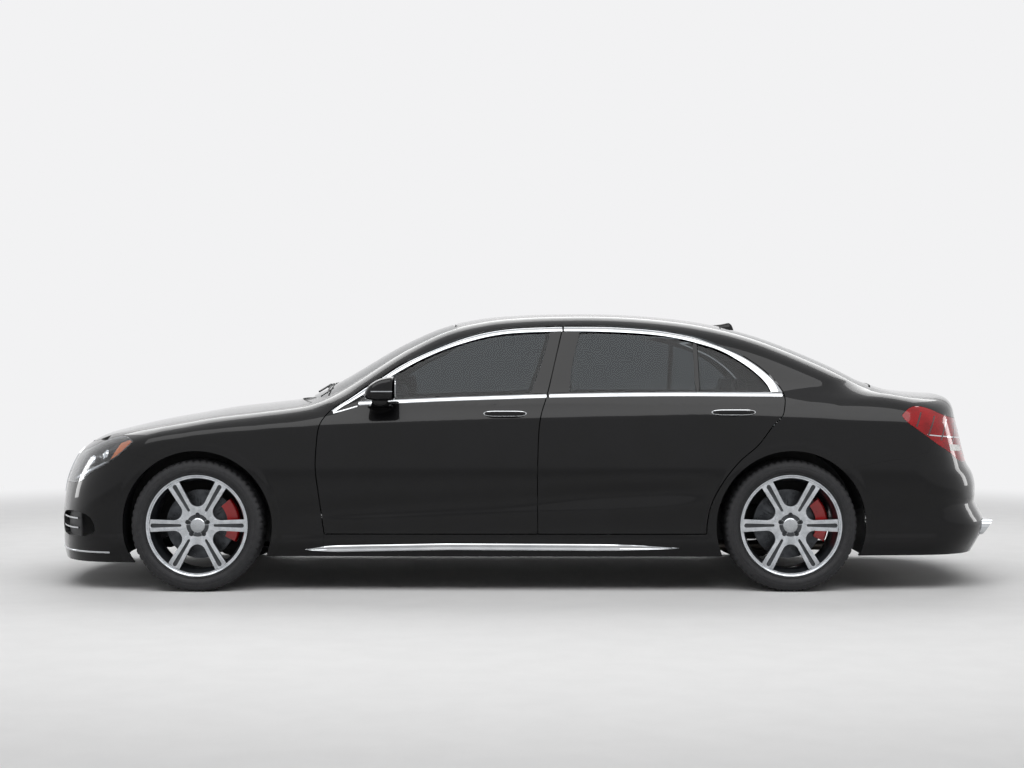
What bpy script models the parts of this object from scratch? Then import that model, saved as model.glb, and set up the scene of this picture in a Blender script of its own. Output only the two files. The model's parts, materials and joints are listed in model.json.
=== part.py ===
# Full-size four-door luxury sedan, built as separate body panels, glass, seats, wheels and running gear.
# Metres. +Z is up, the nose points to -X and the car's left side is at -Y.
# The origin is on the ground, midway along and across the body.
import math

import bmesh
import bpy
import numpy as np
from mathutils import Matrix, Vector

# Driving dimensions of the body
WHEELBASE = 3.165
FRONT_OVERHANG = 0.872
REAR_OVERHANG = 1.183
BODY_WIDTH = 1.899
BELT_HEIGHT = 1.05
ROOF_HEIGHT = 1.505

# Fullness of the body's surfaces
NOSE_BOW = 0.35
TAIL_BOW = 0.30
BOW_POWER = 2.6
CORNER_ROUND = 0.20
DECK_CROWN = 0.068
DECK_ROUND = 0.09
SHOULDER_LEAN = 0.62
CREASE_ROUND = 0.012
CABIN_LEAN = 0.55
CABIN_CURVE = 0.12
ROOF_CROWN = 0.10
ROOF_ROUND = 0.09
GLASS_SWEEP = 0.12
CABIN_BLEND = 0.05

# Panels and the gaps between them
SHUT_GAP = 0.0055
PANEL_GAP = 0.0004
SEAT_GAP = 0.0003
PANEL_THICKNESS = 0.025
LID_THICKNESS = 0.022
FRAME_DEPTH = 0.050
DOOR_SKIN_DEPTH = 0.018
HINGE_PLATE_HEIGHT = 0.05
DOOR_DEPTH = 0.1495
DOOR_STEP = 0.018
GLASS_THICKNESS = 0.006
GLASS_RECESS = 0.010
LAMP_DEPTH = 0.110
TAIL_LAMP_DEPTH = 0.060
BUMPER_THICKNESS = 0.030
EXHAUST_TIP_WIDTH = 0.180
EXHAUST_TIP_HEIGHT = 0.085
EXHAUST_TIP_BOTTOM = 0.275
EXHAUST_TIP_CLEARANCE = 0.004

# Wheels and brakes
TYRE_RADIUS = 0.352
TYRE_WIDTH_FRONT = 0.245
TYRE_WIDTH_REAR = 0.265
TYRE_FLAT_DEPTH = 0.0008
RIM_RADIUS = 0.272
RIM_WALL = 0.010
WHEEL_INSET = 0.0195
ARCH_GAP = 0.048
SPOKE_PAIRS = 6
SPOKE_WIDTH = 0.024
SPOKE_SPACING = 0.040
HUB_RADIUS = 0.085
HUB_BACK = 0.035
DISC_TOP = -0.012
DISC_RADIUS = 0.185
DISC_THICKNESS = 0.030
DISC_HAT_RADIUS = 0.080
RUNNING_CLEARANCE = 0.006
KINGPIN_INSET = 0.150
POST_HALF = 0.014
KNUCKLE_BOTTOM = 0.190
KNUCKLE_TOP = 0.520
WHEEL_STEPS = 24

# Structure
FLOOR_BOTTOM = 0.200
FLOOR_THICKNESS = 0.035
SILL_DEPTH = 0.2095
SILL_TOP = 0.300
TRUNK_FLOOR = 0.440
WHEELHOUSE_DEPTH = 0.3895
RAIL_DEPTH = 0.5195
RAIL_WIDTH = 0.060
RAIL_BOTTOM = 0.420
RAIL_TOP = 0.540

# Cabin
STEERING_RIM_RADIUS = 0.185
STEERING_RIM_THICKNESS = 0.016
STEERING_TILT = math.radians(24)
COLUMN_REACH = 0.045
SEAT_MIDDLE = 0.385

# Where the axles and ends of the body lie
BODY_LENGTH = FRONT_OVERHANG + WHEELBASE + REAR_OVERHANG
NOSE_X = -BODY_LENGTH / 2
TAIL_X = BODY_LENGTH / 2
FRONT_AXLE_X = NOSE_X + FRONT_OVERHANG
REAR_AXLE_X = FRONT_AXLE_X + WHEELBASE
HALF_WIDTH = BODY_WIDTH / 2
ARCH_RADIUS = TYRE_RADIUS + ARCH_GAP
DISC_BACK = DISC_TOP - DISC_THICKNESS

# How far out the inner faces lie, each a depth in from the widest point of the side
WHEEL_OUTER_Y = HALF_WIDTH - WHEEL_INSET
DOOR_INNER_Y = HALF_WIDTH - DOOR_DEPTH
SILL_INNER_Y = HALF_WIDTH - SILL_DEPTH
WHEELHOUSE_Y = HALF_WIDTH - WHEELHOUSE_DEPTH
RAIL_Y = HALF_WIDTH - RAIL_DEPTH

# Stations of the body drawing, at which its outlines are given, and where this car has them
DRAWN_X = (-4.61, -2.61, -1.738, 1.427, 2.61, 4.61)
BUILT_X = (NOSE_X - 2, NOSE_X, FRONT_AXLE_X, REAR_AXLE_X, TAIL_X, TAIL_X + 2)
DRAWN_Y = (0.0, 0.9495, 1.9495)
BUILT_Y = (0.0, HALF_WIDTH, HALF_WIDTH + 1)
DRAWN_Z = (-1.0, 0.0, 1.05, 1.505, 2.505)
BUILT_Z = (-1.0, 0.0, BELT_HEIGHT, ROOF_HEIGHT, ROOF_HEIGHT + 1)


def at_x(x):
    return np.interp(x, DRAWN_X, BUILT_X)


def at_y(y):
    return np.sign(y) * np.interp(np.abs(y), DRAWN_Y, BUILT_Y)


def at_z(z):
    return np.interp(z, DRAWN_Z, BUILT_Z)


def side_outline(points):
    return [(float(at_x(x)), float(at_z(z))) for x, z in points]


def plan_outline(points):
    return [(float(at_x(x)), float(at_y(y))) for x, y in points]


def curve_through(points, place_in, place_out):
    """A smooth function through (input, output) points, both given on the body drawing."""
    xs = np.array([place_in(p[0]) for p in points], float)
    ys = np.array([place_out(p[1]) for p in points], float)
    slopes = np.gradient(ys, xs)

    def value(x):
        x = np.clip(x, xs[0], xs[-1])
        i = np.clip(np.searchsorted(xs, x) - 1, 0, len(xs) - 2)
        h = xs[i + 1] - xs[i]
        t = (x - xs[i]) / h
        rise = (2 * t ** 3 - 3 * t ** 2 + 1) * ys[i] + (3 * t ** 2 - 2 * t ** 3) * ys[i + 1]
        return rise + (t ** 3 - 2 * t ** 2 + t) * h * slopes[i] + (t ** 3 - t ** 2) * h * slopes[i + 1]

    return value


def same(value):
    return value


# Lengthwise curves of the body
deck_line = curve_through([
    (-2.62, 0.745), (-2.50, 0.790), (-2.40, 0.817), (-2.31, 0.842), (-2.195, 0.871), (-2.08, 0.897),
    (-1.966, 0.919), (-1.85, 0.939), (-1.68, 0.968), (-1.45, 0.995), (-1.22, 1.022), (-0.9, 1.080),
    (-0.5, 1.110), (0.4, 1.125), (1.2, 1.120), (1.6, 1.110), (1.99, 1.090), (2.1, 1.072), (2.2, 1.060),
    (2.35, 1.050), (2.44, 1.048), (2.62, 1.040)], at_x, at_z)
crease_line = curve_through([
    (-2.62, 0.720), (-2.30, 0.770), (-2.04, 0.809), (-1.725, 0.853), (-1.459, 0.872), (-1.192, 0.887),
    (-0.925, 0.899), (-0.392, 0.917), (0.14, 0.930), (0.674, 0.942), (0.94, 0.948), (1.207, 0.943),
    (1.473, 0.933), (1.74, 0.920), (1.98, 0.910), (2.3, 0.890), (2.62, 0.870)], at_x, at_z)
plan_inset = curve_through([
    (-2.62, 0.0495), (-2.3, 0.0345), (-2.0, 0.0195), (-1.74, 0.0075), (-1.2, 0.0075), (-0.6, 0.002),
    (0.0, 0.0), (1.43, 0.0), (1.9, 0.0195), (2.2, 0.0445), (2.62, 0.0895)], at_x, same)
section_inset = curve_through([
    (0.0, 0.150), (0.15, 0.075), (0.20, 0.050), (0.26, 0.035), (0.32, 0.035), (0.40, 0.028), (0.50, 0.012),
    (0.60, 0.003), (0.70, 0.0), (0.80, 0.002), (0.93, 0.010), (1.6, 0.010)], at_z, same)
valley_depth = curve_through([
    (-1.25, 0.0), (-1.0, 0.003), (0.0, 0.008), (0.8, 0.012), (0.95, 0.006), (1.05, 0.0)], at_x, same)
valley_line = curve_through([(-1.25, 0.44), (1.05, 0.54)], at_x, at_z)
nose_line = curve_through([
    (0.0, -2.53), (0.12, -2.585), (0.17, -2.60), (0.30, -2.61), (0.42, -2.61), (0.50, -2.600), (0.555, -2.59),
    (0.654, -2.555), (0.748, -2.500), (0.80, -2.455), (0.86, -2.40), (1.0, -2.33), (1.6, -2.30)], at_z, at_x)
tail_line = curve_through([
    (0.0, 2.44), (0.12, 2.50), (0.20, 2.550), (0.25, 2.580), (0.32, 2.61), (0.36, 2.61), (0.41, 2.585),
    (0.46, 2.562), (0.50, 2.565), (0.577, 2.560), (0.62, 2.545), (0.66, 2.520), (0.72, 2.500), (0.80, 2.480),
    (0.95, 2.445), (1.045, 2.435), (1.6, 2.43)], at_z, at_x)
roof_line = curve_through([
    (-2.62, -0.30), (-1.60, 0.72), (-1.40, 0.900), (-1.22, 1.020), (-0.997, 1.148), (-0.671, 1.337),
    (-0.455, 1.430), (-0.24, 1.478),
    (-0.016, 1.498), (0.215, 1.505), (0.446, 1.505), (0.735, 1.490), (1.023, 1.455), (1.301, 1.390),
    (1.587, 1.285), (1.80, 1.190), (1.913, 1.130), (1.99, 1.090), (2.20, 0.900),
    (2.62, -0.300)], at_x, at_z)
cabin_inset = curve_through([
    (-1.5, 0.200), (-1.1, 0.1495), (-0.8, 0.1045), (-0.3, 0.0845), (0.4, 0.0795), (1.0, 0.0875),
    (1.4, 0.0995), (1.7, 0.1495), (1.9, 0.1995), (2.1, 0.2495)], at_x, same)


def soft_max(a, b, blend):
    overlap = np.maximum(blend - np.abs(a - b), 0) / blend
    return np.maximum(a, b) + overlap ** 2 * blend / 4


def soft_min(a, b, blend):
    return -soft_max(-a, -b, blend)


def body_field(x, y, z):
    """Negative inside the body's outer surface, zero on it and positive outside."""
    a = np.abs(y)
    above_crease = z - crease_line(x)
    lean = SHOULDER_LEAN * (above_crease + np.sqrt(above_crease ** 2 + CREASE_ROUND ** 2)) / 2
    valley = valley_depth(x) * np.exp(-((z - valley_line(x)) / 0.055) ** 2)
    side = a - (HALF_WIDTH - plan_inset(x) - section_inset(z) - valley - lean)
    deck = z - (deck_line(x) - DECK_CROWN * a ** 2)
    nose = nose_line(z) + NOSE_BOW * a ** BOW_POWER - x
    tail = x - tail_line(z) + TAIL_BOW * a ** BOW_POWER
    ends = soft_max(soft_max(side, nose, CORNER_ROUND), tail, CORNER_ROUND)
    lower = soft_max(ends, deck, DECK_ROUND)
    rise = np.maximum(np.interp(z, BUILT_Z, DRAWN_Z) - DRAWN_Z[2], -CABIN_BLEND)
    cabin_side = a - (HALF_WIDTH - cabin_inset(x) - CABIN_LEAN * rise - CABIN_CURVE * rise * np.abs(rise))
    sweep = GLASS_SWEEP * a ** 2 * np.clip((at_x(0.35) - x) / 0.6, -1, 1)
    roof = z - (roof_line(x - sweep) - ROOF_CROWN * a ** 2)
    cabin = soft_max(cabin_side, roof, ROOF_ROUND)
    return soft_min(lower, cabin, CABIN_BLEND)


def surface_distance(origins, directions, reach=2.5):
    """How far along each ray, from a point inside, the body's outer surface lies."""
    near = np.zeros(origins.shape[:-1])
    far = np.full(origins.shape[:-1], reach)
    for _ in range(26):
        middle = (near + far) / 2
        points = origins + directions * middle[..., None]
        inside = body_field(points[..., 0], points[..., 1], points[..., 2]) < 0
        near = np.where(inside, middle, near)
        far = np.where(inside, far, middle)
    return (near + far) / 2


# Scene set-up
for old in list(bpy.data.objects):
    bpy.data.objects.remove(old, do_unlink=True)
model = bpy.data.collections.new("luxury_sedan")
helpers = bpy.data.collections.new("cutters")
bpy.context.scene.collection.children.link(model)
bpy.context.scene.collection.children.link(helpers)


def material(name, colour, roughness, metallic=0.0):
    finish = bpy.data.materials.new(name)
    finish.use_nodes = True
    shader = finish.node_tree.nodes["Principled BSDF"]
    shader.inputs["Base Color"].default_value = (*colour, 1.0)
    shader.inputs["Roughness"].default_value = roughness
    shader.inputs["Metallic"].default_value = metallic
    return finish


PAINT = material("black paint", (0.008, 0.008, 0.009), 0.15)
TRIM = material("black plastic", (0.02, 0.02, 0.02), 0.5)
CHROME = material("chrome", (0.75, 0.75, 0.76), 0.12, 1.0)
GLASS = material("tinted glass", (0.05, 0.055, 0.06), 0.05)
LENS = material("clear lens", (0.6, 0.62, 0.65), 0.08)
RED_LENS = material("red lens", (0.35, 0.01, 0.01), 0.1)
RUBBER = material("tyre rubber", (0.015, 0.015, 0.015), 0.85)
ALLOY = material("cast alloy", (0.45, 0.45, 0.47), 0.3, 1.0)
IRON = material("grey iron", (0.25, 0.25, 0.26), 0.4, 1.0)
STEEL = material("black steel", (0.05, 0.05, 0.05), 0.5, 0.5)
LEATHER = material("leather", (0.03, 0.028, 0.026), 0.55)


def add_object(name, bm, finish):
    bmesh.ops.remove_doubles(bm, verts=bm.verts, dist=1e-6)
    bmesh.ops.recalc_face_normals(bm, faces=bm.faces)
    mesh = bpy.data.meshes.new(name)
    bm.to_mesh(mesh)
    bm.free()
    obj = bpy.data.objects.new(name, mesh)
    if finish is None:
        helpers.objects.link(obj)
        obj.hide_render = True
        obj.display_type = "WIRE"
    else:
        mesh.materials.append(finish)
        model.objects.link(obj)
    return obj


def combine(target, other, operation):
    """The MANIFOLD solver, because EXACT leaves stray faces on these thin curved panels."""
    step = target.modifiers.new(operation.lower(), "BOOLEAN")
    step.operation = operation
    step.solver = "MANIFOLD"
    step.object = other


def cut(target, *cutters):
    for cutter in cutters:
        combine(target, cutter, "DIFFERENCE")


def keep(target, *cutters):
    for cutter in cutters:
        combine(target, cutter, "INTERSECT")


def join(target, *others):
    for other in others:
        combine(target, other, "UNION")


def slab(name, origins, directions, outer_depth, inner_depth, finish):
    """A closed piece between two depths below the body's surface, over a grid of rays."""
    distance = surface_distance(origins, directions)
    outer = origins + directions * (distance - outer_depth)[..., None]
    inner = origins + directions * (distance - inner_depth)[..., None]
    rows, columns = distance.shape
    bm = bmesh.new()
    layers = []
    for points in (outer, inner):
        layers.append([[bm.verts.new(points[i, j]) for j in range(columns)] for i in range(rows)])
    top, bottom = layers
    for i in range(rows - 1):
        for j in range(columns - 1):
            for layer, turn in ((top, 1), (bottom, -1)):
                corners = (layer[i][j], layer[i][j + 1], layer[i + 1][j + 1], layer[i + 1][j])
                bm.faces.new(corners[:3][::turn])
                bm.faces.new((corners[0], corners[2], corners[3])[::turn])
    rim = [(i, 0) for i in range(rows)] + [(rows - 1, j) for j in range(1, columns)]
    rim += [(i, columns - 1) for i in range(rows - 2, -1, -1)] + [(0, j) for j in range(columns - 2, 0, -1)]
    for (i, j), (k, m) in zip(rim, rim[1:] + rim[:1]):
        bm.faces.new((top[i][j], top[k][m], bottom[k][m], bottom[i][j]))
    return add_object(name, bm, finish)


def side_rays(side, xs, low, high, rows):
    """Rays across the car, over stations xs and between two heights that may vary along it."""
    xs = np.asarray(xs, float)
    share = np.linspace(0, 1, rows)
    lows = np.array([low(x) for x in xs])[:, None]
    highs = np.array([high(x) for x in xs])[:, None]
    zs = lows + (highs - lows) * share[None, :]
    origins = np.stack([np.broadcast_to(xs[:, None], zs.shape), np.zeros_like(zs), zs], -1)
    directions = np.broadcast_to(np.array([0.0, side, 0.0]), origins.shape)
    return origins, directions


def top_rays(front, rear, ys, columns, base=0.5):
    """Upward rays over widths ys, between two plan curves."""
    ys = np.asarray(ys, float)
    share = np.linspace(0, 1, columns)
    fronts = np.array([front(y) for y in ys])[:, None]
    rears = np.array([rear(y) for y in ys])[:, None]
    xs = fronts + (rears - fronts) * share[None, :]
    origins = np.stack([xs, np.broadcast_to(ys[:, None], xs.shape), np.full_like(xs, base)], -1)
    directions = np.broadcast_to(np.array([0.0, 0.0, 1.0]), origins.shape)
    return origins, directions


def fan_rays(side, stations, turns, angles, centre_z):
    """Rays out and up from the centreline; each station may also turn towards the nose or tail."""
    stations = np.asarray(stations, float)[:, None]
    turns = np.asarray(turns, float)[:, None]
    angles = np.asarray(angles, float)[None, :]
    across = np.cos(turns) * np.cos(angles) * side
    up = np.sin(angles) + 0 * turns
    along = np.sin(turns) * np.cos(angles)
    directions = np.stack([along, across, up], -1)
    directions = directions / np.linalg.norm(directions, axis=-1, keepdims=True)
    shape = directions.shape[:-1]
    origins = np.stack([np.broadcast_to(stations, shape), np.zeros(shape), np.full(shape, centre_z)], -1)
    return origins, directions


def end_rays(centre_x, towards, angles, heights):
    """Level rays that fan out in plan from a point on the centreline, towards the nose or tail."""
    angles = np.asarray(angles, float)[:, None]
    heights = np.asarray(heights, float)[None, :]
    shape = (angles.shape[0], heights.shape[1])
    directions = np.stack([
        np.broadcast_to(towards * np.cos(angles), shape), np.broadcast_to(np.sin(angles), shape),
        np.zeros(shape)], -1)
    origins = np.stack([np.full(shape, centre_x), np.zeros(shape), np.broadcast_to(heights, shape)], -1)
    return origins, directions


def offset(outline, distance):
    """The outline moved outwards by a distance; a negative distance moves it inwards."""
    area = sum(a[0] * b[1] - b[0] * a[1] for a, b in zip(outline, outline[1:] + outline[:1])) / 2
    turn = 1 if area > 0 else -1
    moved = []
    for before, here, after in zip(outline[-1:] + outline[:-1], outline, outline[1:] + outline[:1]):
        first = (Vector(here) - Vector(before)).normalized()
        second = (Vector(after) - Vector(here)).normalized()
        normal = Vector((first.y + second.y, -first.x - second.x)).normalized() * turn
        spread = max(0.35, normal.dot(Vector((first.y, -first.x)) * turn))
        moved.append(tuple(Vector(here) + normal * distance / spread))
    return moved


def prism(outline, axis, low, high, name="cutter", finish=None):
    """A flat outline extruded along X, Y or Z from low to high."""
    bm = bmesh.new()
    places = {"X": lambda u, v: (low, u, v), "Y": lambda u, v: (u, low, v), "Z": lambda u, v: (u, v, low)}
    face = bm.faces.new([bm.verts.new(places[axis](u, v)) for u, v in outline])
    raised = bmesh.ops.extrude_face_region(bm, geom=[face])
    shift = Vector((0, 0, 0))
    shift["XYZ".index(axis)] = high - low
    bmesh.ops.translate(bm, vec=shift, verts=[v for v in raised["geom"] if isinstance(v, bmesh.types.BMVert)])
    return add_object(name, bm, finish)


def box_mesh(bm, low, high, bevel=0.0, segments=1):
    made = bmesh.ops.create_cube(bm, size=1.0)["verts"]
    size = Vector(high) - Vector(low)
    bmesh.ops.scale(bm, vec=size, verts=made)
    bmesh.ops.translate(bm, vec=(Vector(high) + Vector(low)) / 2, verts=made)
    if bevel:
        edges = list({e for v in made for e in v.link_edges})
        bmesh.ops.bevel(bm, geom=edges, offset=bevel, segments=segments, profile=0.5, affect="EDGES")


def box(low, high, name="block", finish=None, bevel=0.0, segments=1):
    lows = tuple(min(a, b) for a, b in zip(low, high))
    highs = tuple(max(a, b) for a, b in zip(low, high))
    bm = bmesh.new()
    box_mesh(bm, lows, highs, bevel, segments)
    return add_object(name, bm, finish)


def drum(centre, radius, low, high, segments, name="drum", finish=None):
    """A cylinder along Y between two Y values."""
    bm = bmesh.new()
    bmesh.ops.create_cone(
        bm, cap_ends=True, segments=segments, radius1=radius, radius2=radius, depth=abs(high - low),
        matrix=Matrix.Translation((centre[0], (low + high) / 2, centre[1])) @ Matrix.Rotation(math.pi / 2, 4, "X"))
    return add_object(name, bm, finish)


def loft(sections, name="loft", finish=None):
    """A closed solid through sections with the same number of points."""
    bm = bmesh.new()
    rings = [[bm.verts.new(p) for p in section] for section in sections]
    for low, high in zip(rings, rings[1:]):
        for i in range(len(low)):
            j = (i + 1) % len(low)
            bm.faces.new((low[i], low[j], high[j], high[i]))
    bm.faces.new(rings[0])
    bm.faces.new(rings[-1])
    return add_object(name, bm, finish)


# Outlines of the panels, as seen from the side (x, z)
FRONT_DOOR_TOP = side_outline([
    (-1.052, 0.940), (-1.000, 0.990), (-0.934, 1.030), (-0.853, 1.088), (-0.767, 1.140), (-0.667, 1.208),
    (-0.560, 1.262), (-0.453, 1.308), (-0.345, 1.350), (-0.237, 1.382), (-0.128, 1.402), (0.0, 1.414),
    (0.219, 1.420)])
FRONT_DOOR = side_outline([
    (-1.061, 0.308), (-1.072, 0.393), (-1.088, 0.522), (-1.104, 0.656), (-1.099, 0.780), (-1.083, 0.888),
    ]) + FRONT_DOOR_TOP + side_outline([(0.129, 1.053), (0.092, 0.930), (0.0765, 0.700), (0.0765, 0.308)])
REAR_DOOR_EDGE = [(1.398, 1.040), (1.392, 0.985), (1.378, 0.940), (1.330, 0.890), (1.243, 0.780)]
REAR_DOOR_ARC = [(1.150, 0.700), (1.062, 0.590), (1.000, 0.470), (0.978, 0.360), (0.975, 0.308)]
REAR_DOOR_TOP = side_outline([
    (0.219, 1.420), (0.422, 1.420), (0.532, 1.416), (0.697, 1.404), (0.807, 1.388), (0.916, 1.367),
    (0.970, 1.352), (1.076, 1.310), (1.183, 1.262), (1.235, 1.229), (1.287, 1.190), (1.336, 1.144),
    (1.370, 1.102), (1.393, 1.060)])
REAR_DOOR = side_outline([
    (0.0765, 0.308), (0.0765, 0.700), (0.092, 0.930), (0.129, 1.053)]) + REAR_DOOR_TOP + side_outline(
    REAR_DOOR_EDGE + REAR_DOOR_ARC)
FRONT_WINDOW = side_outline([
    (-0.870, 1.036), (-0.850, 1.050), (-0.770, 1.106), (-0.665, 1.174), (-0.560, 1.232), (-0.453, 1.280),
    (-0.345, 1.320), (-0.237, 1.352), (-0.128, 1.374), (-0.018, 1.385), (0.150, 1.391), (0.095, 1.204),
    (0.040, 1.060), (-0.126, 1.048), (-0.395, 1.040), (-0.664, 1.032)])
REAR_WINDOW = side_outline([
    (0.245, 1.064), (0.265, 1.204), (0.310, 1.391), (0.422, 1.391), (0.697, 1.376), (0.862, 1.350),
    (0.970, 1.320), (1.076, 1.284), (1.183, 1.222), (1.260, 1.160), (1.310, 1.104), (1.325, 1.067)])
LAMP = side_outline([
    (-2.077, 0.798), (-2.100, 0.815), (-2.140, 0.827), (-2.210, 0.816), (-2.264, 0.800), (-2.318, 0.776),
    (-2.362, 0.757), (-2.450, 0.728), (-2.700, 0.690), (-2.700, 0.560), (-2.500, 0.566), (-2.389, 0.582),
    (-2.356, 0.603), (-2.302, 0.641), (-2.221, 0.683), (-2.156, 0.726)])
TAIL_LAMP = side_outline([
    (2.018, 0.940), (2.067, 0.978), (2.105, 0.988), (2.180, 0.975), (2.229, 0.955), (2.300, 0.930),
    (2.750, 0.900), (2.750, 0.690), (2.364, 0.691), (2.294, 0.738), (2.207, 0.791), (2.115, 0.855),
    (2.035, 0.914)])
FRONT_BUMPER = side_outline([
    (-2.800, 0.000), (-2.800, 0.900), (-2.250, 0.900), (-2.250, 0.790), (-2.120, 0.790), (-2.103, 0.742),
    (-1.940, 0.695), (-1.800, 0.660), (-1.800, 0.000)])
FENDER = side_outline([
    (-2.300, 0.600), (-2.300, 1.100), (-1.150, 1.100), (-1.010, 0.985), (-1.000, 0.985), (-1.064, 0.300),
    (-1.064, 0.187), (-2.300, 0.187)])
FRAME_SIDE = side_outline([
    (-1.064, 0.187), (-1.064, 0.300), (-1.000, 0.985), (-1.010, 0.985), (-1.150, 1.100), (-1.150, 1.700),
    (2.700, 1.700), (2.700, 0.187)])
REAR_BUMPER = side_outline([
    (1.500, 0.100), (1.500, 0.610), (1.730, 0.659), (1.847, 0.683), (1.954, 0.701), (2.060, 0.714),
    (2.156, 0.746), (2.207, 0.800), (2.294, 0.755), (2.364, 0.710), (2.460, 0.700), (2.800, 0.700),
    (2.800, 0.100)])

# Outlines of the panels on top of the car, as seen from above (x, y)
HOOD_HALF = [(-2.440, 0.0), (-2.434, 0.200), (-2.408, 0.400), (-2.352, 0.570), (-2.300, 0.635),
             (-2.140, 0.700), (-2.000, 0.735), (-1.750, 0.762), (-1.500, 0.762), (-1.300, 0.742),
             (-1.150, 0.700), (-1.195, 0.550), (-1.235, 0.350), (-1.262, 0.150)]
SHIELD_HALF = [(-1.200, 0.0), (-1.190, 0.200), (-1.166, 0.400), (-1.130, 0.560), (-1.085, 0.695),
               (-0.850, 0.672), (-0.600, 0.635), (-0.360, 0.590), (-0.384, 0.400), (-0.400, 0.200)]
ROOF_HALF = [(-0.392, 0.0), (-0.388, 0.200), (-0.372, 0.400), (-0.348, 0.590), (0.000, 0.588),
             (0.500, 0.590), (0.950, 0.585), (1.085, 0.565), (1.105, 0.400), (1.118, 0.200)]
REAR_GLASS_HALF = [(1.126, 0.0), (1.122, 0.200), (1.113, 0.400), (1.093, 0.568), (1.300, 0.605),
                   (1.600, 0.635), (1.890, 0.640), (1.941, 0.400), (1.959, 0.200)]
LID_HALF = [(1.972, 0.0), (1.966, 0.200), (1.948, 0.400), (1.902, 0.630), (2.000, 0.655), (2.200, 0.652),
            (2.340, 0.625), (2.750, 0.600)]


def whole_plan(half):
    """A symmetric plan outline from its half at +Y."""
    mirrored = [(x, -y) for x, y in reversed(half) if y > 0]
    return plan_outline(half + mirrored)


HOOD = whole_plan(HOOD_HALF)
SHIELD = whole_plan(SHIELD_HALF)
ROOF = whole_plan(ROOF_HALF)
REAR_GLASS = whole_plan(REAR_GLASS_HALF)
LID = whole_plan(LID_HALF)
GRILLE_FRONT = [(float(at_y(y)), float(at_z(z))) for y, z in [
    (-0.370, 0.500), (0.370, 0.500), (0.402, 0.620), (0.385, 0.715), (0.320, 0.745), (-0.320, 0.745),
    (-0.385, 0.715), (-0.402, 0.620)]]
FRONT_DOOR_REACH = (-1.115, 0.235)
REAR_DOOR_REACH = (0.060, 1.410)
LAMP_INNER_Y = float(at_y(0.4304))
TAIL_LAMP_INNER_Y = float(at_y(0.555))
EXHAUST_TIP_Y = float(at_y(0.550))
LID_BOTTOM = float(at_z(0.676))
DOOR_PANEL_TOP = float(at_z(0.965))
STEERING_CENTRE = (float(at_x(-0.600)), -float(at_y(SEAT_MIDDLE)), float(at_z(0.930)))
FAR_Y = HALF_WIDTH + 0.3


def spread(start, end, count):
    return np.linspace(float(at_x(start)), float(at_x(end)), count)


# Cutters that neighbouring panels share, so that their edges always face each other across the gap
def around(outline, gap, axis="Y", low=-FAR_Y, high=FAR_Y, name="opening"):
    return prism(offset(outline, gap / 2), axis, low, high, name)


def within(outline, gap, axis="Y", low=-FAR_Y, high=FAR_Y, name="outline"):
    return prism(offset(outline, -gap / 2), axis, low, high, name)


def one_side(side, inner=0.2):
    return sorted((side * inner, side * FAR_Y))


hood_opening = around(HOOD, SHUT_GAP, "Z", 0.5, 2.0, "hood opening")
lid_opening = around(LID, SHUT_GAP, "Z", LID_BOTTOM - SHUT_GAP / 2, 2.0, "lid opening")
shield_opening = around(SHIELD, PANEL_GAP, "Z", 0.5, 2.0, "windshield opening")
roof_opening = around(ROOF, PANEL_GAP, "Z", 0.5, 2.0, "roof opening")
rear_glass_opening = around(REAR_GLASS, PANEL_GAP, "Z", 0.5, 2.0, "rear glass opening")
grille_opening = prism(offset(GRILLE_FRONT, PANEL_GAP / 2), "X", NOSE_X - 0.5, at_x(-2.2), "grille opening")
bumper_region = within(FRONT_BUMPER, PANEL_GAP, name="front bumper outline")
bumper_opening = around(FRONT_BUMPER, PANEL_GAP, name="front bumper opening")
rear_bumper_region = within(REAR_BUMPER, PANEL_GAP, name="rear bumper outline")
rear_bumper_opening = around(REAR_BUMPER, PANEL_GAP, name="rear bumper opening")
front_door_opening = around(FRONT_DOOR, SHUT_GAP, name="front door opening")
rear_door_opening = around(REAR_DOOR, SHUT_GAP, name="rear door opening")
front_arch = drum((FRONT_AXLE_X, TYRE_RADIUS), ARCH_RADIUS, -FAR_Y, FAR_Y, 36, "front arch")
rear_arch = drum((REAR_AXLE_X, TYRE_RADIUS), ARCH_RADIUS, -FAR_Y, FAR_Y, 36, "rear arch")
lamp_openings = [
    around(LAMP, PANEL_GAP, low=min(one_side(s, LAMP_INNER_Y - PANEL_GAP)),
           high=max(one_side(s, LAMP_INNER_Y - PANEL_GAP)), name="lamp opening") for s in (-1, 1)]
tail_lamp_openings = [
    around(TAIL_LAMP, 2 * PANEL_GAP, low=min(one_side(s, TAIL_LAMP_INNER_Y - SHUT_GAP)),
           high=max(one_side(s, TAIL_LAMP_INNER_Y - SHUT_GAP)), name="tail lamp opening") for s in (-1, 1)]


def hood_rays():
    ys = at_y(np.array([-0.80, -0.70, -0.57, -0.33, 0.0, 0.33, 0.57, 0.70, 0.80]))
    return top_rays(lambda y: at_x(-2.465) + NOSE_BOW * abs(y) ** BOW_POWER, lambda y: at_x(-1.13), ys, 9)


def build_hood():
    hood = slab("hood", *hood_rays(), 0.0, LID_THICKNESS, PAINT)
    keep(hood, within(HOOD, SHUT_GAP, "Z", 0.5, 2.0))
    return hood


def build_roof():
    ys = at_y(np.array([-0.62, -0.45, -0.25, 0.0, 0.25, 0.45, 0.62]))
    rays = top_rays(lambda y: at_x(-0.42), lambda y: at_x(1.15), ys, 8)
    roof = slab("roof_panel", *rays, 0.0, LID_THICKNESS, PAINT)
    keep(roof, within(ROOF, PANEL_GAP, "Z", 0.5, 2.0))
    return roof


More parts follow.
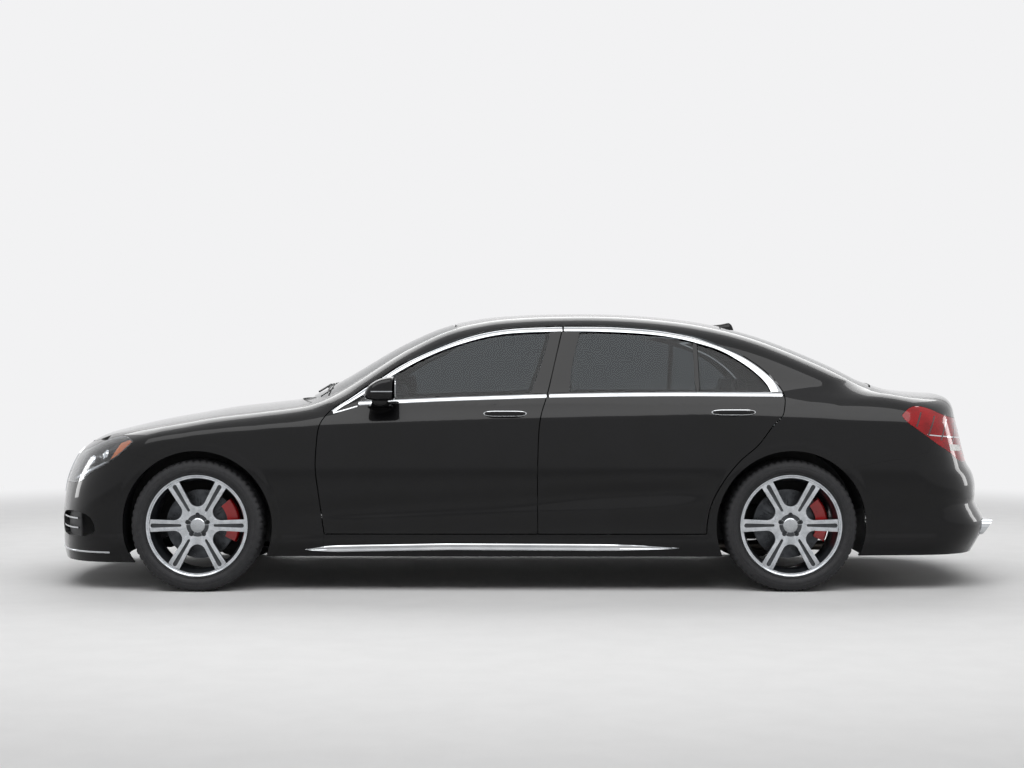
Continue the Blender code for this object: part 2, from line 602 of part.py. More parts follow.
def build_glass(name, outline, start, end, columns):
    ys = at_y(np.array([-0.72, -0.48, 0.0, 0.48, 0.72]))
    rays = top_rays(lambda y: at_x(start), lambda y: at_x(end), ys, columns)
    glass = slab(name, *rays, 0.002, 0.002 + 1.3 * GLASS_THICKNESS, GLASS)
    keep(glass, within(outline, PANEL_GAP, "Z", 0.5, 2.0))
    return glass


def build_lid():
    """Rays fan out over the deck's rear edge, from straight up to below level."""
    ys = at_y(np.array([-0.68, -0.58, -0.33, 0.0, 0.33, 0.58, 0.68]))[:, None]
    angles = np.radians([124, 108, 90, 72, 58, 48, 40, 27, 6, -15])[None, :]
    shape = (ys.shape[0], angles.shape[1])
    origins = np.stack([np.full(shape, at_x(2.08)), np.broadcast_to(ys, shape), np.full(shape, at_z(0.80))], -1)
    directions = np.stack([np.broadcast_to(np.cos(angles), shape), np.zeros(shape),
                           np.broadcast_to(np.sin(angles), shape)], -1)
    lid = slab("trunk_lid", origins, directions, 0.0, LID_THICKNESS, PAINT)
    keep(lid, within(LID, SHUT_GAP, "Z", LID_BOTTOM + SHUT_GAP / 2, 2.0))
    cut(lid, *tail_lamp_openings)
    return lid


def build_front_bumper():
    angles = np.radians([-81, -67, -55, -43, -30, -16, 0, 16, 30, 43, 55, 67, 81])
    heights = at_z(np.array([0.150, 0.200, 0.300, 0.430, 0.520, 0.600, 0.700, 0.800]))
    rays = end_rays(at_x(-1.75), -1, angles, heights)
    bumper = slab("front_bumper", *rays, 0.0, BUMPER_THICKNESS, PAINT)
    keep(bumper, bumper_region)
    cut(bumper, hood_opening, grille_opening, front_arch, *lamp_openings)
    return bumper


def build_grille():
    """A raked frame around level bars."""
    angles = np.radians([-30, -24, -16, -8, 0, 8, 16, 24, 30])
    heights = at_z(np.array([0.49, 0.54, 0.60, 0.66, 0.72, 0.78]))
    grille = slab("grille", *end_rays(at_x(-1.75), -1, angles, heights), 0.0, 0.055, CHROME)
    keep(grille, prism(offset(GRILLE_FRONT, -PANEL_GAP / 2), "X", NOSE_X - 0.5, at_x(-2.2)))
    slots = 4
    frame = 0.030
    bar = 0.014
    low = at_z(0.500) + frame
    pitch = (at_z(0.745) - frame - low + bar) / slots
    for i in range(slots):
        bottom = low + i * pitch
        for side in (-1, 1):
            low_y, high_y = sorted((side * 0.012, side * (at_y(0.385) - frame - 0.010 * abs(i - 1.5))))
            cut(grille, box((NOSE_X - 0.1, low_y, bottom), (at_x(-2.3), high_y, bottom + pitch - bar)))
    return grille


def build_headlamp(side, name):
    angles = side * np.radians([20, 28, 36, 44, 52, 60, 68, 76])
    heights = at_z(np.array([0.540, 0.620, 0.700, 0.770, 0.830]))
    lamp = slab(name, *end_rays(at_x(-1.90), -1, angles, heights), 0.0, LAMP_DEPTH, LENS)
    low, high = one_side(side, LAMP_INNER_Y)
    keep(lamp, within(LAMP, PANEL_GAP, low=low, high=high))
    cut(lamp, hood_opening)
    return lamp


def fender_rays(side):
    turns = [0.0] * 8 + [-0.25, -0.5]
    stations = list(spread(-1.000, -2.060, 8)) + [at_x(-2.060)] * 2
    angles = np.radians([-36, -16, 6, 20, 27, 32, 38, 46])
    return fan_rays(side, stations, turns, angles, at_z(0.45))


# What stands close behind a fender is cut back by this, so that it follows the fender's inner face
fender_clearances = [slab("fender clearance", *fender_rays(s), -0.02, PANEL_THICKNESS + PANEL_GAP, None)
                     for s in (-1, 1)]


def build_fender(side, name):
    fender = slab(name, *fender_rays(side), 0.0, PANEL_THICKNESS, PAINT)
    keep(fender, within(FENDER, PANEL_GAP))
    cut(fender, hood_opening, front_door_opening, front_arch, bumper_opening, shield_opening)
    cut(fender, *[lamp_openings[0 if side < 0 else 1]])
    return fender


def build_side_frame(side, name):
    """Sill, door posts, roof rail and rear quarter in one piece, as they are welded."""
    stations = list(spread(-1.160, 1.900, 14)) + [at_x(1.900)] * 3
    turns = [0.0] * 14 + [0.33, 0.66, 0.95]
    angles = np.radians([-38, -20, 4, 14, 23, 33, 42, 54])
    frame = slab(name, *fan_rays(side, stations, turns, angles, at_z(0.75)), 0.0, FRAME_DEPTH, PAINT)
    keep(frame, within(FRAME_SIDE, PANEL_GAP))
    front, rear = at_x(-1.064) + PANEL_GAP, REAR_AXLE_X - ARCH_RADIUS - 0.02
    sill = box((front, side * SILL_INNER_Y, at_z(0.19)), (rear, side * (SILL_INNER_Y + 0.145), SILL_TOP), "sill")
    join(frame, sill)
    sections = []
    for z, depth in ((SILL_TOP - 0.03, 0.1595), (0.70, 0.1595), (1.03, 0.1645), (1.42, 0.3755), (1.47, 0.4095)):
        lean = np.interp(z, (0.7, 1.05, 1.43), (0.0765, 0.125, 0.222))
        x, y = at_x(lean), side * (HALF_WIDTH - depth)
        inner = side * (HALF_WIDTH - depth - 0.06)
        sections.append([(x - 0.05, y, at_z(z)), (x + 0.05, y, at_z(z)),
                         (x + 0.05, inner, at_z(z)), (x - 0.05, inner, at_z(z))])
    post = loft(sections, "centre post")
    post_block = door_post(side)
    cut(post_block, fender_clearances[0 if side < 0 else 1])
    join(frame, post_block)
    cut(frame, front_door_opening, rear_door_opening)
    plates = hinge_plates(side, FRONT_DOOR, at_x(-1.090), (0.45, 0.74), DOOR_INNER_Y + 0.05, DOOR_INNER_Y + 0.08)
    plates += hinge_plates(side, REAR_DOOR, at_x(0.0765) + 0.005, (0.45, 0.62), DOOR_INNER_Y - 0.04,
                           DOOR_INNER_Y + 0.058)
    join(frame, post, *plates)
    cut(frame, box((at_x(1.800), side * 0.1, at_z(0.9)), (TAIL_X, side * at_y(0.60), at_z(1.3))))
    cut(frame, rear_arch, roof_opening, shield_opening, rear_glass_opening, lid_opening, rear_bumper_opening,
        tail_lamp_openings[0 if side < 0 else 1])
    return frame


def build_rear_bumper():
    angles = np.radians([-84, -69, -58, -46, -32, -17, 0, 17, 32, 46, 58, 69, 84])
    heights = at_z(np.array([0.190, 0.250, 0.320, 0.380, 0.460, 0.570, 0.660, 0.800]))
    bumper = slab("rear_bumper", *end_rays(at_x(1.57), 1, angles, heights), 0.0, BUMPER_THICKNESS, PAINT)
    keep(bumper, rear_bumper_region)
    cut(bumper, rear_arch, lid_opening, *tail_lamp_openings)
    half = EXHAUST_TIP_WIDTH / 2 + EXHAUST_TIP_CLEARANCE
    top = EXHAUST_TIP_BOTTOM + EXHAUST_TIP_HEIGHT + EXHAUST_TIP_CLEARANCE
    for side in (-1, 1):
        low, high = sorted((side * (EXHAUST_TIP_Y - half), side * (EXHAUST_TIP_Y + half)))
        cut(bumper, box((at_x(2.30), low, EXHAUST_TIP_BOTTOM - EXHAUST_TIP_CLEARANCE), (TAIL_X + 0.1, high, top)))
    return bumper


def build_tail_lamp(side, name):
    angles = side * np.radians([20, 28, 36, 44, 52, 60, 68, 76])
    heights = at_z(np.array([0.675, 0.760, 0.850, 0.930, 1.000]))
    lamp = slab(name, *end_rays(at_x(1.80), 1, angles, heights), 0.0, TAIL_LAMP_DEPTH, RED_LENS)
    low, high = one_side(side, TAIL_LAMP_INNER_Y)
    keep(lamp, within(TAIL_LAMP, PANEL_GAP, low=low, high=high))
    return lamp


def door_rays(side, top_edge, front_x, rear_x):
    xs = spread(front_x, rear_x, 7)
    top_x, top_z = zip(*top_edge)
    high = lambda x: max(at_z(1.020), float(np.interp(x, top_x, top_z))) + 0.012
    return side_rays(side, xs, lambda x: at_z(0.29), high, 9)


def build_door(side, name, outline, top_edge, window, front_x, rear_x):
    """A thin skin and window frame, so that the door swings clear, on a panel set in from the edge."""
    rays = door_rays(side, top_edge, front_x, rear_x)
    door = slab(name, *rays, 0.0, DOOR_SKIN_DEPTH, PAINT)
    keep(door, within(outline, SHUT_GAP))
    panel = prism(offset(outline, -SHUT_GAP / 2 - DOOR_STEP), "Y", *sorted((side * 0.2, side * (FAR_Y + 0.1))))
    keep(panel, box((at_x(-1.3), side * DOOR_INNER_Y, 0.2), (at_x(1.6), side * FAR_Y, DOOR_PANEL_TOP)))
    cut(panel, slab("outside of door", *rays, -0.4, DOOR_SKIN_DEPTH / 2, None))
    join(door, panel)
    cut(door, prism(window, "Y", *one_side(side)))
    return door


def outline_top(outline, x):
    """The highest place of a closed outline at x, with x first held within its reach."""
    x = min(max(x, min(point[0] for point in outline)), max(point[0] for point in outline))
    heights = []
    for (x0, z0), (x1, z1) in zip(outline, outline[1:] + outline[:1]):
        if min(x0, x1) <= x <= max(x0, x1):
            share = (x - x0) / (x1 - x0) if x0 != x1 else 0.0
            heights.append(z0 + (z1 - z0) * share)
    return max(heights)


def build_door_glass(side, name, outline, front_x, rear_x):
    xs = spread(front_x, rear_x, 9)
    rays = side_rays(side, xs, lambda x: at_z(1.02), lambda x: outline_top(outline, x) + 0.030, 5)
    pane = slab(name, *rays, GLASS_RECESS, GLASS_RECESS + GLASS_THICKNESS, GLASS)
    keep(pane, within(outline, 2 * PANEL_GAP))
    return pane


def build_mirror(side, name):
    """A rounded housing on a foot that follows the door's skin just below the window."""
    rays = side_rays(side, spread(-0.850, -0.740, 4), lambda x: at_z(0.965), lambda x: at_z(1.000), 3)
    mirror = slab(name, *rays, -0.080, 0.010, PAINT)
    section = [(0.0, -0.045), (0.35, -0.055), (0.75, -0.050), (1.0, -0.020), (1.0, 0.030), (0.75, 0.052),
               (0.35, 0.050), (0.0, 0.025)]
    rings = []
    for share, size in ((0.0, 0.45), (0.12, 0.85), (0.45, 1.0), (0.8, 0.9), (1.0, 0.45)):
        y = at_y(0.905 + 0.155 * share)
        front, depth = at_x(-0.825), 0.150
        middle = front + depth * 0.55
        rings.append([(middle + (u - 0.55) * depth * size, side * y, at_z(1.105) + v * size) for u, v in section])
    housing = loft(rings, "mirror housing")
    cut(mirror, slab("door skin", *door_rays(side, FRONT_DOOR_TOP, *FRONT_DOOR_REACH), -PANEL_GAP, 0.1, None))
    neck = box((at_x(-0.815), side * at_y(0.925), at_z(0.985)), (at_x(-0.765), side * at_y(0.965), at_z(1.09)))
    join(mirror, housing, neck)
    return mirror


# Wheels stand on the flat of one facet, so the tread's corners lie a little outside the radius
FACET = math.cos(math.pi / WHEEL_STEPS)


def turned_mesh(name, profile, steps, finish, closed=True):
    """A profile of (radius, height) points turned about Z, with a facet centred on -Y."""
    bm = bmesh.new()
    start = math.pi / 2 + math.pi / steps
    corners = [bm.verts.new((r / FACET * math.cos(start), r / FACET * math.sin(start), h)) for r, h in profile]
    for a, b in zip(corners, corners[1:] + (corners[:1] if closed else [])):
        if a is not b:
            bm.edges.new((a, b))
    mesh = bpy.data.meshes.new(name)
    bm.to_mesh(mesh)
    bm.free()
    obj = bpy.data.objects.new(name, mesh)
    helpers.objects.link(obj)
    turn = obj.modifiers.new("turn", "SCREW")
    turn.axis = "Z"
    turn.steps = turn.render_steps = steps
    turn.use_merge_vertices = True
    turn.merge_threshold = 0.00001
    result = settled(obj)
    bpy.data.objects.remove(obj, do_unlink=True)
    result.materials.append(finish)
    return result


def settled(obj):
    """The object's mesh with its modifiers applied."""
    bpy.context.view_layer.update()
    graph = bpy.context.evaluated_depsgraph_get()
    mesh = bpy.data.meshes.new_from_object(obj.evaluated_get(graph))
    bm = bmesh.new()
    bm.from_mesh(mesh)
    bmesh.ops.remove_doubles(bm, verts=bm.verts, dist=1e-6)
    bmesh.ops.recalc_face_normals(bm, faces=bm.faces)
    bm.to_mesh(mesh)
    bm.free()
    mesh.materials.clear()
    return mesh


def tyre_profile(width):
    edge = 0.405 * width
    rim = RIM_RADIUS
    seat = RIM_RADIUS - 0.018 + PANEL_GAP
    half = [(seat, edge), (rim + 0.001, edge), (0.300, 0.495 * width), (TYRE_RADIUS - 0.009, 0.465 * width),
            (TYRE_RADIUS, 0.370 * width)]
    inner = [(seat, -0.330 * width), (TYRE_RADIUS - 0.016, -0.390 * width), (TYRE_RADIUS - 0.016, 0.390 * width),
             (seat, 0.330 * width)]
    return half + [(r, -h) for r, h in reversed(half)] + inner


def rim_profile(width):
    bead = 0.405 * width + PANEL_GAP
    seat = RIM_RADIUS - 0.018
    lip = bead + 0.009
    return [(RIM_RADIUS, lip), (RIM_RADIUS, bead), (seat, bead), (seat, -bead), (RIM_RADIUS, -bead),
            (RIM_RADIUS, -lip), (RIM_RADIUS - 0.012, -lip), (seat - RIM_WALL, -bead + 0.012),
            (seat - RIM_WALL, bead - 0.012), (RIM_RADIUS - 0.012, lip)]


def rim_mesh(name, width):
    """Barrel, hub and pairs of spokes in one casting."""
    barrel = bpy.data.objects.new(name, turned_mesh(name, rim_profile(width), WHEEL_STEPS, ALLOY))
    helpers.objects.link(barrel)
    face = 0.405 * width - 0.004
    hub_back = HUB_BACK
    hub = bmesh.new()
    bmesh.ops.create_cone(hub, cap_ends=True, segments=24, radius1=HUB_RADIUS, radius2=HUB_RADIUS * 0.8,
                          depth=face - 0.010 - hub_back,
                          matrix=Matrix.Translation((0, 0, (face - 0.010 + hub_back) / 2)))
    join(barrel, add_object("hub", hub, None))
    seat = RIM_RADIUS - 0.018
    for pair in range(SPOKE_PAIRS):
        for hand in (-1, 1):
            turn = Matrix.Rotation(pair * 2 * math.pi / SPOKE_PAIRS, 4, "Z")
            near, far = 0.045, seat - RIM_WALL / 2
            shift = hand * SPOKE_SPACING / 2
            half = SPOKE_WIDTH / 2
            rings = []
            for reach, top, deep in ((near, face - 0.014, 0.030), (far, face, 0.026)):
                corners = [(reach, shift - half, top - deep), (reach, shift + half, top - deep),
                           (reach, shift + half * 0.8, top), (reach, shift - half * 0.8, top)]
                rings.append([turn @ Vector(c) for c in corners])
            join(barrel, loft(rings, "spoke"))
    mesh = settled(barrel)
    bpy.data.objects.remove(barrel, do_unlink=True)
    mesh.materials.append(ALLOY)
    mesh.name = name
    return mesh


def disc_mesh():
    profile = [(0.0, HUB_BACK - PANEL_GAP), (DISC_HAT_RADIUS, HUB_BACK - PANEL_GAP), (DISC_HAT_RADIUS, DISC_TOP),
               (DISC_RADIUS, DISC_TOP), (DISC_RADIUS, DISC_BACK), (0.0, DISC_BACK)]
    return turned_mesh("brake_disc", profile, WHEEL_STEPS, IRON, closed=False)


def place_wheel_piece(mesh, name, side, axle_x, centre_y):
    obj = bpy.data.objects.new(name, mesh)
    obj.location = (axle_x, side * centre_y, TYRE_RADIUS)
    obj.rotation_euler = (-side * math.pi / 2, 0, 0)
    model.objects.link(obj)
    return obj


def upright(side, axle_x, centre_y, bottom, top, name, finish):
    """Post, spindle and brake caliper that stand behind the disc."""
    post_y = centre_y - KINGPIN_INSET
    post = box((axle_x - POST_HALF, side * (post_y - POST_HALF), bottom),
               (axle_x + POST_HALF, side * (post_y + POST_HALF), top), name, finish)
    spindle_end = centre_y + DISC_BACK - PANEL_GAP
    join(post, drum((axle_x, TYRE_RADIUS), 0.034, side * (post_y - POST_HALF / 2), side * spindle_end, 16))
    back = centre_y + DISC_BACK - RUNNING_CLEARANCE
    front = centre_y + DISC_TOP + RUNNING_CLEARANCE
    near, far = axle_x + 0.128, axle_x + 0.218
    half = 0.072
    caliper = box((near, side * (back - 0.024), TYRE_RADIUS - half),
                  (far, side * (front + 0.022), TYRE_RADIUS + half), "caliper")
    cut(caliper, box((near - 0.01, side * back, TYRE_RADIUS - half - 0.01),
                     (axle_x + DISC_RADIUS + RUNNING_CLEARANCE, side * front, TYRE_RADIUS + half + 0.01)))
    arm = box((axle_x - POST_HALF / 2, side * (post_y - POST_HALF / 2), TYRE_RADIUS - 0.045),
              (near + 0.03, side * (post_y + POST_HALF / 2), TYRE_RADIUS + 0.045))
    bracket = box((near + 0.006, side * (post_y - POST_HALF / 2), TYRE_RADIUS - 0.040),
                  (near + 0.028, side * (back - 0.010), TYRE_RADIUS + 0.040))
    join(post, arm, bracket, caliper)
    return post


def build_front_subframe():
    front_y = WHEEL_OUTER_Y - TYRE_WIDTH_FRONT / 2
    top = KNUCKLE_BOTTOM - SEAT_GAP
    frame = box((FRONT_AXLE_X - 0.16, -0.36, top - 0.02), (FRONT_AXLE_X + 0.16, 0.36, top + 0.10),
                "front_subframe", STEEL)
    reach = front_y - KINGPIN_INSET + POST_HALF
    join(frame, box((FRONT_AXLE_X - POST_HALF, -reach, top - 0.03), (FRONT_AXLE_X + POST_HALF, reach, top)))
    for side in (-1, 1):
        low, high = sorted((side * 0.30, side * (RAIL_Y + RAIL_WIDTH / 2)))
        join(frame, box((FRONT_AXLE_X - 0.05, low, top + 0.04), (FRONT_AXLE_X + 0.05, high,
                                                                  RAIL_BOTTOM - SEAT_GAP)))
    return frame


def build_rear_axle():
    rear_y = WHEEL_OUTER_Y - TYRE_WIDTH_REAR / 2
    reach = rear_y - KINGPIN_INSET
    axle = box((REAR_AXLE_X - 0.05, -reach, 0.240), (REAR_AXLE_X + 0.05, reach, 0.320), "rear_axle", STEEL)
    for side in (-1, 1):
        join(axle, upright(side, REAR_AXLE_X, rear_y, 0.240, 0.420, "rear upright", None))
        low, high = sorted((side * 0.30, side * 0.42))
        join(axle, box((REAR_AXLE_X - 0.03, low, 0.30), (REAR_AXLE_X + 0.03, high, TRUNK_FLOOR - SEAT_GAP)))
    return axle


def build_underbody():
    """Floor, bulkheads, front rails, trunk floor and wheelhouses in one welded piece."""
    floor_top = FLOOR_BOTTOM + FLOOR_THICKNESS
    edge = SILL_INNER_Y - PANEL_GAP
    wall = 0.030
    firewall_x = at_x(-1.240)
    seat_x = at_x(1.010)
    body = box((firewall_x, -edge, FLOOR_BOTTOM), (seat_x, edge, floor_top), "underbody", STEEL)
    join(body, box((firewall_x, -edge, FLOOR_BOTTOM), (firewall_x + 0.04, edge, at_z(0.930))))
    cowl = slab("cowl", *top_rays(lambda y: at_x(-1.31), lambda y: at_x(-1.09),
                                  at_y(np.array([-0.52, -0.26, 0.0, 0.26, 0.52])), 5), 0.012, 0.10, None)
    cut(cowl, hood_opening, shield_opening, *fender_clearances)
    join(body, cowl)
    rear_x = at_x(2.420)
    join(body, box((seat_x - wall, -WHEELHOUSE_Y, FLOOR_BOTTOM), (seat_x, WHEELHOUSE_Y, TRUNK_FLOOR + wall)))
    join(body, box((seat_x - wall, -WHEELHOUSE_Y, TRUNK_FLOOR), (rear_x, WHEELHOUSE_Y, TRUNK_FLOOR + wall)))
    join(body, box((rear_x - wall, -WHEELHOUSE_Y, TRUNK_FLOOR), (rear_x, WHEELHOUSE_Y, at_z(0.640))))
    back_x = at_x(1.440)
    join(body, box((back_x, -WHEELHOUSE_Y, TRUNK_FLOOR), (back_x + wall, WHEELHOUSE_Y, at_z(0.990))))
    join(body, box((back_x, -WHEELHOUSE_Y, at_z(0.960)), (at_x(1.965), WHEELHOUSE_Y, at_z(0.990))))
    for side in (-1, 1):
        low, high = sorted((side * (WHEELHOUSE_Y - wall), side * WHEELHOUSE_Y))
        join(body, box((seat_x - wall, low, TRUNK_FLOOR), (at_x(1.950), high, at_z(0.800))))
        low, high = sorted((side * (RAIL_Y - RAIL_WIDTH / 2), side * (RAIL_Y + RAIL_WIDTH / 2)))
        join(body, box((at_x(-2.460), low, RAIL_BOTTOM), (firewall_x + 0.01, high, RAIL_TOP)))
        hinge = slab("hood hinge", *hood_rays(), LID_THICKNESS + SEAT_GAP, 0.120, None)
        keep(hinge, box((firewall_x + 0.01, side * at_y(0.60), at_z(0.8)),
                        (at_x(-1.185), side * at_y(0.66), at_z(1.1))))
        lid_hinge = slab("lid hinge", *top_rays(
            lambda y: at_x(1.930), lambda y: at_x(1.962), np.sort(side * at_y(np.array([0.47, 0.545]))), 3),
            LID_THICKNESS + SEAT_GAP, 0.130, None)
        join(body, hinge, lid_hinge)
        low, high = sorted((side * (edge - 0.12), side * (edge - 0.04)))
        for pad_x in (at_x(-0.95), at_x(0.85)):
            join(body, box((pad_x - 0.05, low, FLOOR_BOTTOM - 0.020), (pad_x + 0.05, high, FLOOR_BOTTOM + 0.01)))
    join(body, box((at_x(-2.460), -RAIL_Y, RAIL_BOTTOM), (at_x(-2.420), RAIL_Y, at_z(0.620))))
    return body


def build_engine():
    top = KNUCKLE_BOTTOM - SEAT_GAP + 0.10
    return box((at_x(-2.05), -0.30, top + SEAT_GAP), (at_x(-1.32), 0.30, at_z(0.820)), "engine", STEEL, 0.02)


def build_exhaust():
    radius = 0.028
    line = bpy.data.curves.new("pipe", "CURVE")
    line.dimensions = "3D"
    run = line.splines.new("POLY")
    pipe_z = FLOOR_BOTTOM - radius / math.cos(math.pi / 8) - SEAT_GAP
    route = [(at_x(-0.90), -0.16, pipe_z), (at_x(1.90), -0.16, pipe_z), (at_x(2.00), -0.16, pipe_z + 0.03)]
    run.points.add(len(route) - 1)
    for point, place in zip(run.points, route):
        point.co = (*place, 1.0)
    line.bevel_depth = radius
    line.bevel_resolution = 2
    line.use_fill_caps = True
    curve = bpy.data.objects.new("pipe", line)
    helpers.objects.link(curve)
    mesh = settled(curve)
    bpy.data.objects.remove(curve, do_unlink=True)
    exhaust = bpy.data.objects.new("exhaust", mesh)
    mesh.materials.append(STEEL)
    model.objects.link(exhaust)
    join(exhaust, box((at_x(1.95), -0.50, FLOOR_BOTTOM - 0.03), (at_x(2.30), 0.50, FLOOR_BOTTOM + 0.14),
                      "muffler", None, 0.02))
    for side in (-1, 1):
        low, high = sorted((side * (EXHAUST_TIP_Y - EXHAUST_TIP_WIDTH / 2),
                            side * (EXHAUST_TIP_Y + EXHAUST_TIP_WIDTH / 2)))
        join(exhaust, box((at_x(2.20), low, EXHAUST_TIP_BOTTOM),
                          (at_x(2.545), high, EXHAUST_TIP_BOTTOM + EXHAUST_TIP_HEIGHT)))
        low, high = sorted((side * 0.36, side * 0.38))
        join(exhaust, box((at_x(2.10), low, 0.25), (at_x(2.12), high, TRUNK_FLOOR - SEAT_GAP)))
    return exhaust


def build_front_seat(side, name):
    floor = FLOOR_BOTTOM + FLOOR_THICKNESS + SEAT_GAP
    middle = side * float(at_y(SEAT_MIDDLE))
    front, rear = at_x(-0.55), at_x(-0.02)
    seat = box((front, middle - 0.25, floor + 0.10), (rear, middle + 0.25, floor + 0.28), name, LEATHER, 0.03, 2)
    join(seat, box((front + 0.06, middle - 0.20, floor), (rear - 0.06, middle + 0.20, floor + 0.14)))
    join(seat, loft([
        [(rear - 0.14, middle - 0.24, floor + 0.20), (rear - 0.14, middle + 0.24, floor + 0.20),
         (rear + 0.02, middle + 0.24, floor + 0.16), (rear + 0.02, middle - 0.24, floor + 0.16)],
        [(rear - 0.07, middle - 0.26, floor + 0.42), (rear - 0.07, middle + 0.26, floor + 0.42),
         (rear + 0.10, middle + 0.25, floor + 0.42), (rear + 0.10, middle - 0.25, floor + 0.42)],
        [(rear + 0.06, middle - 0.24, floor + 0.72), (rear + 0.06, middle + 0.24, floor + 0.72),
         (rear + 0.19, middle + 0.23, floor + 0.72), (rear + 0.19, middle - 0.23, floor + 0.72)],
        [(rear + 0.11, middle - 0.17, floor + 0.80), (rear + 0.11, middle + 0.17, floor + 0.80),
         (rear + 0.19, middle + 0.17, floor + 0.80), (rear + 0.19, middle - 0.17, floor + 0.80)]], "backrest"))
    join(seat, box((rear + 0.13, middle - 0.05, floor + 0.78), (rear + 0.17, middle + 0.05, floor + 0.87)))
    join(seat, box((rear + 0.09, middle - 0.13, floor + 0.84), (rear + 0.19, middle + 0.13, floor + 0.98),
                   "head restraint", None, 0.025, 2))
    return seat


def build_rear_bench():
    floor = FLOOR_BOTTOM + FLOOR_THICKNESS + SEAT_GAP
    front, rear = at_x(0.46), at_x(0.979)
    back_top = at_x(1.30)
    half = WHEELHOUSE_Y - 0.035
    wide = SILL_INNER_Y - 0.08
    bench = box((front, -wide, floor), (rear, wide, floor + 0.28), "rear_bench", LEATHER, 0.03, 2)
    join(bench, loft([
        [(rear - 0.10, -half, floor + 0.24), (rear - 0.10, half, floor + 0.24),
         (rear + 0.10, half, floor + 0.25), (rear + 0.10, -half, floor + 0.25)],
        [(rear + 0.03, -half, floor + 0.50), (rear + 0.03, half, floor + 0.50),
         (rear + 0.20, half, floor + 0.50), (rear + 0.20, -half, floor + 0.50)],
        [(back_top - 0.14, -half, floor + 0.76), (back_top - 0.14, half, floor + 0.76),
         (back_top, half, floor + 0.76), (back_top, -half, floor + 0.76)]], "backrest"))
    for side in (-1, 1):
        low, high = sorted((side * 0.20, side * 0.46))
        join(bench, box((back_top - 0.13, low, floor + 0.74), (back_top - 0.03, high, floor + 0.92),
                        "head restraint", None, 0.025, 2))
    return bench


def build_dashboard():
    front = at_x(-1.240) + 0.04 + SEAT_GAP
    floor = FLOOR_BOTTOM + FLOOR_THICKNESS + SEAT_GAP
    wide = SILL_INNER_Y - 0.05
    dash = box((front, -wide, at_z(0.580)), (at_x(-0.860), wide, at_z(0.860)), "dashboard", TRIM)
    join(dash, box((at_x(-1.070), -wide, at_z(0.820)), (at_x(-0.880), wide, at_z(0.960)), "pad", None, 0.02, 2))
    join(dash, box((at_x(-0.950), -0.125, floor), (at_x(-0.800), 0.125, at_z(0.720)), "centre stack"))
    join(dash, box((at_x(-0.900), -0.125, floor), (at_x(0.050), 0.125, floor + 0.30), "console", None, 0.02))
    away = Vector((math.cos(STEERING_TILT), 0, math.sin(STEERING_TILT)))
    end = Vector(STEERING_CENTRE) - away * COLUMN_REACH
    start = Vector(STEERING_CENTRE) - away * 0.32
    column = bmesh.new()
    turn = away.to_track_quat("Z", "Y").to_matrix().to_4x4()
    bmesh.ops.create_cone(column, cap_ends=True, segments=16, radius1=0.035, radius2=0.035,
                          depth=(end - start).length, matrix=Matrix.Translation((start + end) / 2) @ turn)
    join(dash, add_object("column", column, None))
    return dash


def build_steering_wheel():
    bm = bmesh.new()
    rings, sides = 24, 8
    for i in range(rings):
        turn = 2 * math.pi * i / rings
        for j in range(sides):
            lift = 2 * math.pi * j / sides
            radius = STEERING_RIM_RADIUS + STEERING_RIM_THICKNESS * math.cos(lift)
            bm.verts.new((radius * math.cos(turn), radius * math.sin(turn), STEERING_RIM_THICKNESS * math.sin(lift)))
    bm.verts.ensure_lookup_table()
    for i in range(rings):
        for j in range(sides):
            k, m = (i + 1) % rings, (j + 1) % sides
            bm.faces.new([bm.verts[a * sides + b] for a, b in ((i, j), (k, j), (k, m), (i, m))])
    wheel = add_object("steering_wheel", bm, TRIM)
    hub = bmesh.new()
    depth = 2 * (COLUMN_REACH - SEAT_GAP)
    bmesh.ops.create_cone(hub, cap_ends=True, segments=16, radius1=0.045, radius2=0.045, depth=depth / 2 + 0.015,
                          matrix=Matrix.Translation((0, 0, 0.015 / 2 - depth / 4)))
    parts = [add_object("boss", hub, None)]
    parts.append(box((-STEERING_RIM_RADIUS, -0.016, -0.012), (STEERING_RIM_RADIUS, 0.016, 0.004), "arms"))
    parts.append(box((-0.016, -STEERING_RIM_RADIUS, -0.012), (0.016, 0.0, 0.004), "lower arm"))
    join(wheel, *parts)
    mesh = settled(wheel)
    bpy.data.objects.remove(wheel, do_unlink=True)
    mesh.materials.append(TRIM)
    placed = bpy.data.objects.new("steering_wheel", mesh)
    away = Vector((math.cos(STEERING_TILT), 0, math.sin(STEERING_TILT)))
    placed.location = STEERING_CENTRE
    placed.rotation_mode = "QUATERNION"
    placed.rotation_quaternion = away.to_track_quat("Z", "Y")
    model.objects.link(placed)
    return placed


def door_post(side):
    """Front door post behind the fender, with the plates that carry the door."""
    stations = spread(-1.300, -0.985, 6)
    high = lambda x: at_z(float(np.interp(x, (at_x(-1.30), at_x(-1.10), at_x(-0.985)), (0.900, 0.972, 1.005))))
    rays = side_rays(side, stations, lambda x: at_z(0.25), high, 6)
    return slab("door post", *rays, PANEL_THICKNESS / 2, 0.150, None)


def hinge_plates(side, outline, x, heights, inner_y, outer_y):
    """Plates that end just short of the set-in front face of a door."""
    low, high = sorted((side * inner_y, side * outer_y))
    plates = []
    for z in heights:
        plate = box((x - 0.020, low, at_z(z)), (x + 0.040, high, at_z(z) + HINGE_PLATE_HEIGHT))
        cut(plate, around(outline, 2 * (SEAT_GAP - DOOR_STEP) - SHUT_GAP, name="hinge clearance"))
        plates.append(plate)
    return plates


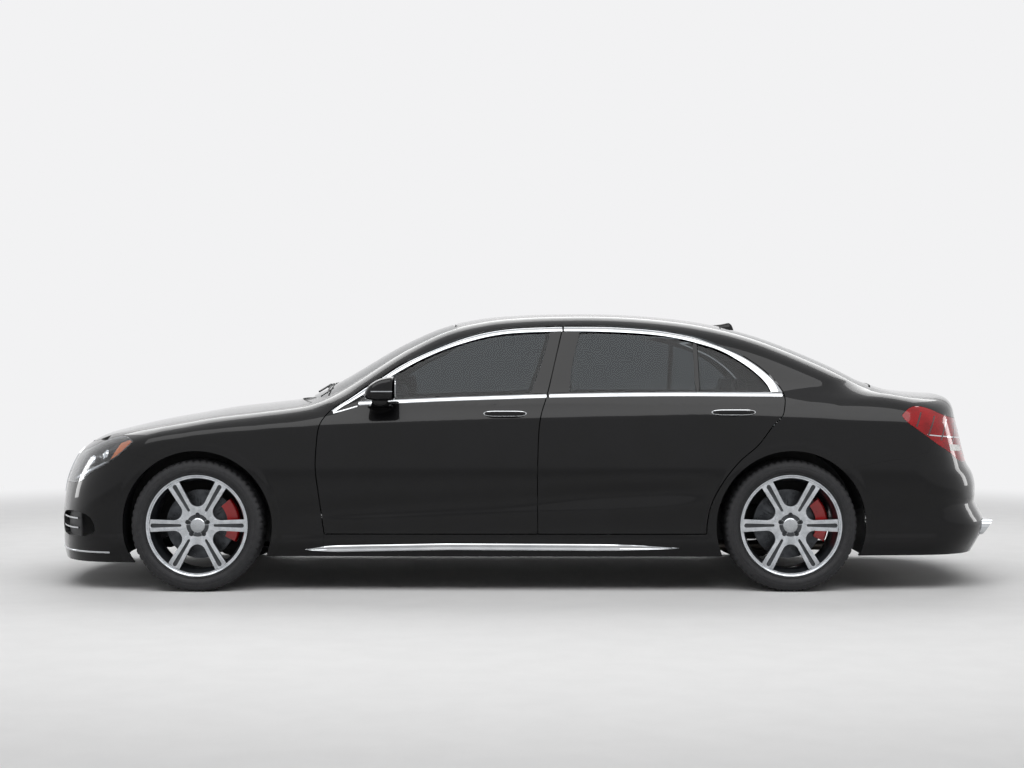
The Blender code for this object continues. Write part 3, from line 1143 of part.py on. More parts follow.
SIDES = ((-1, "left"), (1, "right"))
build_hood()
build_roof()
build_glass("windshield", SHIELD, -1.22, -0.34, 8)
build_glass("rear_window", REAR_GLASS, 1.08, 1.97, 8)
build_lid()
build_front_bumper()
build_grille()
build_rear_bumper()
build_underbody()
build_engine()
build_exhaust()
build_front_subframe()
build_rear_axle()
build_dashboard()
build_steering_wheel()
build_rear_bench()

tyres = {width: turned_mesh("tyre", tyre_profile(width), WHEEL_STEPS, RUBBER)
         for width in (TYRE_WIDTH_FRONT, TYRE_WIDTH_REAR)}
rims = {width: rim_mesh("rim", width) for width in (TYRE_WIDTH_FRONT, TYRE_WIDTH_REAR)}
disc = disc_mesh()
for side, hand in SIDES:
    build_headlamp(side, "headlamp_" + hand)
    build_tail_lamp(side, "tail_lamp_" + hand)
    build_fender(side, "fender_" + hand)
    build_side_frame(side, "side_frame_" + hand)
    build_door(side, "front_door_" + hand, FRONT_DOOR, FRONT_DOOR_TOP, FRONT_WINDOW, *FRONT_DOOR_REACH)
    build_door(side, "rear_door_" + hand, REAR_DOOR, REAR_DOOR_TOP, REAR_WINDOW, *REAR_DOOR_REACH)
    build_door_glass(side, "front_glass_" + hand, FRONT_WINDOW, -0.890, 0.180)
    build_door_glass(side, "rear_glass_" + hand, REAR_WINDOW, 0.230, 1.345)
    build_mirror(side, "mirror_" + hand)
    build_front_seat(side, "front_seat_" + hand)
    for end, axle_x, width in (("front", FRONT_AXLE_X, TYRE_WIDTH_FRONT), ("rear", REAR_AXLE_X, TYRE_WIDTH_REAR)):
        centre_y = WHEEL_OUTER_Y - width / 2
        place_wheel_piece(tyres[width], end + "_tyre_" + hand, side, axle_x, centre_y)
        place_wheel_piece(rims[width], end + "_rim_" + hand, side, axle_x, centre_y)
        place_wheel_piece(disc, end + "_disc_" + hand, side, axle_x, centre_y)
    upright(side, FRONT_AXLE_X, WHEEL_OUTER_Y - TYRE_WIDTH_FRONT / 2, KNUCKLE_BOTTOM, KNUCKLE_TOP,
            "front_knuckle_" + hand, STEEL)
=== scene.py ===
# Luxury sedan: the looks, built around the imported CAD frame.
import json
import math

import bmesh
import bpy
import numpy as np
from mathutils import Matrix, Vector

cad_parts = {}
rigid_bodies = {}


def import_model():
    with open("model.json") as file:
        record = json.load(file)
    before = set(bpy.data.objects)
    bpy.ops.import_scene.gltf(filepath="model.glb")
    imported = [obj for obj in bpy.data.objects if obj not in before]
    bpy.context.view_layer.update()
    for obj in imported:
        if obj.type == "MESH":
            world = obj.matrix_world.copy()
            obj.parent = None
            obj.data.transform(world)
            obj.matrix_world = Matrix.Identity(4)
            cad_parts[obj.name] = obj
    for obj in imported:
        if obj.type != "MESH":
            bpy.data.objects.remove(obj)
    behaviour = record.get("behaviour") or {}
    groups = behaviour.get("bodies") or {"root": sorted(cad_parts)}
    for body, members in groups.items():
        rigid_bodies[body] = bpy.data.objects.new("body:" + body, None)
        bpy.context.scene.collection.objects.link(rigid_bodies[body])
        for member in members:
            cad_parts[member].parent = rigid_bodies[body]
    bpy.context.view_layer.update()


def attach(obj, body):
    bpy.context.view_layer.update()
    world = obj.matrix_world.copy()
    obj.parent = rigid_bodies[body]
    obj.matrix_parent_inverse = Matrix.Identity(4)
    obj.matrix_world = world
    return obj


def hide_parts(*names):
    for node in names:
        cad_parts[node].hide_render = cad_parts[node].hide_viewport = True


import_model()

hands = ((-1, "left"), (1, "right"))
print("frame loaded")


def linearColour(hexText, alpha=1.0):
    parts = [int(hexText[i:i + 2], 16) / 255 for i in (0, 2, 4)]
    return tuple(p / 12.92 if p <= 0.04045 else ((p + 0.055) / 1.055) ** 2.4 for p in parts) + (alpha,)


def addNode(material, kind, inputs=None, **settings):
    node = material.node_tree.nodes.new("ShaderNode" + kind)
    for key, value in settings.items():
        setattr(node, key, value)
    for key, value in (inputs or {}).items():
        if isinstance(value, bpy.types.NodeSocket):
            material.node_tree.links.new(value, node.inputs[key])
        else:
            node.inputs[key].default_value = value
    return node


def newMaterial(name, colour, roughness, grain=None, shades=None, **values):
    # grain: (features per metre, bump height in metres, share of the roughness that varies)
    # shades: a second colour that the first is mottled with, at the grain's scale
    material = bpy.data.materials.new(name)
    material.use_nodes = True
    shader = material.node_tree.nodes["Principled BSDF"]
    shader.inputs["Base Color"].default_value = linearColour(colour)
    shader.inputs["Roughness"].default_value = roughness
    for key, value in values.items():
        shader.inputs[key].default_value = value
    if grain:
        scale, height, spreadShare = grain
        place = addNode(material, "TexCoord").outputs["Object"]
        noise = addNode(material, "TexNoise", {"Vector": place, "Scale": scale, "Detail": 4.0})
        if height:
            bump = addNode(material, "Bump", {"Height": noise.outputs["Fac"], "Distance": height,
                "Strength": 1.0})
            material.node_tree.links.new(bump.outputs["Normal"], shader.inputs["Normal"])
        rough = addNode(material, "MapRange", {"Value": noise.outputs["Fac"],
            "To Min": roughness * (1 - spreadShare), "To Max": min(1.0, roughness * (1 + spreadShare))})
        material.node_tree.links.new(rough.outputs["Result"], shader.inputs["Roughness"])
        if shades:
            wide = addNode(material, "TexNoise", {"Vector": place, "Scale": scale / 6, "Detail": 5.0})
            ramp = addNode(material, "ValToRGB", {"Fac": wide.outputs["Fac"]})
            ramp.color_ramp.elements[0].position = 0.35
            ramp.color_ramp.elements[1].position = 0.65
            ramp.color_ramp.elements[0].color = linearColour(colour)
            ramp.color_ramp.elements[1].color = linearColour(shades)
            material.node_tree.links.new(ramp.outputs["Color"], shader.inputs["Base Color"])
    return material


# Black basecoat under clear lacquer: a deep gloss with the faint waviness of sprayed paint
blackLacquer = newMaterial("lacqueredBlackPaint", "050506", 0.35, (26.0, 0, 0.25), "08080a",
    **{"Specular IOR Level": 0.08, "Coat Weight": 1.0, "Coat Roughness": 0.012, "Coat IOR": 1.3})
# Laminated safety glass, tinted grey: clear gloss with the cabin dim behind it
tintedGlass = newMaterial("tintedSafetyGlass", "6d7376", 0.01, (9.0, 0, 0.5), None,
    **{"Transmission Weight": 1.0, "IOR": 1.28})
# Moulded clear polycarbonate of a lamp cover
clearLens = newMaterial("clearPolycarbonate", "f4f6f8", 0.02, (14.0, 0.00001, 0.4),
    **{"Transmission Weight": 1.0, "IOR": 1.45})
# Moulded red acrylic, deep where it is thick
redAcrylic = newMaterial("redAcrylic", "a50a12", 0.1, (60.0, 0.00003, 0.3), "8a070e",
    **{"Specular IOR Level": 0.25, "Coat Weight": 0.4, "Coat Roughness": 0.03, "Coat IOR": 1.35})
amberAcrylic = newMaterial("amberAcrylic", "d26a12", 0.12, (70.0, 0.00003, 0.3), "b8560a",
    **{"Coat Weight": 0.8, "Coat Roughness": 0.03})
# Chromium plate on moulded plastic: mirror bright with a slight haze
chromePlate = newMaterial("chromiumPlate", "d4d6d8", 0.08, (40.0, 0.00001, 0.5), "c3c6c9", Metallic=1.0)
satinChrome = newMaterial("satinChromium", "b7babd", 0.24, (90.0, 0.00001, 0.3), "a6a9ac", Metallic=1.0)
# Carbon-black tyre rubber, dull with a soft bloom of dust
tyreRubber = newMaterial("vulcanisedRubber", "17171a", 0.72, (220.0, 0.0002, 0.2), "232325")
# Diamond-turned aluminium under lacquer, and the dark paint left in its pockets
turnedAluminium = newMaterial("turnedAluminium", "c9ccd0", 0.2, (180.0, 0.00002, 0.35), "b2b6ba", Metallic=1.0)
pocketPaint = newMaterial("graphiteWheelPaint", "3a3d41", 0.38, (120.0, 0.00003, 0.3), "2c2f33", Metallic=0.6,
    **{"Coat Weight": 0.6, "Coat Roughness": 0.08})
# Blackened steel of wheel bolts
boltSteel = newMaterial("blackenedSteel", "3c3e41", 0.38, (150.0, 0.00004, 0.3), "2f3134", Metallic=0.8)
# Grey cast iron with turning marks where the pads rub it
groundIron = newMaterial("groundCastIron", "4c4e51", 0.38, (160.0, 0.00006, 0.35), "3a3c3f", Metallic=1.0)
redCaliperPaint = newMaterial("bakedRedEnamel", "d8161a", 0.32, (60.0, 0.00006, 0.3), "b81216",
    **{"Coat Weight": 0.5, "Coat Roughness": 0.1})
# Electrophoretic black primer on pressed steel, dusty underneath the car
primedSteel = newMaterial("primedSteel", "1c1d1f", 0.62, (50.0, 0.0002, 0.3), "29292a")
agedSteel = newMaterial("agedStainlessSteel", "7b7671", 0.42, (45.0, 0.0001, 0.4), "5f5952", Metallic=0.9)
castAlloy = newMaterial("castAluminiumAlloy", "6f7174", 0.5, (140.0, 0.00015, 0.3), "5d5f62", Metallic=0.8)
# Grained polypropylene of bumper grilles, wheel housings and lower trim
grainedPlastic = newMaterial("grainedPolypropylene", "161719", 0.58, (420.0, 0.00025, 0.2), "1d1e20")
glossPlastic = newMaterial("glossBlackPlastic", "060607", 0.12, (30.0, 0.00001, 0.5), "09090a",
    **{"Specular IOR Level": 0.2, "Coat Weight": 0.3, "Coat Roughness": 0.04, "Coat IOR": 1.35})
# Upholstery leather: fine pebbled grain with a soft sheen
seatLeather = newMaterial("napaLeather", "2b2826", 0.46, (330.0, 0.00045, 0.25), "35312e",
    **{"Sheen Weight": 0.08, "Coat Weight": 0.08, "Coat Roughness": 0.4})
softFoil = newMaterial("slushMouldedFoil", "1f1f21", 0.55, (500.0, 0.0003, 0.2), "28282a")
loopCarpet = newMaterial("loopPileCarpet", "1b1a1a", 0.95, (700.0, 0.0012, 0.05), "242323",
    **{"Sheen Weight": 0.3})
roofCloth = newMaterial("knittedRoofLining", "9a958d", 0.92, (800.0, 0.0004, 0.05), "8d8880",
    **{"Sheen Weight": 0.2})
polishedWood = newMaterial("polishedWalnut", "4a2a18", 0.25, (30.0, 0.00002, 0.3), "2e180d",
    **{"Coat Weight": 1.0, "Coat Roughness": 0.04})
mirrorSilver = newMaterial("silveredGlass", "e8eaec", 0.01, (10.0, 0.000005, 0.5), Metallic=1.0)
screenGlass = newMaterial("displayGlass", "0a0d12", 0.06, (12.0, 0.000005, 0.4), "0c1017",
    **{"Coat Weight": 1.0, "Coat Roughness": 0.02})
plateEnamel = newMaterial("whiteReflectiveSheet", "e6e7e4", 0.45, (500.0, 0.00002, 0.3), "dddeda")
print("materials made")


# The body's outer surface, as the CAD describes it, with finer lines pressed in
bodyShape = {"halfWidth": 0.9495, "beltHeight": 1.05, "noseBow": 0.35, "tailBow": 0.3, "bowPower": 2.6,
    "cornerRound": 0.2, "deckCrown": 0.068, "deckRound": 0.09, "shoulderLean": 0.62, "creaseRound": 0.012,
    "cabinLean": 0.55, "cabinCurve": 0.12, "roofCrown": 0.1, "roofRound": 0.09, "glassSweep": 0.12,
    "cabinBlend": 0.05, "lipHeight": 0.003, "lipWidth": 0.026, "lowerCrease": 0.0035}
wheels = {"frontX": -1.738, "rearX": 1.427, "radius": 0.352, "frontWidth": 0.245, "rearWidth": 0.265,
    "outerY": 0.93, "rimRadius": 0.272, "archRadius": 0.4}


def smoothCurve(points):
    xs = np.array([p[0] for p in points], float)
    ys = np.array([p[1] for p in points], float)
    slopes = np.gradient(ys, xs)

    def value(x):
        x = np.clip(x, xs[0], xs[-1])
        i = np.clip(np.searchsorted(xs, x) - 1, 0, len(xs) - 2)
        h = xs[i + 1] - xs[i]
        t = (x - xs[i]) / h
        rise = (2 * t ** 3 - 3 * t ** 2 + 1) * ys[i] + (3 * t ** 2 - 2 * t ** 3) * ys[i + 1]
        return rise + (t ** 3 - 2 * t ** 2 + t) * h * slopes[i] + (t ** 3 - t ** 2) * h * slopes[i + 1]

    return value


deckLine = smoothCurve([(-2.62, 0.745), (-2.5, 0.79), (-2.4, 0.817), (-2.31, 0.842), (-2.195, 0.871),
    (-2.08, 0.897), (-1.966, 0.919), (-1.85, 0.939), (-1.68, 0.968), (-1.45, 0.995), (-1.22, 1.022),
    (-0.9, 1.08), (-0.5, 1.11), (0.4, 1.125), (1.2, 1.12), (1.6, 1.11), (1.99, 1.09), (2.1, 1.072), (2.2, 1.06),
    (2.35, 1.05), (2.44, 1.048), (2.62, 1.04)])
creaseLine = smoothCurve([(-2.62, 0.72), (-2.3, 0.77), (-2.04, 0.809), (-1.725, 0.853), (-1.459, 0.872),
    (-1.192, 0.887), (-0.925, 0.899), (-0.392, 0.917), (0.14, 0.93), (0.674, 0.942), (0.94, 0.948),
    (1.207, 0.943), (1.473, 0.933), (1.74, 0.92), (1.98, 0.91), (2.3, 0.89), (2.62, 0.87)])
planInset = smoothCurve([(-2.62, 0.0495), (-2.3, 0.0345), (-2.0, 0.0195), (-1.74, 0.0075), (-1.2, 0.0075),
    (-0.6, 0.002), (0.0, 0.0), (1.43, 0.0), (1.9, 0.0195), (2.2, 0.0445), (2.62, 0.0895)])
sectionInset = smoothCurve([(0.0, 0.15), (0.15, 0.075), (0.2, 0.05), (0.26, 0.035), (0.32, 0.035), (0.4, 0.028),
    (0.5, 0.012), (0.6, 0.003), (0.7, 0.0), (0.8, 0.002), (0.93, 0.01), (1.6, 0.01)])
valleyDepth = smoothCurve([(-1.25, 0.0), (-1.0, 0.003), (0.0, 0.008), (0.8, 0.012), (0.95, 0.006), (1.05, 0.0)])
valleyLine = smoothCurve([(-1.25, 0.44), (1.05, 0.54)])
noseLine = smoothCurve([(0.0, -2.53), (0.12, -2.585), (0.17, -2.6), (0.3, -2.61), (0.42, -2.61), (0.5, -2.6),
    (0.555, -2.59), (0.654, -2.555), (0.748, -2.5), (0.8, -2.455), (0.86, -2.4), (1.0, -2.33), (1.6, -2.3)])
tailLine = smoothCurve([(0.0, 2.44), (0.12, 2.5), (0.2, 2.55), (0.25, 2.58), (0.32, 2.61), (0.36, 2.61),
    (0.41, 2.585), (0.46, 2.562), (0.5, 2.565), (0.577, 2.56), (0.62, 2.545), (0.66, 2.52), (0.72, 2.5),
    (0.8, 2.48), (0.95, 2.445), (1.045, 2.435), (1.6, 2.43)])
roofLine = smoothCurve([(-2.62, -0.3), (-1.6, 0.72), (-1.4, 0.9), (-1.22, 1.02), (-0.997, 1.148),
    (-0.671, 1.337), (-0.455, 1.43), (-0.24, 1.478), (-0.016, 1.498), (0.215, 1.505), (0.446, 1.505),
    (0.735, 1.49), (1.023, 1.455), (1.301, 1.39), (1.587, 1.285), (1.8, 1.19), (1.913, 1.13), (1.99, 1.09),
    (2.2, 0.9), (2.62, -0.3)])
cabinInset = smoothCurve([(-1.5, 0.2), (-1.1, 0.1495), (-0.8, 0.1045), (-0.3, 0.0845), (0.4, 0.0795),
    (1.0, 0.0875), (1.4, 0.0995), (1.7, 0.1495), (1.9, 0.1995), (2.1, 0.2495)])


frontDoorTop = [(-1.052, 0.94), (-1.0, 0.99), (-0.934, 1.03), (-0.853, 1.088), (-0.767, 1.14),
    (-0.667, 1.208), (-0.56, 1.262), (-0.453, 1.308), (-0.345, 1.35), (-0.237, 1.382), (-0.128, 1.402),
    (0.0, 1.414), (0.219, 1.42)]
frontDoorEdge = [(-1.061, 0.308), (-1.072, 0.393), (-1.088, 0.522), (-1.104, 0.656), (-1.099, 0.78),
    (-1.083, 0.888), *frontDoorTop, (0.129, 1.053), (0.092, 0.93), (0.0765, 0.7), (0.0765, 0.308)]
rearDoorDrop = [(1.398, 1.04), (1.392, 0.985), (1.378, 0.94), (1.33, 0.89), (1.243, 0.78)]
rearDoorArc = [(1.15, 0.7), (1.062, 0.59), (1.0, 0.47), (0.978, 0.36), (0.975, 0.308)]
rearDoorTop = [(0.219, 1.42), (0.422, 1.42), (0.532, 1.416), (0.697, 1.404), (0.807, 1.388), (0.916, 1.367),
    (0.97, 1.352), (1.076, 1.31), (1.183, 1.262), (1.235, 1.229), (1.287, 1.19), (1.336, 1.144), (1.37, 1.102),
    (1.393, 1.06)]
rearDoorEdge = [(0.0765, 0.308), (0.0765, 0.7), (0.092, 0.93), (0.129, 1.053), *rearDoorTop, *rearDoorDrop,
    *rearDoorArc]
frontWindow = [(-0.87, 1.036), (-0.85, 1.05), (-0.77, 1.106), (-0.665, 1.174), (-0.56, 1.232), (-0.453, 1.28),
    (-0.345, 1.32), (-0.237, 1.352), (-0.128, 1.374), (-0.018, 1.385), (0.15, 1.391), (0.095, 1.204),
    (0.04, 1.06), (-0.126, 1.048), (-0.395, 1.04), (-0.664, 1.032)]
rearWindow = [(0.245, 1.064), (0.265, 1.204), (0.31, 1.391), (0.422, 1.391), (0.697, 1.376), (0.862, 1.35),
    (0.97, 1.32), (1.076, 1.284), (1.183, 1.222), (1.26, 1.16), (1.31, 1.104), (1.325, 1.067)]
headlampEdge = [(-2.077, 0.798), (-2.1, 0.815), (-2.14, 0.827), (-2.21, 0.816), (-2.264, 0.8), (-2.318, 0.776),
    (-2.362, 0.757), (-2.45, 0.728), (-2.7, 0.69), (-2.7, 0.56), (-2.5, 0.566), (-2.389, 0.582),
    (-2.356, 0.603), (-2.302, 0.641), (-2.221, 0.683), (-2.156, 0.726)]
tailLampEdge = [(2.018, 0.94), (2.067, 0.978), (2.105, 0.988), (2.18, 0.975), (2.229, 0.955), (2.3, 0.93),
    (2.75, 0.9), (2.75, 0.69), (2.364, 0.691), (2.294, 0.738), (2.207, 0.791), (2.115, 0.855), (2.035, 0.914)]
frontBumperEdge = [(-2.8, 0.0), (-2.8, 0.9), (-2.25, 0.9), (-2.25, 0.79), (-2.12, 0.79), (-2.103, 0.742),
    (-1.94, 0.695), (-1.8, 0.66), (-1.8, 0.0)]
fenderEdge = [(-2.3, 0.6), (-2.3, 1.1), (-1.15, 1.1), (-1.01, 0.985), (-1.0, 0.985), (-1.064, 0.3),
    (-1.064, 0.187), (-2.3, 0.187)]
sideFrameEdge = [(-1.064, 0.187), (-1.064, 0.3), (-1.0, 0.985), (-1.01, 0.985), (-1.15, 1.1), (-1.15, 1.7),
    (2.7, 1.7), (2.7, 0.187)]
rearBumperEdge = [(1.5, 0.1), (1.5, 0.61), (1.73, 0.659), (1.847, 0.683), (1.954, 0.701), (2.06, 0.714),
    (2.156, 0.746), (2.207, 0.8), (2.294, 0.755), (2.364, 0.71), (2.46, 0.7), (2.8, 0.7), (2.8, 0.1)]

# Outlines of the panels on top of the car, as seen from above (x, y)
hoodHalf = [(-2.44, 0.0), (-2.434, 0.2), (-2.408, 0.4), (-2.352, 0.57), (-2.3, 0.635), (-2.14, 0.7),
    (-2.0, 0.735), (-1.75, 0.762), (-1.5, 0.762), (-1.3, 0.742), (-1.15, 0.7), (-1.195, 0.55), (-1.235, 0.35),
    (-1.262, 0.15)]
windshieldHalf = [(-1.2, 0.0), (-1.19, 0.2), (-1.166, 0.4), (-1.13, 0.56), (-1.085, 0.695), (-0.85, 0.672),
    (-0.6, 0.635), (-0.36, 0.59), (-0.384, 0.4), (-0.4, 0.2)]
roofHalf = [(-0.392, 0.0), (-0.388, 0.2), (-0.372, 0.4), (-0.348, 0.59), (0.0, 0.588), (0.5, 0.59),
    (0.95, 0.585), (1.085, 0.565), (1.105, 0.4), (1.118, 0.2)]
rearScreenHalf = [(1.126, 0.0), (1.122, 0.2), (1.113, 0.4), (1.093, 0.568), (1.3, 0.605), (1.6, 0.635),
    (1.89, 0.64), (1.941, 0.4), (1.959, 0.2)]
lidHalf = [(1.972, 0.0), (1.966, 0.2), (1.948, 0.4), (1.902, 0.63), (2.0, 0.655), (2.2, 0.652), (2.34, 0.625),
    (2.75, 0.6)]


def softMax(a, b, blend):
    overlap = np.maximum(blend - np.abs(a - b), 0) / blend
    return np.maximum(a, b) + overlap ** 2 * blend / 4


def softMin(a, b, blend):
    return -softMax(-a, -b, blend)


def smoothStep(value):
    t = np.clip(value, 0, 1)
    return t * t * (3 - 2 * t)


def pressedDetail(x, z):
    # Wheel-arch lips and the door's lower feature line, as heights above the plain side
    s, w = bodyShape, wheels
    height = 0
    for axleX in (w["frontX"], w["rearX"]):
        reach = np.hypot(x - axleX, z - w["radius"]) - w["archRadius"]
        height = height + s["lipHeight"] * (1 - smoothStep((reach - s["lipWidth"]) / 0.028))
    along = smoothStep((x + 1.3) / 0.35) * (1 - smoothStep((x - 0.7) / 0.3))
    below = z - np.interp(x, (-1.24, -0.1, 0.97), (0.363, 0.409, 0.461))
    edge = np.where(below > 0, np.exp(-(below / 0.034) ** 2), np.exp(-(below / 0.1) ** 2))
    return height + s["lowerCrease"] * along * edge


def bodyField(x, y, z):
    # Negative inside the outer surface, zero on it
    s = bodyShape
    a = np.abs(y)
    aboveCrease = z - creaseLine(x)
    lean = s["shoulderLean"] * (aboveCrease + np.sqrt(aboveCrease ** 2 + s["creaseRound"] ** 2)) / 2
    valley = valleyDepth(x) * np.exp(-((z - valleyLine(x)) / 0.055) ** 2)
    side = a - (s["halfWidth"] - planInset(x) - sectionInset(z) - valley - lean) - pressedDetail(x, z)
    deck = z - (deckLine(x) - s["deckCrown"] * a ** 2)
    nose = noseLine(z) + s["noseBow"] * a ** s["bowPower"] - x
    tail = x - tailLine(z) + s["tailBow"] * a ** s["bowPower"]
    ends = softMax(softMax(side, nose, s["cornerRound"]), tail, s["cornerRound"])
    lower = softMax(ends, deck, s["deckRound"])
    rise = np.maximum(z - s["beltHeight"], -s["cabinBlend"])
    curve = s["cabinCurve"] * rise * np.abs(rise)
    cabinSide = a - (s["halfWidth"] - cabinInset(x) - s["cabinLean"] * rise - curve)
    sweep = s["glassSweep"] * a ** 2 * np.clip((0.35 - x) / 0.6, -1, 1)
    roof = z - (roofLine(x - sweep) - s["roofCrown"] * a ** 2)
    cabin = softMax(cabinSide, roof, s["roofRound"])
    return softMin(lower, cabin, s["cabinBlend"])


def skinReach(origins, directions, reach=2.5):
    # How far along each ray, from a point inside, the outer surface lies
    near = np.zeros(origins.shape[:-1])
    far = np.full(origins.shape[:-1], reach)
    for step in range(22):
        middle = (near + far) / 2
        points = origins + directions * middle[..., None]
        inside = bodyField(points[..., 0], points[..., 1], points[..., 2]) < 0
        near = np.where(inside, middle, near)
        far = np.where(inside, far, middle)
    return (near + far) / 2


def skinNormal(points):
    eps = 0.0006
    parts = []
    for axis in range(3):
        shift = np.zeros(3)
        shift[axis] = eps
        ahead, behind = points + shift, points - shift
        parts.append(bodyField(*np.moveaxis(ahead, -1, 0)) - bodyField(*np.moveaxis(behind, -1, 0)))
    normal = np.stack(parts, -1)
    return normal / np.maximum(np.linalg.norm(normal, axis=-1, keepdims=True), 1e-9)


def skinY(x, z, side):
    # The side surface's y at places seen from the side
    x, z = np.broadcast_arrays(np.asarray(x, float), np.asarray(z, float))
    origins = np.stack([x, np.zeros_like(x), z], -1)
    directions = np.broadcast_to(np.array([0.0, side, 0.0]), origins.shape)
    return side * skinReach(origins, directions)


def newObject(name, vertices, faces, material, smooth=True):
    mesh = bpy.data.meshes.new(name)
    mesh.from_pydata([tuple(v) for v in np.asarray(vertices, float)], [], [tuple(f) for f in faces])
    if material:
        mesh.materials.append(material)
    obj = bpy.data.objects.new(name, mesh)
    bpy.context.scene.collection.objects.link(obj)
    if smooth:
        mesh.shade_smooth()
    return obj


def fromBmesh(name, bm, material, sharpAngle=35):
    bmesh.ops.remove_doubles(bm, verts=bm.verts, dist=1e-6)
    bmesh.ops.recalc_face_normals(bm, faces=bm.faces)
    mesh = bpy.data.meshes.new(name)
    bm.to_mesh(mesh)
    bm.free()
    if material:
        mesh.materials.append(material)
    obj = bpy.data.objects.new(name, mesh)
    bpy.context.scene.collection.objects.link(obj)
    sharpen(obj, sharpAngle)
    return obj


def sharpen(obj, angle=35):
    obj.data.shade_smooth()
    obj.data.set_sharp_from_angle(angle=math.radians(angle))
    return obj


def bake(obj):
    # Live modifiers become plain mesh
    depsgraph = bpy.context.evaluated_depsgraph_get()
    mesh = bpy.data.meshes.new_from_object(obj.evaluated_get(depsgraph))
    old = obj.data
    obj.modifiers.clear()
    obj.data = mesh
    bpy.data.meshes.remove(old)
    return obj


def carve(target, operation, *tools):
    for tool in tools:
        step = target.modifiers.new(operation, "BOOLEAN")
        step.operation = operation
        step.solver = "MANIFOLD"
        step.object = tool
    return target


def discard(*objects):
    for obj in objects:
        bpy.data.objects.remove(obj, do_unlink=True)


def skinSolid(name, rays, outerDepth, innerDepth, material):
    # A closed solid between two depths below the outer surface
    origins, directions = rays
    reach = skinReach(origins, directions)
    outer = origins + directions * (reach - outerDepth)[..., None]
    inner = origins + directions * (reach - innerDepth)[..., None]
    rows, columns = reach.shape
    index = np.arange(rows * columns).reshape(rows, columns)
    a, b = index[:-1, :-1].ravel(), index[:-1, 1:].ravel()
    c, d = index[1:, 1:].ravel(), index[1:, :-1].ravel()
    top = np.concatenate([np.stack([a, b, c], -1), np.stack([a, c, d], -1)])
    border = np.concatenate([index[0, :], index[1:, -1], index[-1, -2::-1], index[-2:0:-1, 0]])
    after = np.roll(border, -1)
    count = rows * columns
    rim = np.concatenate([np.stack([after, border, border + count], -1),
        np.stack([after, border + count, after + count], -1)])
    faces = np.concatenate([top, top[:, ::-1] + count, rim])
    vertices = np.concatenate([outer.reshape(-1, 3), inner.reshape(-1, 3)])
    first = top[len(top) // 4]
    facing = np.cross(vertices[first[1]] - vertices[first[0]], vertices[first[2]] - vertices[first[0]])
    if facing @ directions.reshape(-1, 3)[first[0]] < 0:
        faces = faces[:, ::-1]
    return newObject(name, vertices, faces, material)


def meshRows(items, key):
    values = np.zeros(len(items) * 3)
    items.foreach_get(key, values)
    return values.reshape(-1, 3)


def meshNumbers(items, key):
    values = np.zeros(len(items), int)
    items.foreach_get(key, values)
    return values


def glossNormals(obj, depth=0.0, tolerance=0.006):
    # Shading normals taken from the surface itself, so reflections run clean over the triangles
    mesh = obj.data
    points, faceNormals = meshRows(mesh.vertices, "co"), meshRows(mesh.polygons, "normal")
    sizes, corners = meshNumbers(mesh.polygons, "loop_total"), meshNumbers(mesh.loops, "vertex_index")
    faceOf = np.repeat(np.arange(len(sizes)), sizes)
    smooth = skinNormal(points)
    field = bodyField(points[:, 0], points[:, 1], points[:, 2])
    near = np.abs(field + depth) < tolerance
    agree = np.einsum("ij,ij->i", smooth[corners], faceNormals[faceOf])
    good = near[corners] & (np.abs(agree) > 0.6)
    whole = np.ones(len(sizes), bool)
    np.logical_and.at(whole, faceOf, good)
    use = whole[faceOf]
    normals = np.where(use[:, None], smooth[corners] * np.sign(agree)[:, None], faceNormals[faceOf])
    mesh.shade_smooth()
    mesh.normals_split_custom_set([tuple(n) for n in normals])
    return obj


def steps(start, end, size=0.016):
    return np.linspace(start, end, max(2, int(abs(end - start) / size) + 1))


def sideRays(side, xs, low, high, rows):
    xs = np.asarray(xs, float)
    share = np.linspace(0, 1, rows)
    lows = np.array([low(x) for x in xs])[:, None]
    highs = np.array([high(x) for x in xs])[:, None]
    zs = lows + (highs - lows) * share[None, :]
    origins = np.stack([np.broadcast_to(xs[:, None], zs.shape), np.zeros_like(zs), zs], -1)
    return origins, np.broadcast_to(np.array([0.0, side, 0.0]), origins.shape)


def topRays(front, rear, ys, columns, base=0.5):
    share = np.linspace(0, 1, columns)
    fronts = np.array([front(y) for y in ys])[:, None]
    rears = np.array([rear(y) for y in ys])[:, None]
    xs = fronts + (rears - fronts) * share[None, :]
    origins = np.stack([xs, np.broadcast_to(ys[:, None], xs.shape), np.full_like(xs, base)], -1)
    return origins, np.broadcast_to(np.array([0.0, 0.0, 1.0]), origins.shape)


def fanRays(side, stations, turns, angles, centreZ):
    stations, turns, angles = stations[:, None], turns[:, None], angles[None, :]
    directions = np.stack([np.sin(turns) * np.cos(angles), np.cos(turns) * np.cos(angles) * side,
        np.sin(angles) + 0 * turns], -1)
    directions = directions / np.linalg.norm(directions, axis=-1, keepdims=True)
    shape = directions.shape[:-1]
    origins = [np.broadcast_to(stations, shape), np.zeros(shape), np.full(shape, centreZ)]
    return np.stack(origins, -1), directions


def endRays(centreX, towards, angles, heights):
    angles, heights = np.asarray(angles)[:, None], np.asarray(heights)[None, :]
    shape = (angles.shape[0], heights.shape[1])
    directions = np.stack([np.broadcast_to(towards * np.cos(angles), shape),
        np.broadcast_to(np.sin(angles), shape), np.zeros(shape)], -1)
    origins = [np.full(shape, centreX), np.zeros(shape), np.broadcast_to(heights, shape)]
    return np.stack(origins, -1), directions


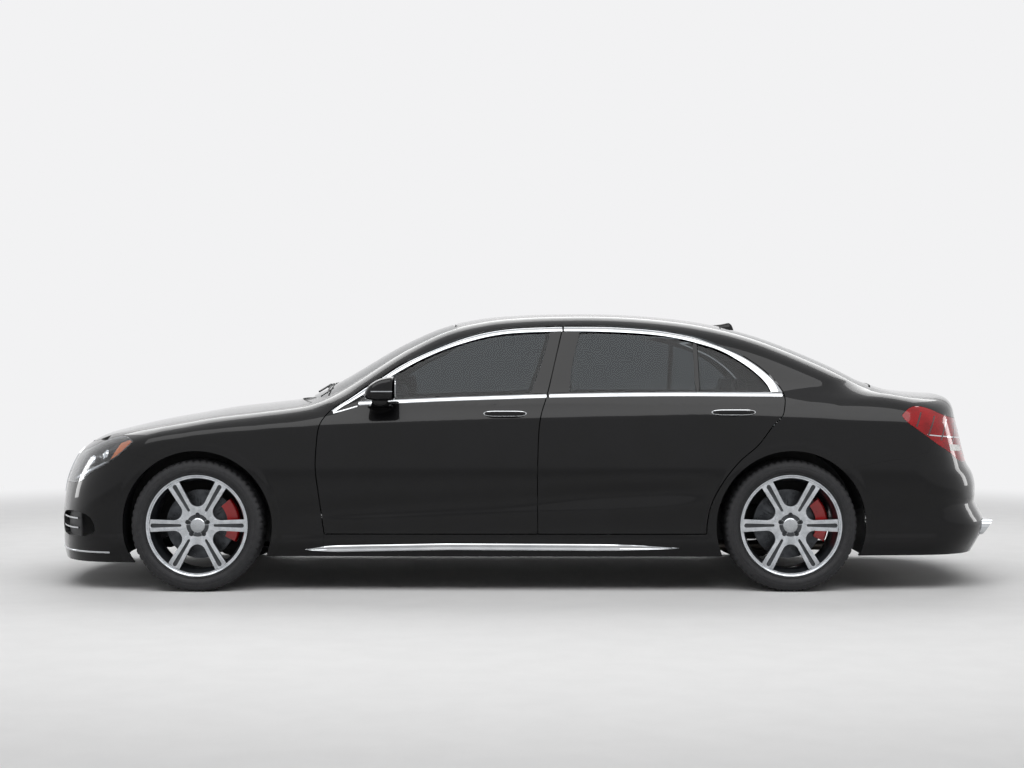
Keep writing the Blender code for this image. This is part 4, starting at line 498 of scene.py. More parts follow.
def offsetEdge(outline, distance):
    area = sum(a[0] * b[1] - b[0] * a[1] for a, b in zip(outline, outline[1:] + outline[:1])) / 2
    turn = 1 if area > 0 else -1
    moved = []
    for before, here, after in zip(outline[-1:] + outline[:-1], outline, outline[1:] + outline[:1]):
        first = (Vector(here) - Vector(before)).normalized()
        second = (Vector(after) - Vector(here)).normalized()
        normal = Vector((first.y + second.y, -first.x - second.x)).normalized() * turn
        lengthen = max(0.35, normal.dot(Vector((first.y, -first.x)) * turn))
        moved.append(tuple(Vector(here) + normal * distance / lengthen))
    return moved


def rounded(outline, closed=True, passes=2):
    # Corner cutting, so that an outline given by a few points reads as a curve
    points = [np.array(p, float) for p in outline]
    for level in range(passes):
        pairs = list(zip(points, points[1:] + points[:1])) if closed else list(zip(points, points[1:]))
        cut = []
        for a, b in pairs:
            cut += [a * 0.75 + b * 0.25, a * 0.25 + b * 0.75]
        points = cut if closed else [points[0]] + cut + [points[-1]]
    return [tuple(p) for p in points]


def prism(outline, axis, low, high, material=None, name="tool"):
    bm = bmesh.new()
    place = {"X": lambda u, v: (low, u, v), "Y": lambda u, v: (u, low, v), "Z": lambda u, v: (u, v, low)}[axis]
    face = bm.faces.new([bm.verts.new(place(u, v)) for u, v in outline])
    raised = bmesh.ops.extrude_face_region(bm, geom=[face])
    shift = Vector((0, 0, 0))
    shift["XYZ".index(axis)] = high - low
    bmesh.ops.translate(bm, vec=shift, verts=[v for v in raised["geom"] if isinstance(v, bmesh.types.BMVert)])
    return fromBmesh(name, bm, material)


def block(low, high, material=None, bevel=0.0, segments=2, name="tool"):
    lows = Vector([min(a, b) for a, b in zip(low, high)])
    highs = Vector([max(a, b) for a, b in zip(low, high)])
    bm = bmesh.new()
    made = bmesh.ops.create_cube(bm, size=1.0)["verts"]
    bmesh.ops.scale(bm, vec=highs - lows, verts=made)
    bmesh.ops.translate(bm, vec=(highs + lows) / 2, verts=made)
    if bevel:
        bmesh.ops.bevel(bm, geom=bm.edges[:], offset=bevel, segments=segments, profile=0.5, affect="EDGES")
    return fromBmesh(name, bm, material)


def lathe(profile, count, closed=True):
    # Vertices and faces of a profile of (radius, height) turned about Z
    profile = np.asarray(profile, float)
    turn = np.arange(count) * 2 * math.pi / count
    ring = np.stack([np.cos(turn), np.sin(turn)], -1)
    vertices = np.concatenate([np.concatenate([ring * r, np.full((count, 1), h)], -1) for r, h in profile])
    faces = []
    last = len(profile) if closed else len(profile) - 1
    for i in range(last):
        k = (i + 1) % len(profile)
        for j in range(count):
            m = (j + 1) % count
            faces.append((i * count + j, i * count + m, k * count + m, k * count + j))
    return vertices, faces


def drum(x, z, radius, low, high, count=96, material=None, name="tool"):
    bm = bmesh.new()
    place = Matrix.Translation((x, (low + high) / 2, z)) @ Matrix.Rotation(math.pi / 2, 4, "X")
    bmesh.ops.create_cone(bm, cap_ends=True, segments=count, radius1=radius, radius2=radius,
        depth=abs(high - low), matrix=place)
    return fromBmesh(name, bm, material)


def loftSolid(name, rings, material, sharpAngle=40):
    bm = bmesh.new()
    loops = [[bm.verts.new(p) for p in ring] for ring in rings]
    for low, high in zip(loops, loops[1:]):
        for i in range(len(low)):
            k = (i + 1) % len(low)
            bm.faces.new((low[i], low[k], high[k], high[i]))
    bm.faces.new(loops[0])
    bm.faces.new(loops[-1])
    return fromBmesh(name, bm, material, sharpAngle)


def joined(name, objects, material=None):
    # One mesh from several that do not overlap
    bm = bmesh.new()
    materials = []
    for obj in objects:
        start = len(bm.faces)
        bm.from_mesh(obj.data)
        bm.faces.ensure_lookup_table()
        for face in bm.faces[start:]:
            slotMaterial = obj.data.materials[face.material_index] if obj.data.materials else material
            if slotMaterial not in materials:
                materials.append(slotMaterial)
            face.material_index = materials.index(slotMaterial)
    mesh = bpy.data.meshes.new(name)
    bm.to_mesh(mesh)
    bm.free()
    for slotMaterial in materials:
        mesh.materials.append(slotMaterial)
    discard(*objects)
    obj = bpy.data.objects.new(name, mesh)
    bpy.context.scene.collection.objects.link(obj)
    return sharpen(obj)


def finished(obj, body, slot, *nodes):
    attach(obj, body)
    if nodes:
        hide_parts(*nodes)
    return obj


shutGap, panelGap, farY = 0.0055, 0.0004, 1.25
skins = {"panel": 0.025, "lid": 0.022, "frame": 0.05, "door": 0.018, "bumper": 0.03, "cell": 0.013}


def eased(outline, cell=0.022, sharp=40, passes=2):
    # Smooth curves through the outline's gentle points, and small radii at its corners
    points = np.array(outline, float)
    count = len(points)
    ahead = np.roll(points, -1, 0) - points
    lengths = np.linalg.norm(ahead, axis=1)
    leaving = ahead / lengths[:, None]
    arriving = np.roll(leaving, 1, 0)
    corner = (leaving * arriving).sum(1) < math.cos(math.radians(sharp))
    through = leaving + arriving
    through = through / np.linalg.norm(through, axis=1)[:, None]
    result = []
    for i in range(count):
        k = (i + 1) % count
        start = (leaving[i] if corner[i] else through[i]) * lengths[i]
        end = (arriving[k] if corner[k] else through[k]) * lengths[i]
        parts = max(1, math.ceil(lengths[i] / cell))
        for t in np.arange(parts) / parts:
            result.append((2 * t ** 3 - 3 * t ** 2 + 1) * points[i] + (3 * t ** 2 - 2 * t ** 3) * points[k]
                + (t ** 3 - 2 * t ** 2 + t) * start + (t ** 3 - t ** 2) * end)
    return rounded(result, True, passes)


def edgeTop(outline, x):
    # The highest place of a closed outline at x, with x first held within its reach
    x = min(max(x, min(point[0] for point in outline)), max(point[0] for point in outline))
    heights = []
    for (x0, z0), (x1, z1) in zip(outline, outline[1:] + outline[:1]):
        if min(x0, x1) <= x <= max(x0, x1):
            heights.append(z0 + (z1 - z0) * ((x - x0) / (x1 - x0) if x0 != x1 else 0))
    return max(heights)


def around(outline, gap, axis="Y", low=-farY, high=farY):
    return prism(offsetEdge(outline, gap / 2), axis, low, high)


def within(outline, gap, axis="Y", low=-farY, high=farY):
    return prism(offsetEdge(outline, -gap / 2), axis, low, high)


def oneSide(side, inner=0.2):
    return sorted((side * inner, side * farY))


def wholePlan(half):
    return eased(half + [(x, -y) for x, y in reversed(half) if y > 0], 0.03)


hoodPlan, windshieldPlan, roofPlan = wholePlan(hoodHalf), wholePlan(windshieldHalf), wholePlan(roofHalf)
rearScreenPlan, lidPlan = wholePlan(rearScreenHalf), wholePlan(lidHalf)
frontDoorLine, rearDoorLine = eased(frontDoorEdge), eased(rearDoorEdge)
frontWindowLine, rearWindowLine = eased(frontWindow), eased(rearWindow)
headlampLine, tailLampLine = eased(headlampEdge), eased(tailLampEdge)
grilleFront = [(-0.37, 0.5), (0.37, 0.5), (0.402, 0.62), (0.385, 0.715), (0.32, 0.745), (-0.32, 0.745),
    (-0.385, 0.715), (-0.402, 0.62)]
lampInnerY, tailLampInnerY, lidBottom = 0.4304, 0.555, 0.676

hoodOpening = around(hoodPlan, shutGap, "Z", 0.5, 2.0)
lidOpening = around(lidPlan, shutGap, "Z", lidBottom - shutGap / 2, 2.0)
windshieldOpening = around(windshieldPlan, panelGap, "Z", 0.5, 2.0)
roofOpening = around(roofPlan, panelGap, "Z", 0.5, 2.0)
rearScreenOpening = around(rearScreenPlan, panelGap, "Z", 0.5, 2.0)
grilleOpening = prism(offsetEdge(grilleFront, panelGap / 2), "X", -3.1, -2.2)
bumperOpening = around(frontBumperEdge, panelGap)
rearBumperOpening = around(rearBumperEdge, panelGap)
frontDoorOpening, rearDoorOpening = around(frontDoorLine, shutGap), around(rearDoorLine, shutGap)
frontArch = drum(wheels["frontX"], wheels["radius"], wheels["archRadius"], -farY, farY, 144)
rearArch = drum(wheels["rearX"], wheels["radius"], wheels["archRadius"], -farY, farY, 144)
lampOpenings = {s: around(headlampLine, panelGap, "Y", *oneSide(s, lampInnerY - panelGap)) for s, h in hands}
tailLampOpenings = {s: around(tailLampLine, 2 * panelGap, "Y", *oneSide(s, tailLampInnerY - shutGap))
    for s, h in hands}


def hoodRays():
    front = lambda y: -2.465 + bodyShape["noseBow"] * abs(y) ** bodyShape["bowPower"]
    return topRays(front, lambda y: -1.13, steps(-0.8, 0.8, skins["cell"]), 104)


hoodPanel = skinSolid("hoodPanel", hoodRays(), 0.0, skins["lid"], blackLacquer)
carve(hoodPanel, "INTERSECT", within(hoodPlan, shutGap, "Z", 0.5, 2.0))
finished(glossNormals(bake(hoodPanel)), "hood", "paint", "hood")

roofRays = topRays(lambda y: -0.42, lambda y: 1.15, steps(-0.62, 0.62, 0.018), 88)
roofSkin = skinSolid("roofSkin", roofRays, 0.0, skins["lid"], blackLacquer)
carve(roofSkin, "INTERSECT", within(roofPlan, panelGap, "Z", 0.5, 2.0))
finished(glossNormals(bake(roofSkin)), "body", "paint", "roof_panel")

for name, node, plan, start, end in (("windshieldGlass", "windshield", windshieldPlan, -1.22, -0.34),
        ("rearScreenGlass", "rear_window", rearScreenPlan, 1.08, 1.97)):
    rays = topRays(lambda y: start, lambda y: end, steps(-0.72, 0.72, 0.024), 40)
    pane = skinSolid(name, rays, 0.002, 0.0075, tintedGlass)
    carve(pane, "INTERSECT", within(plan, panelGap, "Z", 0.5, 2.0))
    finished(glossNormals(bake(pane), 0.002, 0.002), "body", "glass", node)

lidTurn = np.radians(np.linspace(124, -15, 110))[None, :]
lidYs = steps(-0.68, 0.68, 0.014)[:, None]
lidShape = (lidYs.shape[0], lidTurn.shape[1])
lidRays = (np.stack([np.full(lidShape, 2.08), np.broadcast_to(lidYs, lidShape), np.full(lidShape, 0.8)], -1),
    np.stack([np.broadcast_to(np.cos(lidTurn), lidShape), np.zeros(lidShape),
    np.broadcast_to(np.sin(lidTurn), lidShape)], -1))
trunkLid = skinSolid("trunkLid", lidRays, 0.0, skins["lid"], blackLacquer)
carve(trunkLid, "INTERSECT", within(lidPlan, shutGap, "Z", lidBottom + shutGap / 2, 2.0))
carve(trunkLid, "DIFFERENCE", *tailLampOpenings.values())
finished(glossNormals(bake(trunkLid)), "trunk_lid", "paint", "trunk_lid")
print("hood, roof, screens and lid built")


def fenderRays(side):
    turns = np.array([0.0] * 88 + list(np.linspace(0, -0.5, 20)[1:]))
    stations = np.array(list(np.linspace(-1.0, -2.06, 88)) + [-2.06] * 19)
    return fanRays(side, stations, turns, np.radians(np.linspace(-36, 46, 84)), 0.45)


for side, hand in hands:
    fender = skinSolid("fenderSkin_" + hand, fenderRays(side), 0.0, skins["panel"], blackLacquer)
    carve(fender, "INTERSECT", within(fenderEdge, panelGap))
    carve(fender, "DIFFERENCE", hoodOpening, frontDoorOpening, frontArch, bumperOpening, windshieldOpening,
        lampOpenings[side])
    finished(glossNormals(bake(fender)), "body", "paint", "fender_" + hand)
fenderClearances = {s: skinSolid("tool", fenderRays(s), -0.02, skins["panel"] + panelGap, None)
    for s, h in hands}


# Side frame: the outer skin with its sill, front and centre posts and hinge plates
frameShape = {"front": -1.16, "rear": 1.9, "columns": 190, "tailColumns": 26, "tailTurn": 0.95,
    "angles": (-38, 54, 92), "centreZ": 0.75, "sillX": (-1.064, 1.007), "sillY": (0.74, 0.885),
    "sillZ": (0.19, 0.3), "postHalf": 0.05, "postDeep": 0.06,
    "postOuter": ((0.27, 0.79), (0.7, 0.79), (1.03, 0.785), (1.42, 0.574), (1.47, 0.54)),
    "postLine": ((0.7, 1.05, 1.43), (0.0765, 0.125, 0.222)), "frontPostX": (-1.3, -0.985),
    "frontPostTop": ((-1.3, -1.1, -0.985), (0.9, 0.972, 1.005)), "frontPostLow": 0.25, "frontPostDeep": 0.15,
    "lidRoomX": (1.8, 2.61), "lidRoomY": (0.1, 0.6), "lidRoomZ": (0.9, 1.3)}
hingeShape = {"ahead": 0.02, "behind": 0.04, "tall": 0.05, "touch": 0.0003, "doorStep": 0.018,
    "front": (-1.09, (0.45, 0.74), 0.85, 0.88), "rear": (0.0815, (0.45, 0.62), 0.76, 0.858)}


def hingePlates(side, outline, x, heights, innerY, outerY):
    h = hingeShape
    plates = []
    for z in heights:
        plate = block((x - h["ahead"], side * innerY, z), (x + h["behind"], side * outerY, z + h["tall"]),
            blackLacquer)
        carve(plate, "DIFFERENCE", around(outline, 2 * (h["touch"] - h["doorStep"]) - shutGap))
        plates.append(plate)
    return plates


for side, hand in hands:
    f = frameShape
    stations = np.array(list(np.linspace(f["front"], f["rear"], f["columns"])) + [f["rear"]] * f["tailColumns"])
    turns = np.array([0.0] * f["columns"] + list(np.linspace(0, f["tailTurn"], f["tailColumns"] + 1)[1:]))
    rays = fanRays(side, stations, turns, np.radians(np.linspace(*f["angles"])), f["centreZ"])
    sideFrame = skinSolid("sideFrame_" + hand, rays, 0.0, skins["frame"], blackLacquer)
    carve(sideFrame, "INTERSECT", within(sideFrameEdge, panelGap))
    sillInner = block((f["sillX"][0] + panelGap, side * f["sillY"][0], f["sillZ"][0]),
        (f["sillX"][1], side * f["sillY"][1], f["sillZ"][1]), blackLacquer)
    half, deep, sections = f["postHalf"], f["postDeep"], []
    for z, outer in f["postOuter"]:
        x = np.interp(z, *f["postLine"])
        sections.append([(x - half, side * outer, z), (x + half, side * outer, z),
            (x + half, side * (outer - deep), z), (x - half, side * (outer - deep), z)])
    centrePost = loftSolid("tool", sections, blackLacquer)
    postTop = lambda x: float(np.interp(x, *f["frontPostTop"]))
    postRays = sideRays(side, np.linspace(*f["frontPostX"], 24), lambda x: f["frontPostLow"], postTop, 40)
    frontPost = skinSolid("tool", postRays, skins["panel"] / 2, f["frontPostDeep"], blackLacquer)
    carve(frontPost, "DIFFERENCE", fenderClearances[side])
    carve(sideFrame, "UNION", sillInner, frontPost)
    carve(sideFrame, "DIFFERENCE", frontDoorOpening, rearDoorOpening)
    carve(sideFrame, "UNION", centrePost, *hingePlates(side, frontDoorEdge, *hingeShape["front"]),
        *hingePlates(side, rearDoorEdge, *hingeShape["rear"]))
    lidRoom = block(*[(f["lidRoomX"][k], side * f["lidRoomY"][k], f["lidRoomZ"][k]) for k in (0, 1)])
    carve(sideFrame, "DIFFERENCE", lidRoom, rearArch, roofOpening, windshieldOpening, rearScreenOpening,
        lidOpening, rearBumperOpening, tailLampOpenings[side])
    finished(glossNormals(bake(sideFrame)), "body", "paint", "side_frame_" + hand)
print("fenders and side frames built")

doors = {"front": {"line": frontDoorLine, "edge": frontDoorEdge, "top": frontDoorTop, "window": frontWindowLine,
    "reach": (-1.115, 0.235), "glassReach": (-0.89, 0.18), "handle": (-0.214, 0.02, 0.95)},
    "rear": {"line": rearDoorLine, "edge": rearDoorEdge, "top": rearDoorTop, "window": rearWindowLine,
    "reach": (0.06, 1.41), "glassReach": (0.23, 1.345), "handle": (0.997, 1.236, 0.957)}, "belt": 1.02,
    "panelTop": 0.965, "innerY": 0.8, "step": 0.018, "glassRecess": 0.01, "glassThickness": 0.006}


def handleCup(side, handle):
    # A shallow oval recess behind the pull
    front, rear, z = handle
    bm = bmesh.new()
    bmesh.ops.create_uvsphere(bm, u_segments=40, v_segments=20, radius=1.0)
    middle = (front + rear) / 2
    y = float(skinY(middle, z, side))
    bmesh.ops.scale(bm, vec=Vector((0.062, 0.013, 0.03)), verts=bm.verts)
    bmesh.ops.translate(bm, vec=Vector((middle, y, z - 0.002)), verts=bm.verts)
    return fromBmesh("tool", bm, None)


for side, hand in hands:
    for end in ("front", "rear"):
        d = doors[end]
        topX, topZ = zip(*d["top"])
        high = lambda x: max(doors["belt"], float(np.interp(x, topX, topZ))) + 0.012
        rays = sideRays(side, steps(*d["reach"], skins["cell"]), lambda x: 0.29, high, 88)
        door = skinSolid(f"{end}Door_{hand}", rays, 0.0, skins["door"], blackLacquer)
        carve(door, "INTERSECT", within(d["line"], shutGap))
        inner = prism(offsetEdge(d["edge"], -shutGap / 2 - doors["step"]), "Y",
            *sorted((side * doors["innerY"], side * farY)), blackLacquer)
        carve(inner, "INTERSECT", block((-1.3, side * 0.7, 0.2), (1.6, side * 1.1, doors["panelTop"])))
        carve(inner, "DIFFERENCE", skinSolid("tool", rays, -0.4, skins["door"] / 2, None))
        carve(door, "UNION", inner)
        carve(door, "DIFFERENCE", prism(d["window"], "Y", *oneSide(side)), handleCup(side, d["handle"]))
        finished(glossNormals(bake(door)), f"{end}_door_{hand}", "paint", f"{end}_door_{hand}")
        paneTop = lambda x: edgeTop(d["window"], x) + 0.02
        rays = sideRays(side, steps(*d["glassReach"], 0.02), lambda x: 1.02, paneTop, 24)
        recess = doors["glassRecess"]
        pane = skinSolid(f"{end}Glass_{hand}", rays, recess, recess + doors["glassThickness"], tintedGlass)
        carve(pane, "INTERSECT", within(d["window"], 2 * panelGap))
        finished(glossNormals(bake(pane), recess, 0.002), f"{end}_door_{hand}", "glass", f"{end}_glass_{hand}")
print("doors built")

bumperRays = endRays(-1.75, -1, np.radians(np.linspace(-81, 81, 190)), np.linspace(0.15, 0.8, 56))
frontBumper = skinSolid("frontBumper", bumperRays, 0.0, skins["bumper"], blackLacquer)
carve(frontBumper, "INTERSECT", within(frontBumperEdge, panelGap))
sideIntake = [(0.52, 0.29), (0.84, 0.28), (0.86, 0.33), (0.84, 0.425), (0.6, 0.415), (0.5, 0.36)]
middleIntake = [(-0.44, 0.24), (0.44, 0.24), (0.455, 0.33), (0.42, 0.4), (-0.42, 0.4), (-0.455, 0.33)]
intakes = [prism([(s * y, z) for y, z in rounded(sideIntake, True, 2)][::s], "X", -3.1, -1.9)
    for s, h in hands]
carve(frontBumper, "DIFFERENCE", hoodOpening, grilleOpening, frontArch, *lampOpenings.values(), *intakes,
    prism(rounded(middleIntake, True, 2), "X", -3.1, -1.9))
finished(glossNormals(bake(frontBumper)), "body", "paint", "front_bumper")

exhaustTip = {"y": 0.55, "width": 0.18, "z": 0.275, "height": 0.085, "clear": 0.004, "wall": 0.004,
    "start": 2.302, "end": 2.52, "slant": 0.062}
rearBumperRays = endRays(1.57, 1, np.radians(np.linspace(-84, 84, 190)), np.linspace(0.19, 0.8, 56))
rearBumper = skinSolid("rearBumper", rearBumperRays, 0.0, skins["bumper"], blackLacquer)
carve(rearBumper, "INTERSECT", within(rearBumperEdge, panelGap))
t = exhaustTip
tipHalf = t["width"] / 2 + t["clear"]
tipLow, tipHigh = t["z"] - t["clear"], t["z"] + t["height"] + t["clear"]
tipHoles = [block((2.3, s * (t["y"] - tipHalf), tipLow), (2.71, s * (t["y"] + tipHalf), tipHigh))
    for s, h in hands]
carve(rearBumper, "DIFFERENCE", rearArch, lidOpening, *tailLampOpenings.values(), *tipHoles)
finished(glossNormals(bake(rearBumper)), "body", "paint", "rear_bumper")
print("bumpers built")

wheelDesign = {"pairs": 6, "pairHalf": 0.0275, "pairFlare": 0.006, "windowInner": 0.101, "windowOuter": 0.254,
    "grooveHalf": 0.007, "grooveFlare": 0.0045, "grooveStart": 0.086, "grooveEnd": 0.249, "grooveDepth": 0.01,
    "faceDrop": 0.004, "dish": 0.012, "capRadius": 0.04, "boltRing": 0.056, "bolts": 5, "turns": 192,
    "discRadius": 0.185, "discHoles": 12, "treadSteps": 240}


def wheelPlace(obj, side, end):
    # From the wheel's own frame, with its face towards +Z, to its place on the car
    width = wheels[end + "Width"]
    centre = (wheels[end + "X"], side * (wheels["outerY"] - width / 2), wheels["radius"])
    obj.data.transform(Matrix.Translation(centre) @ Matrix.Rotation(-side * math.pi / 2, 4, "X"))
    return obj


def spokeWindow(pair):
    # One opening between two pairs of spokes, rounded at the hub
    w = wheelDesign
    half, inner, outer = w["pairHalf"], w["windowInner"], w["windowOuter"]
    step = math.pi / w["pairs"]
    centre = (inner - half) / (1 - math.sin(step))
    radius = centre * math.sin(step) - half
    middle = np.array([math.cos(step), math.sin(step)]) * centre
    edge = half + w["pairFlare"]
    points = []
    for turn in np.linspace(math.asin(edge / outer), 2 * step - math.asin(edge / outer), 14):
        points.append((outer * math.cos(turn), outer * math.sin(turn)))
    for turn in np.linspace(2 * step + math.pi / 2, 1.5 * math.pi, 22):
        points.append(tuple(middle + radius * np.array([math.cos(turn), math.sin(turn)])))
    turned = Matrix.Rotation(2 * step * pair, 2)
    return [tuple(turned @ Vector(p)) for p in points]


def spokeGroove(pair):
    # The dark channel between a pair's two machined bars, wider towards the rim, with round ends
    w = wheelDesign
    near, far = w["grooveHalf"], w["grooveHalf"] + w["grooveFlare"]
    outline = []
    for turn in np.linspace(-math.pi / 2, math.pi / 2, 8):
        outline.append((w["grooveEnd"] - far + far * math.cos(turn), far * math.sin(turn)))
    for turn in np.linspace(math.pi / 2, 1.5 * math.pi, 8):
        outline.append((w["grooveStart"] + near + near * math.cos(turn), near * math.sin(turn)))
    turned = Matrix.Rotation(2 * math.pi / w["pairs"] * pair, 2)
    return [tuple(turned @ Vector(p)) for p in outline]


def latheObject(name, profile, material, count, closed=True, sharp=30):
    vertices, faces = lathe(profile, count, closed)
    bm = bmesh.new()
    made = [bm.verts.new(v) for v in vertices]
    for face in faces:
        bm.faces.new([made[i] for i in face])
    if not closed:
        bm.faces.new(made[:count])
        bm.faces.new(made[-count:])
    return fromBmesh(name, bm, material, sharp)


def wheelFace(width):
    w = wheelDesign
    top = 0.405 * width - w["faceDrop"]
    profile = [(0.0001, top - w["dish"]), (0.06, top - w["dish"]), (0.11, top - w["dish"] * 0.7),
        (0.2, top - w["dish"] * 0.15), (0.258, top), (0.258, top - 0.022), (0.2, top - 0.026),
        (0.11, top - 0.038), (0.0001, top - 0.044)]
    face = latheObject("wheelFace", profile, turnedAluminium, w["turns"], closed=False)
    face.data.materials.append(pocketPaint)
    carve(face, "DIFFERENCE", *[prism(spokeWindow(i), "Z", 0, top + 0.05) for i in range(w["pairs"])])
    bake(face)
    floor = top - w["dish"] - w["grooveDepth"]
    grooves = [prism(spokeGroove(i), "Z", floor + 0.002, top + 0.05) for i in range(w["pairs"])]
    holes = []
    for i in range(w["bolts"]):
        turn = 2 * math.pi * i / w["bolts"] + math.pi / 2
        bm = bmesh.new()
        bmesh.ops.create_cone(bm, cap_ends=True, segments=24, radius1=0.0125, radius2=0.0125, depth=0.03,
            matrix=Matrix.Translation((w["boltRing"] * math.cos(turn), w["boltRing"] * math.sin(turn),
            top - w["dish"] + 0.003)))
        holes.append(fromBmesh("tool", bm, None))
    carve(face, "DIFFERENCE", *grooves, *holes)
    bake(face)
    bevel = face.modifiers.new("edges", "BEVEL")
    bevel.width, bevel.segments, bevel.limit_method = 0.0011, 2, "ANGLE"
    bevel.angle_limit = math.radians(50)
    bake(face)
    mesh = face.data
    for polygon in mesh.polygons:
        reach = math.hypot(polygon.center.x, polygon.center.y)
        surface = np.interp(reach, (0.06, 0.11, 0.2, 0.258),
            (top - w["dish"], top - w["dish"] * 0.7, top - w["dish"] * 0.15, top))
        machined = polygon.normal.z > 0.75 and polygon.center.z > surface - 0.0022 and reach > 0.042
        polygon.material_index = 0 if machined else 1
    return sharpen(face, 30)


def wheelRim(width):
    w = wheelDesign
    bead, seat, outer = 0.405 * width + 0.0004, wheels["rimRadius"] - 0.018, wheels["rimRadius"]
    lip = bead + 0.009
    profile = [(outer, lip - 0.002), (outer, bead), (seat, bead), (seat, bead - 0.018),
        (seat - 0.006, bead - 0.024), (seat - 0.006, -bead + 0.024), (seat, -bead + 0.018), (seat, -bead),
        (outer, -bead), (outer, -lip), (outer - 0.006, -lip), (outer - 0.014, -bead + 0.002),
        (seat - 0.014, -bead + 0.01), (seat - 0.018, 0), (seat - 0.01, bead - 0.03),
        (outer - 0.012, bead - 0.004), (outer - 0.01, lip - 0.003), (outer - 0.004, lip),
        (outer - 0.001, lip - 0.0005)]
    barrel = latheObject("wheelBarrel", profile, pocketPaint, w["turns"])
    barrel.data.materials.append(turnedAluminium)
    for polygon in barrel.data.polygons:
        if math.hypot(polygon.center.x, polygon.center.y) > seat + 0.004 and polygon.center.z > bead - 0.003:
            polygon.material_index = 1
    parts = [barrel, wheelFace(width)]
    top = 0.405 * width - w["faceDrop"] - w["dish"]
    cap = latheObject("wheelCap", [(0.0001, top + 0.006), (0.02, top + 0.0055), (0.032, top + 0.004),
        (w["capRadius"] - 0.002, top + 0.0015), (w["capRadius"], top - 0.001), (w["capRadius"], top - 0.004),
        (0.0001, top - 0.004)], satinChrome, 64, closed=False)
    parts.append(cap)
    for i in range(w["bolts"]):
        turn = 2 * math.pi * i / w["bolts"] + math.pi / 2
        bm = bmesh.new()
        spot = Matrix.Translation((w["boltRing"] * math.cos(turn), w["boltRing"] * math.sin(turn), top - 0.006))
        bmesh.ops.create_cone(bm, cap_ends=True, segments=6, radius1=0.0088, radius2=0.008, depth=0.01,
            matrix=spot)
        parts.append(fromBmesh("bolt", bm, boltSteel, 20))
    hub = latheObject("wheelHub", [(0.0001, 0.035), (0.068, 0.035), (0.075, top - 0.05), (0.07, top - 0.032),
        (0.0001, top - 0.032)], pocketPaint, 48, closed=False)
    parts.append(hub)
    return joined("wheelRim", parts)


def wheelTyre(width):
    w = wheelDesign
    r, half, seat = wheels["radius"], width / 2, wheels["rimRadius"] - 0.018 + 0.0004
    side = [(seat, 0.405), (0.2735, 0.405), (0.276, 0.44), (0.279, 0.452), (0.283, 0.448), (0.286, 0.462),
        (0.292, 0.482), (0.298, 0.492), (0.304, 0.4955), (0.3045, 0.4985), (0.3065, 0.4985), (0.307, 0.4955),
        (0.316, 0.494), (0.3165, 0.4965), (0.3185, 0.4965), (0.319, 0.493), (0.328, 0.486), (0.335, 0.474),
        (0.341, 0.458)]
    shoulder = [(0.3455, 0.44), (0.3485, 0.415), (0.3502, 0.385), (0.3511, 0.35)]
    crown = []
    for low, high in ((0.215, 0.25), (0.065, 0.105)):
        crown += [(0.3517, high + 0.004), (0.3445, high), (0.3445, low), (0.3519, low - 0.004)]
    outer = [(a, b * width) for a, b in side + shoulder + crown]
    outer += [(a, -b) for a, b in reversed(outer)]
    inner = [(seat, -0.33 * width), (r - 0.018, -0.385 * width), (r - 0.018, 0.385 * width),
        (seat, 0.33 * width)]
    profile = np.array(outer + inner)
    count = w["treadSteps"]
    vertices, faces = lathe(profile, count)
    vertices = vertices.reshape(len(profile), count, 3)
    for i, (radius, height) in enumerate(profile):
        if 0.3 * width < abs(height) < 0.462 * width and radius > 0.339:
            notch = (np.arange(count) + (2 if height > 0 else 0)) % 4 == 0
            vertices[i, notch, :2] *= (radius - 0.0055) / radius
        elif radius > 0.3505 and abs(height) < 0.3 * width:
            notch = (np.arange(count) + 1) % 6 == 0
            vertices[i, notch, :2] *= (radius - 0.0035) / radius
    bm = bmesh.new()
    made = [bm.verts.new(v) for v in vertices.reshape(-1, 3)]
    for face in faces:
        bm.faces.new([made[i] for i in face])
    return fromBmesh("tyre", bm, tyreRubber, 28)


def brakeDisc():
    w = wheelDesign
    back, top, hat = -0.042, -0.012, 0.0346
    profile = [(0.0001, hat), (0.074, hat), (0.08, hat - 0.006), (0.08, top + 0.004), (0.088, top),
        (w["discRadius"], top), (w["discRadius"], top - 0.01), (w["discRadius"] - 0.01, top - 0.01),
        (w["discRadius"] - 0.01, back + 0.01), (w["discRadius"], back + 0.01), (w["discRadius"], back),
        (0.0001, back)]
    disc = latheObject("brakeDisc", profile, groundIron, 96, closed=False)
    cutters = bmesh.new()
    for row in range(w["discHoles"]):
        for k, reach in enumerate((0.112, 0.13, 0.148, 0.166)):
            turn = 2 * math.pi * row / w["discHoles"] + k * 0.115
            spot = Matrix.Translation((reach * math.cos(turn), reach * math.sin(turn), top))
            bmesh.ops.create_cone(cutters, cap_ends=True, segments=10, radius1=0.0038, radius2=0.0038,
                depth=0.018, matrix=spot)
    carve(disc, "DIFFERENCE", fromBmesh("tool", cutters, None))
    return sharpen(bake(disc), 30)


def caliper(side, end):
    # An arched body over the disc's rear edge
    sections = []
    for turn in np.radians(np.linspace(-26, 40, 16)):
        ring = []
        for reach, height in ((0.15, 0.012), (0.206, 0.012), (0.214, 0.004), (0.216, -0.022), (0.214, -0.056),
                (0.2, -0.07), (0.14, -0.07), (0.132, -0.062), (0.132, -0.05), (0.191, -0.05), (0.191, -0.004),
                (0.15, -0.004)):
            ring.append((reach * math.cos(turn), reach * math.sin(turn) * side * -1, height))
        sections.append(ring)
    body = loftSolid("caliper", sections, redCaliperPaint, 35)
    return wheelPlace(body, side, end)


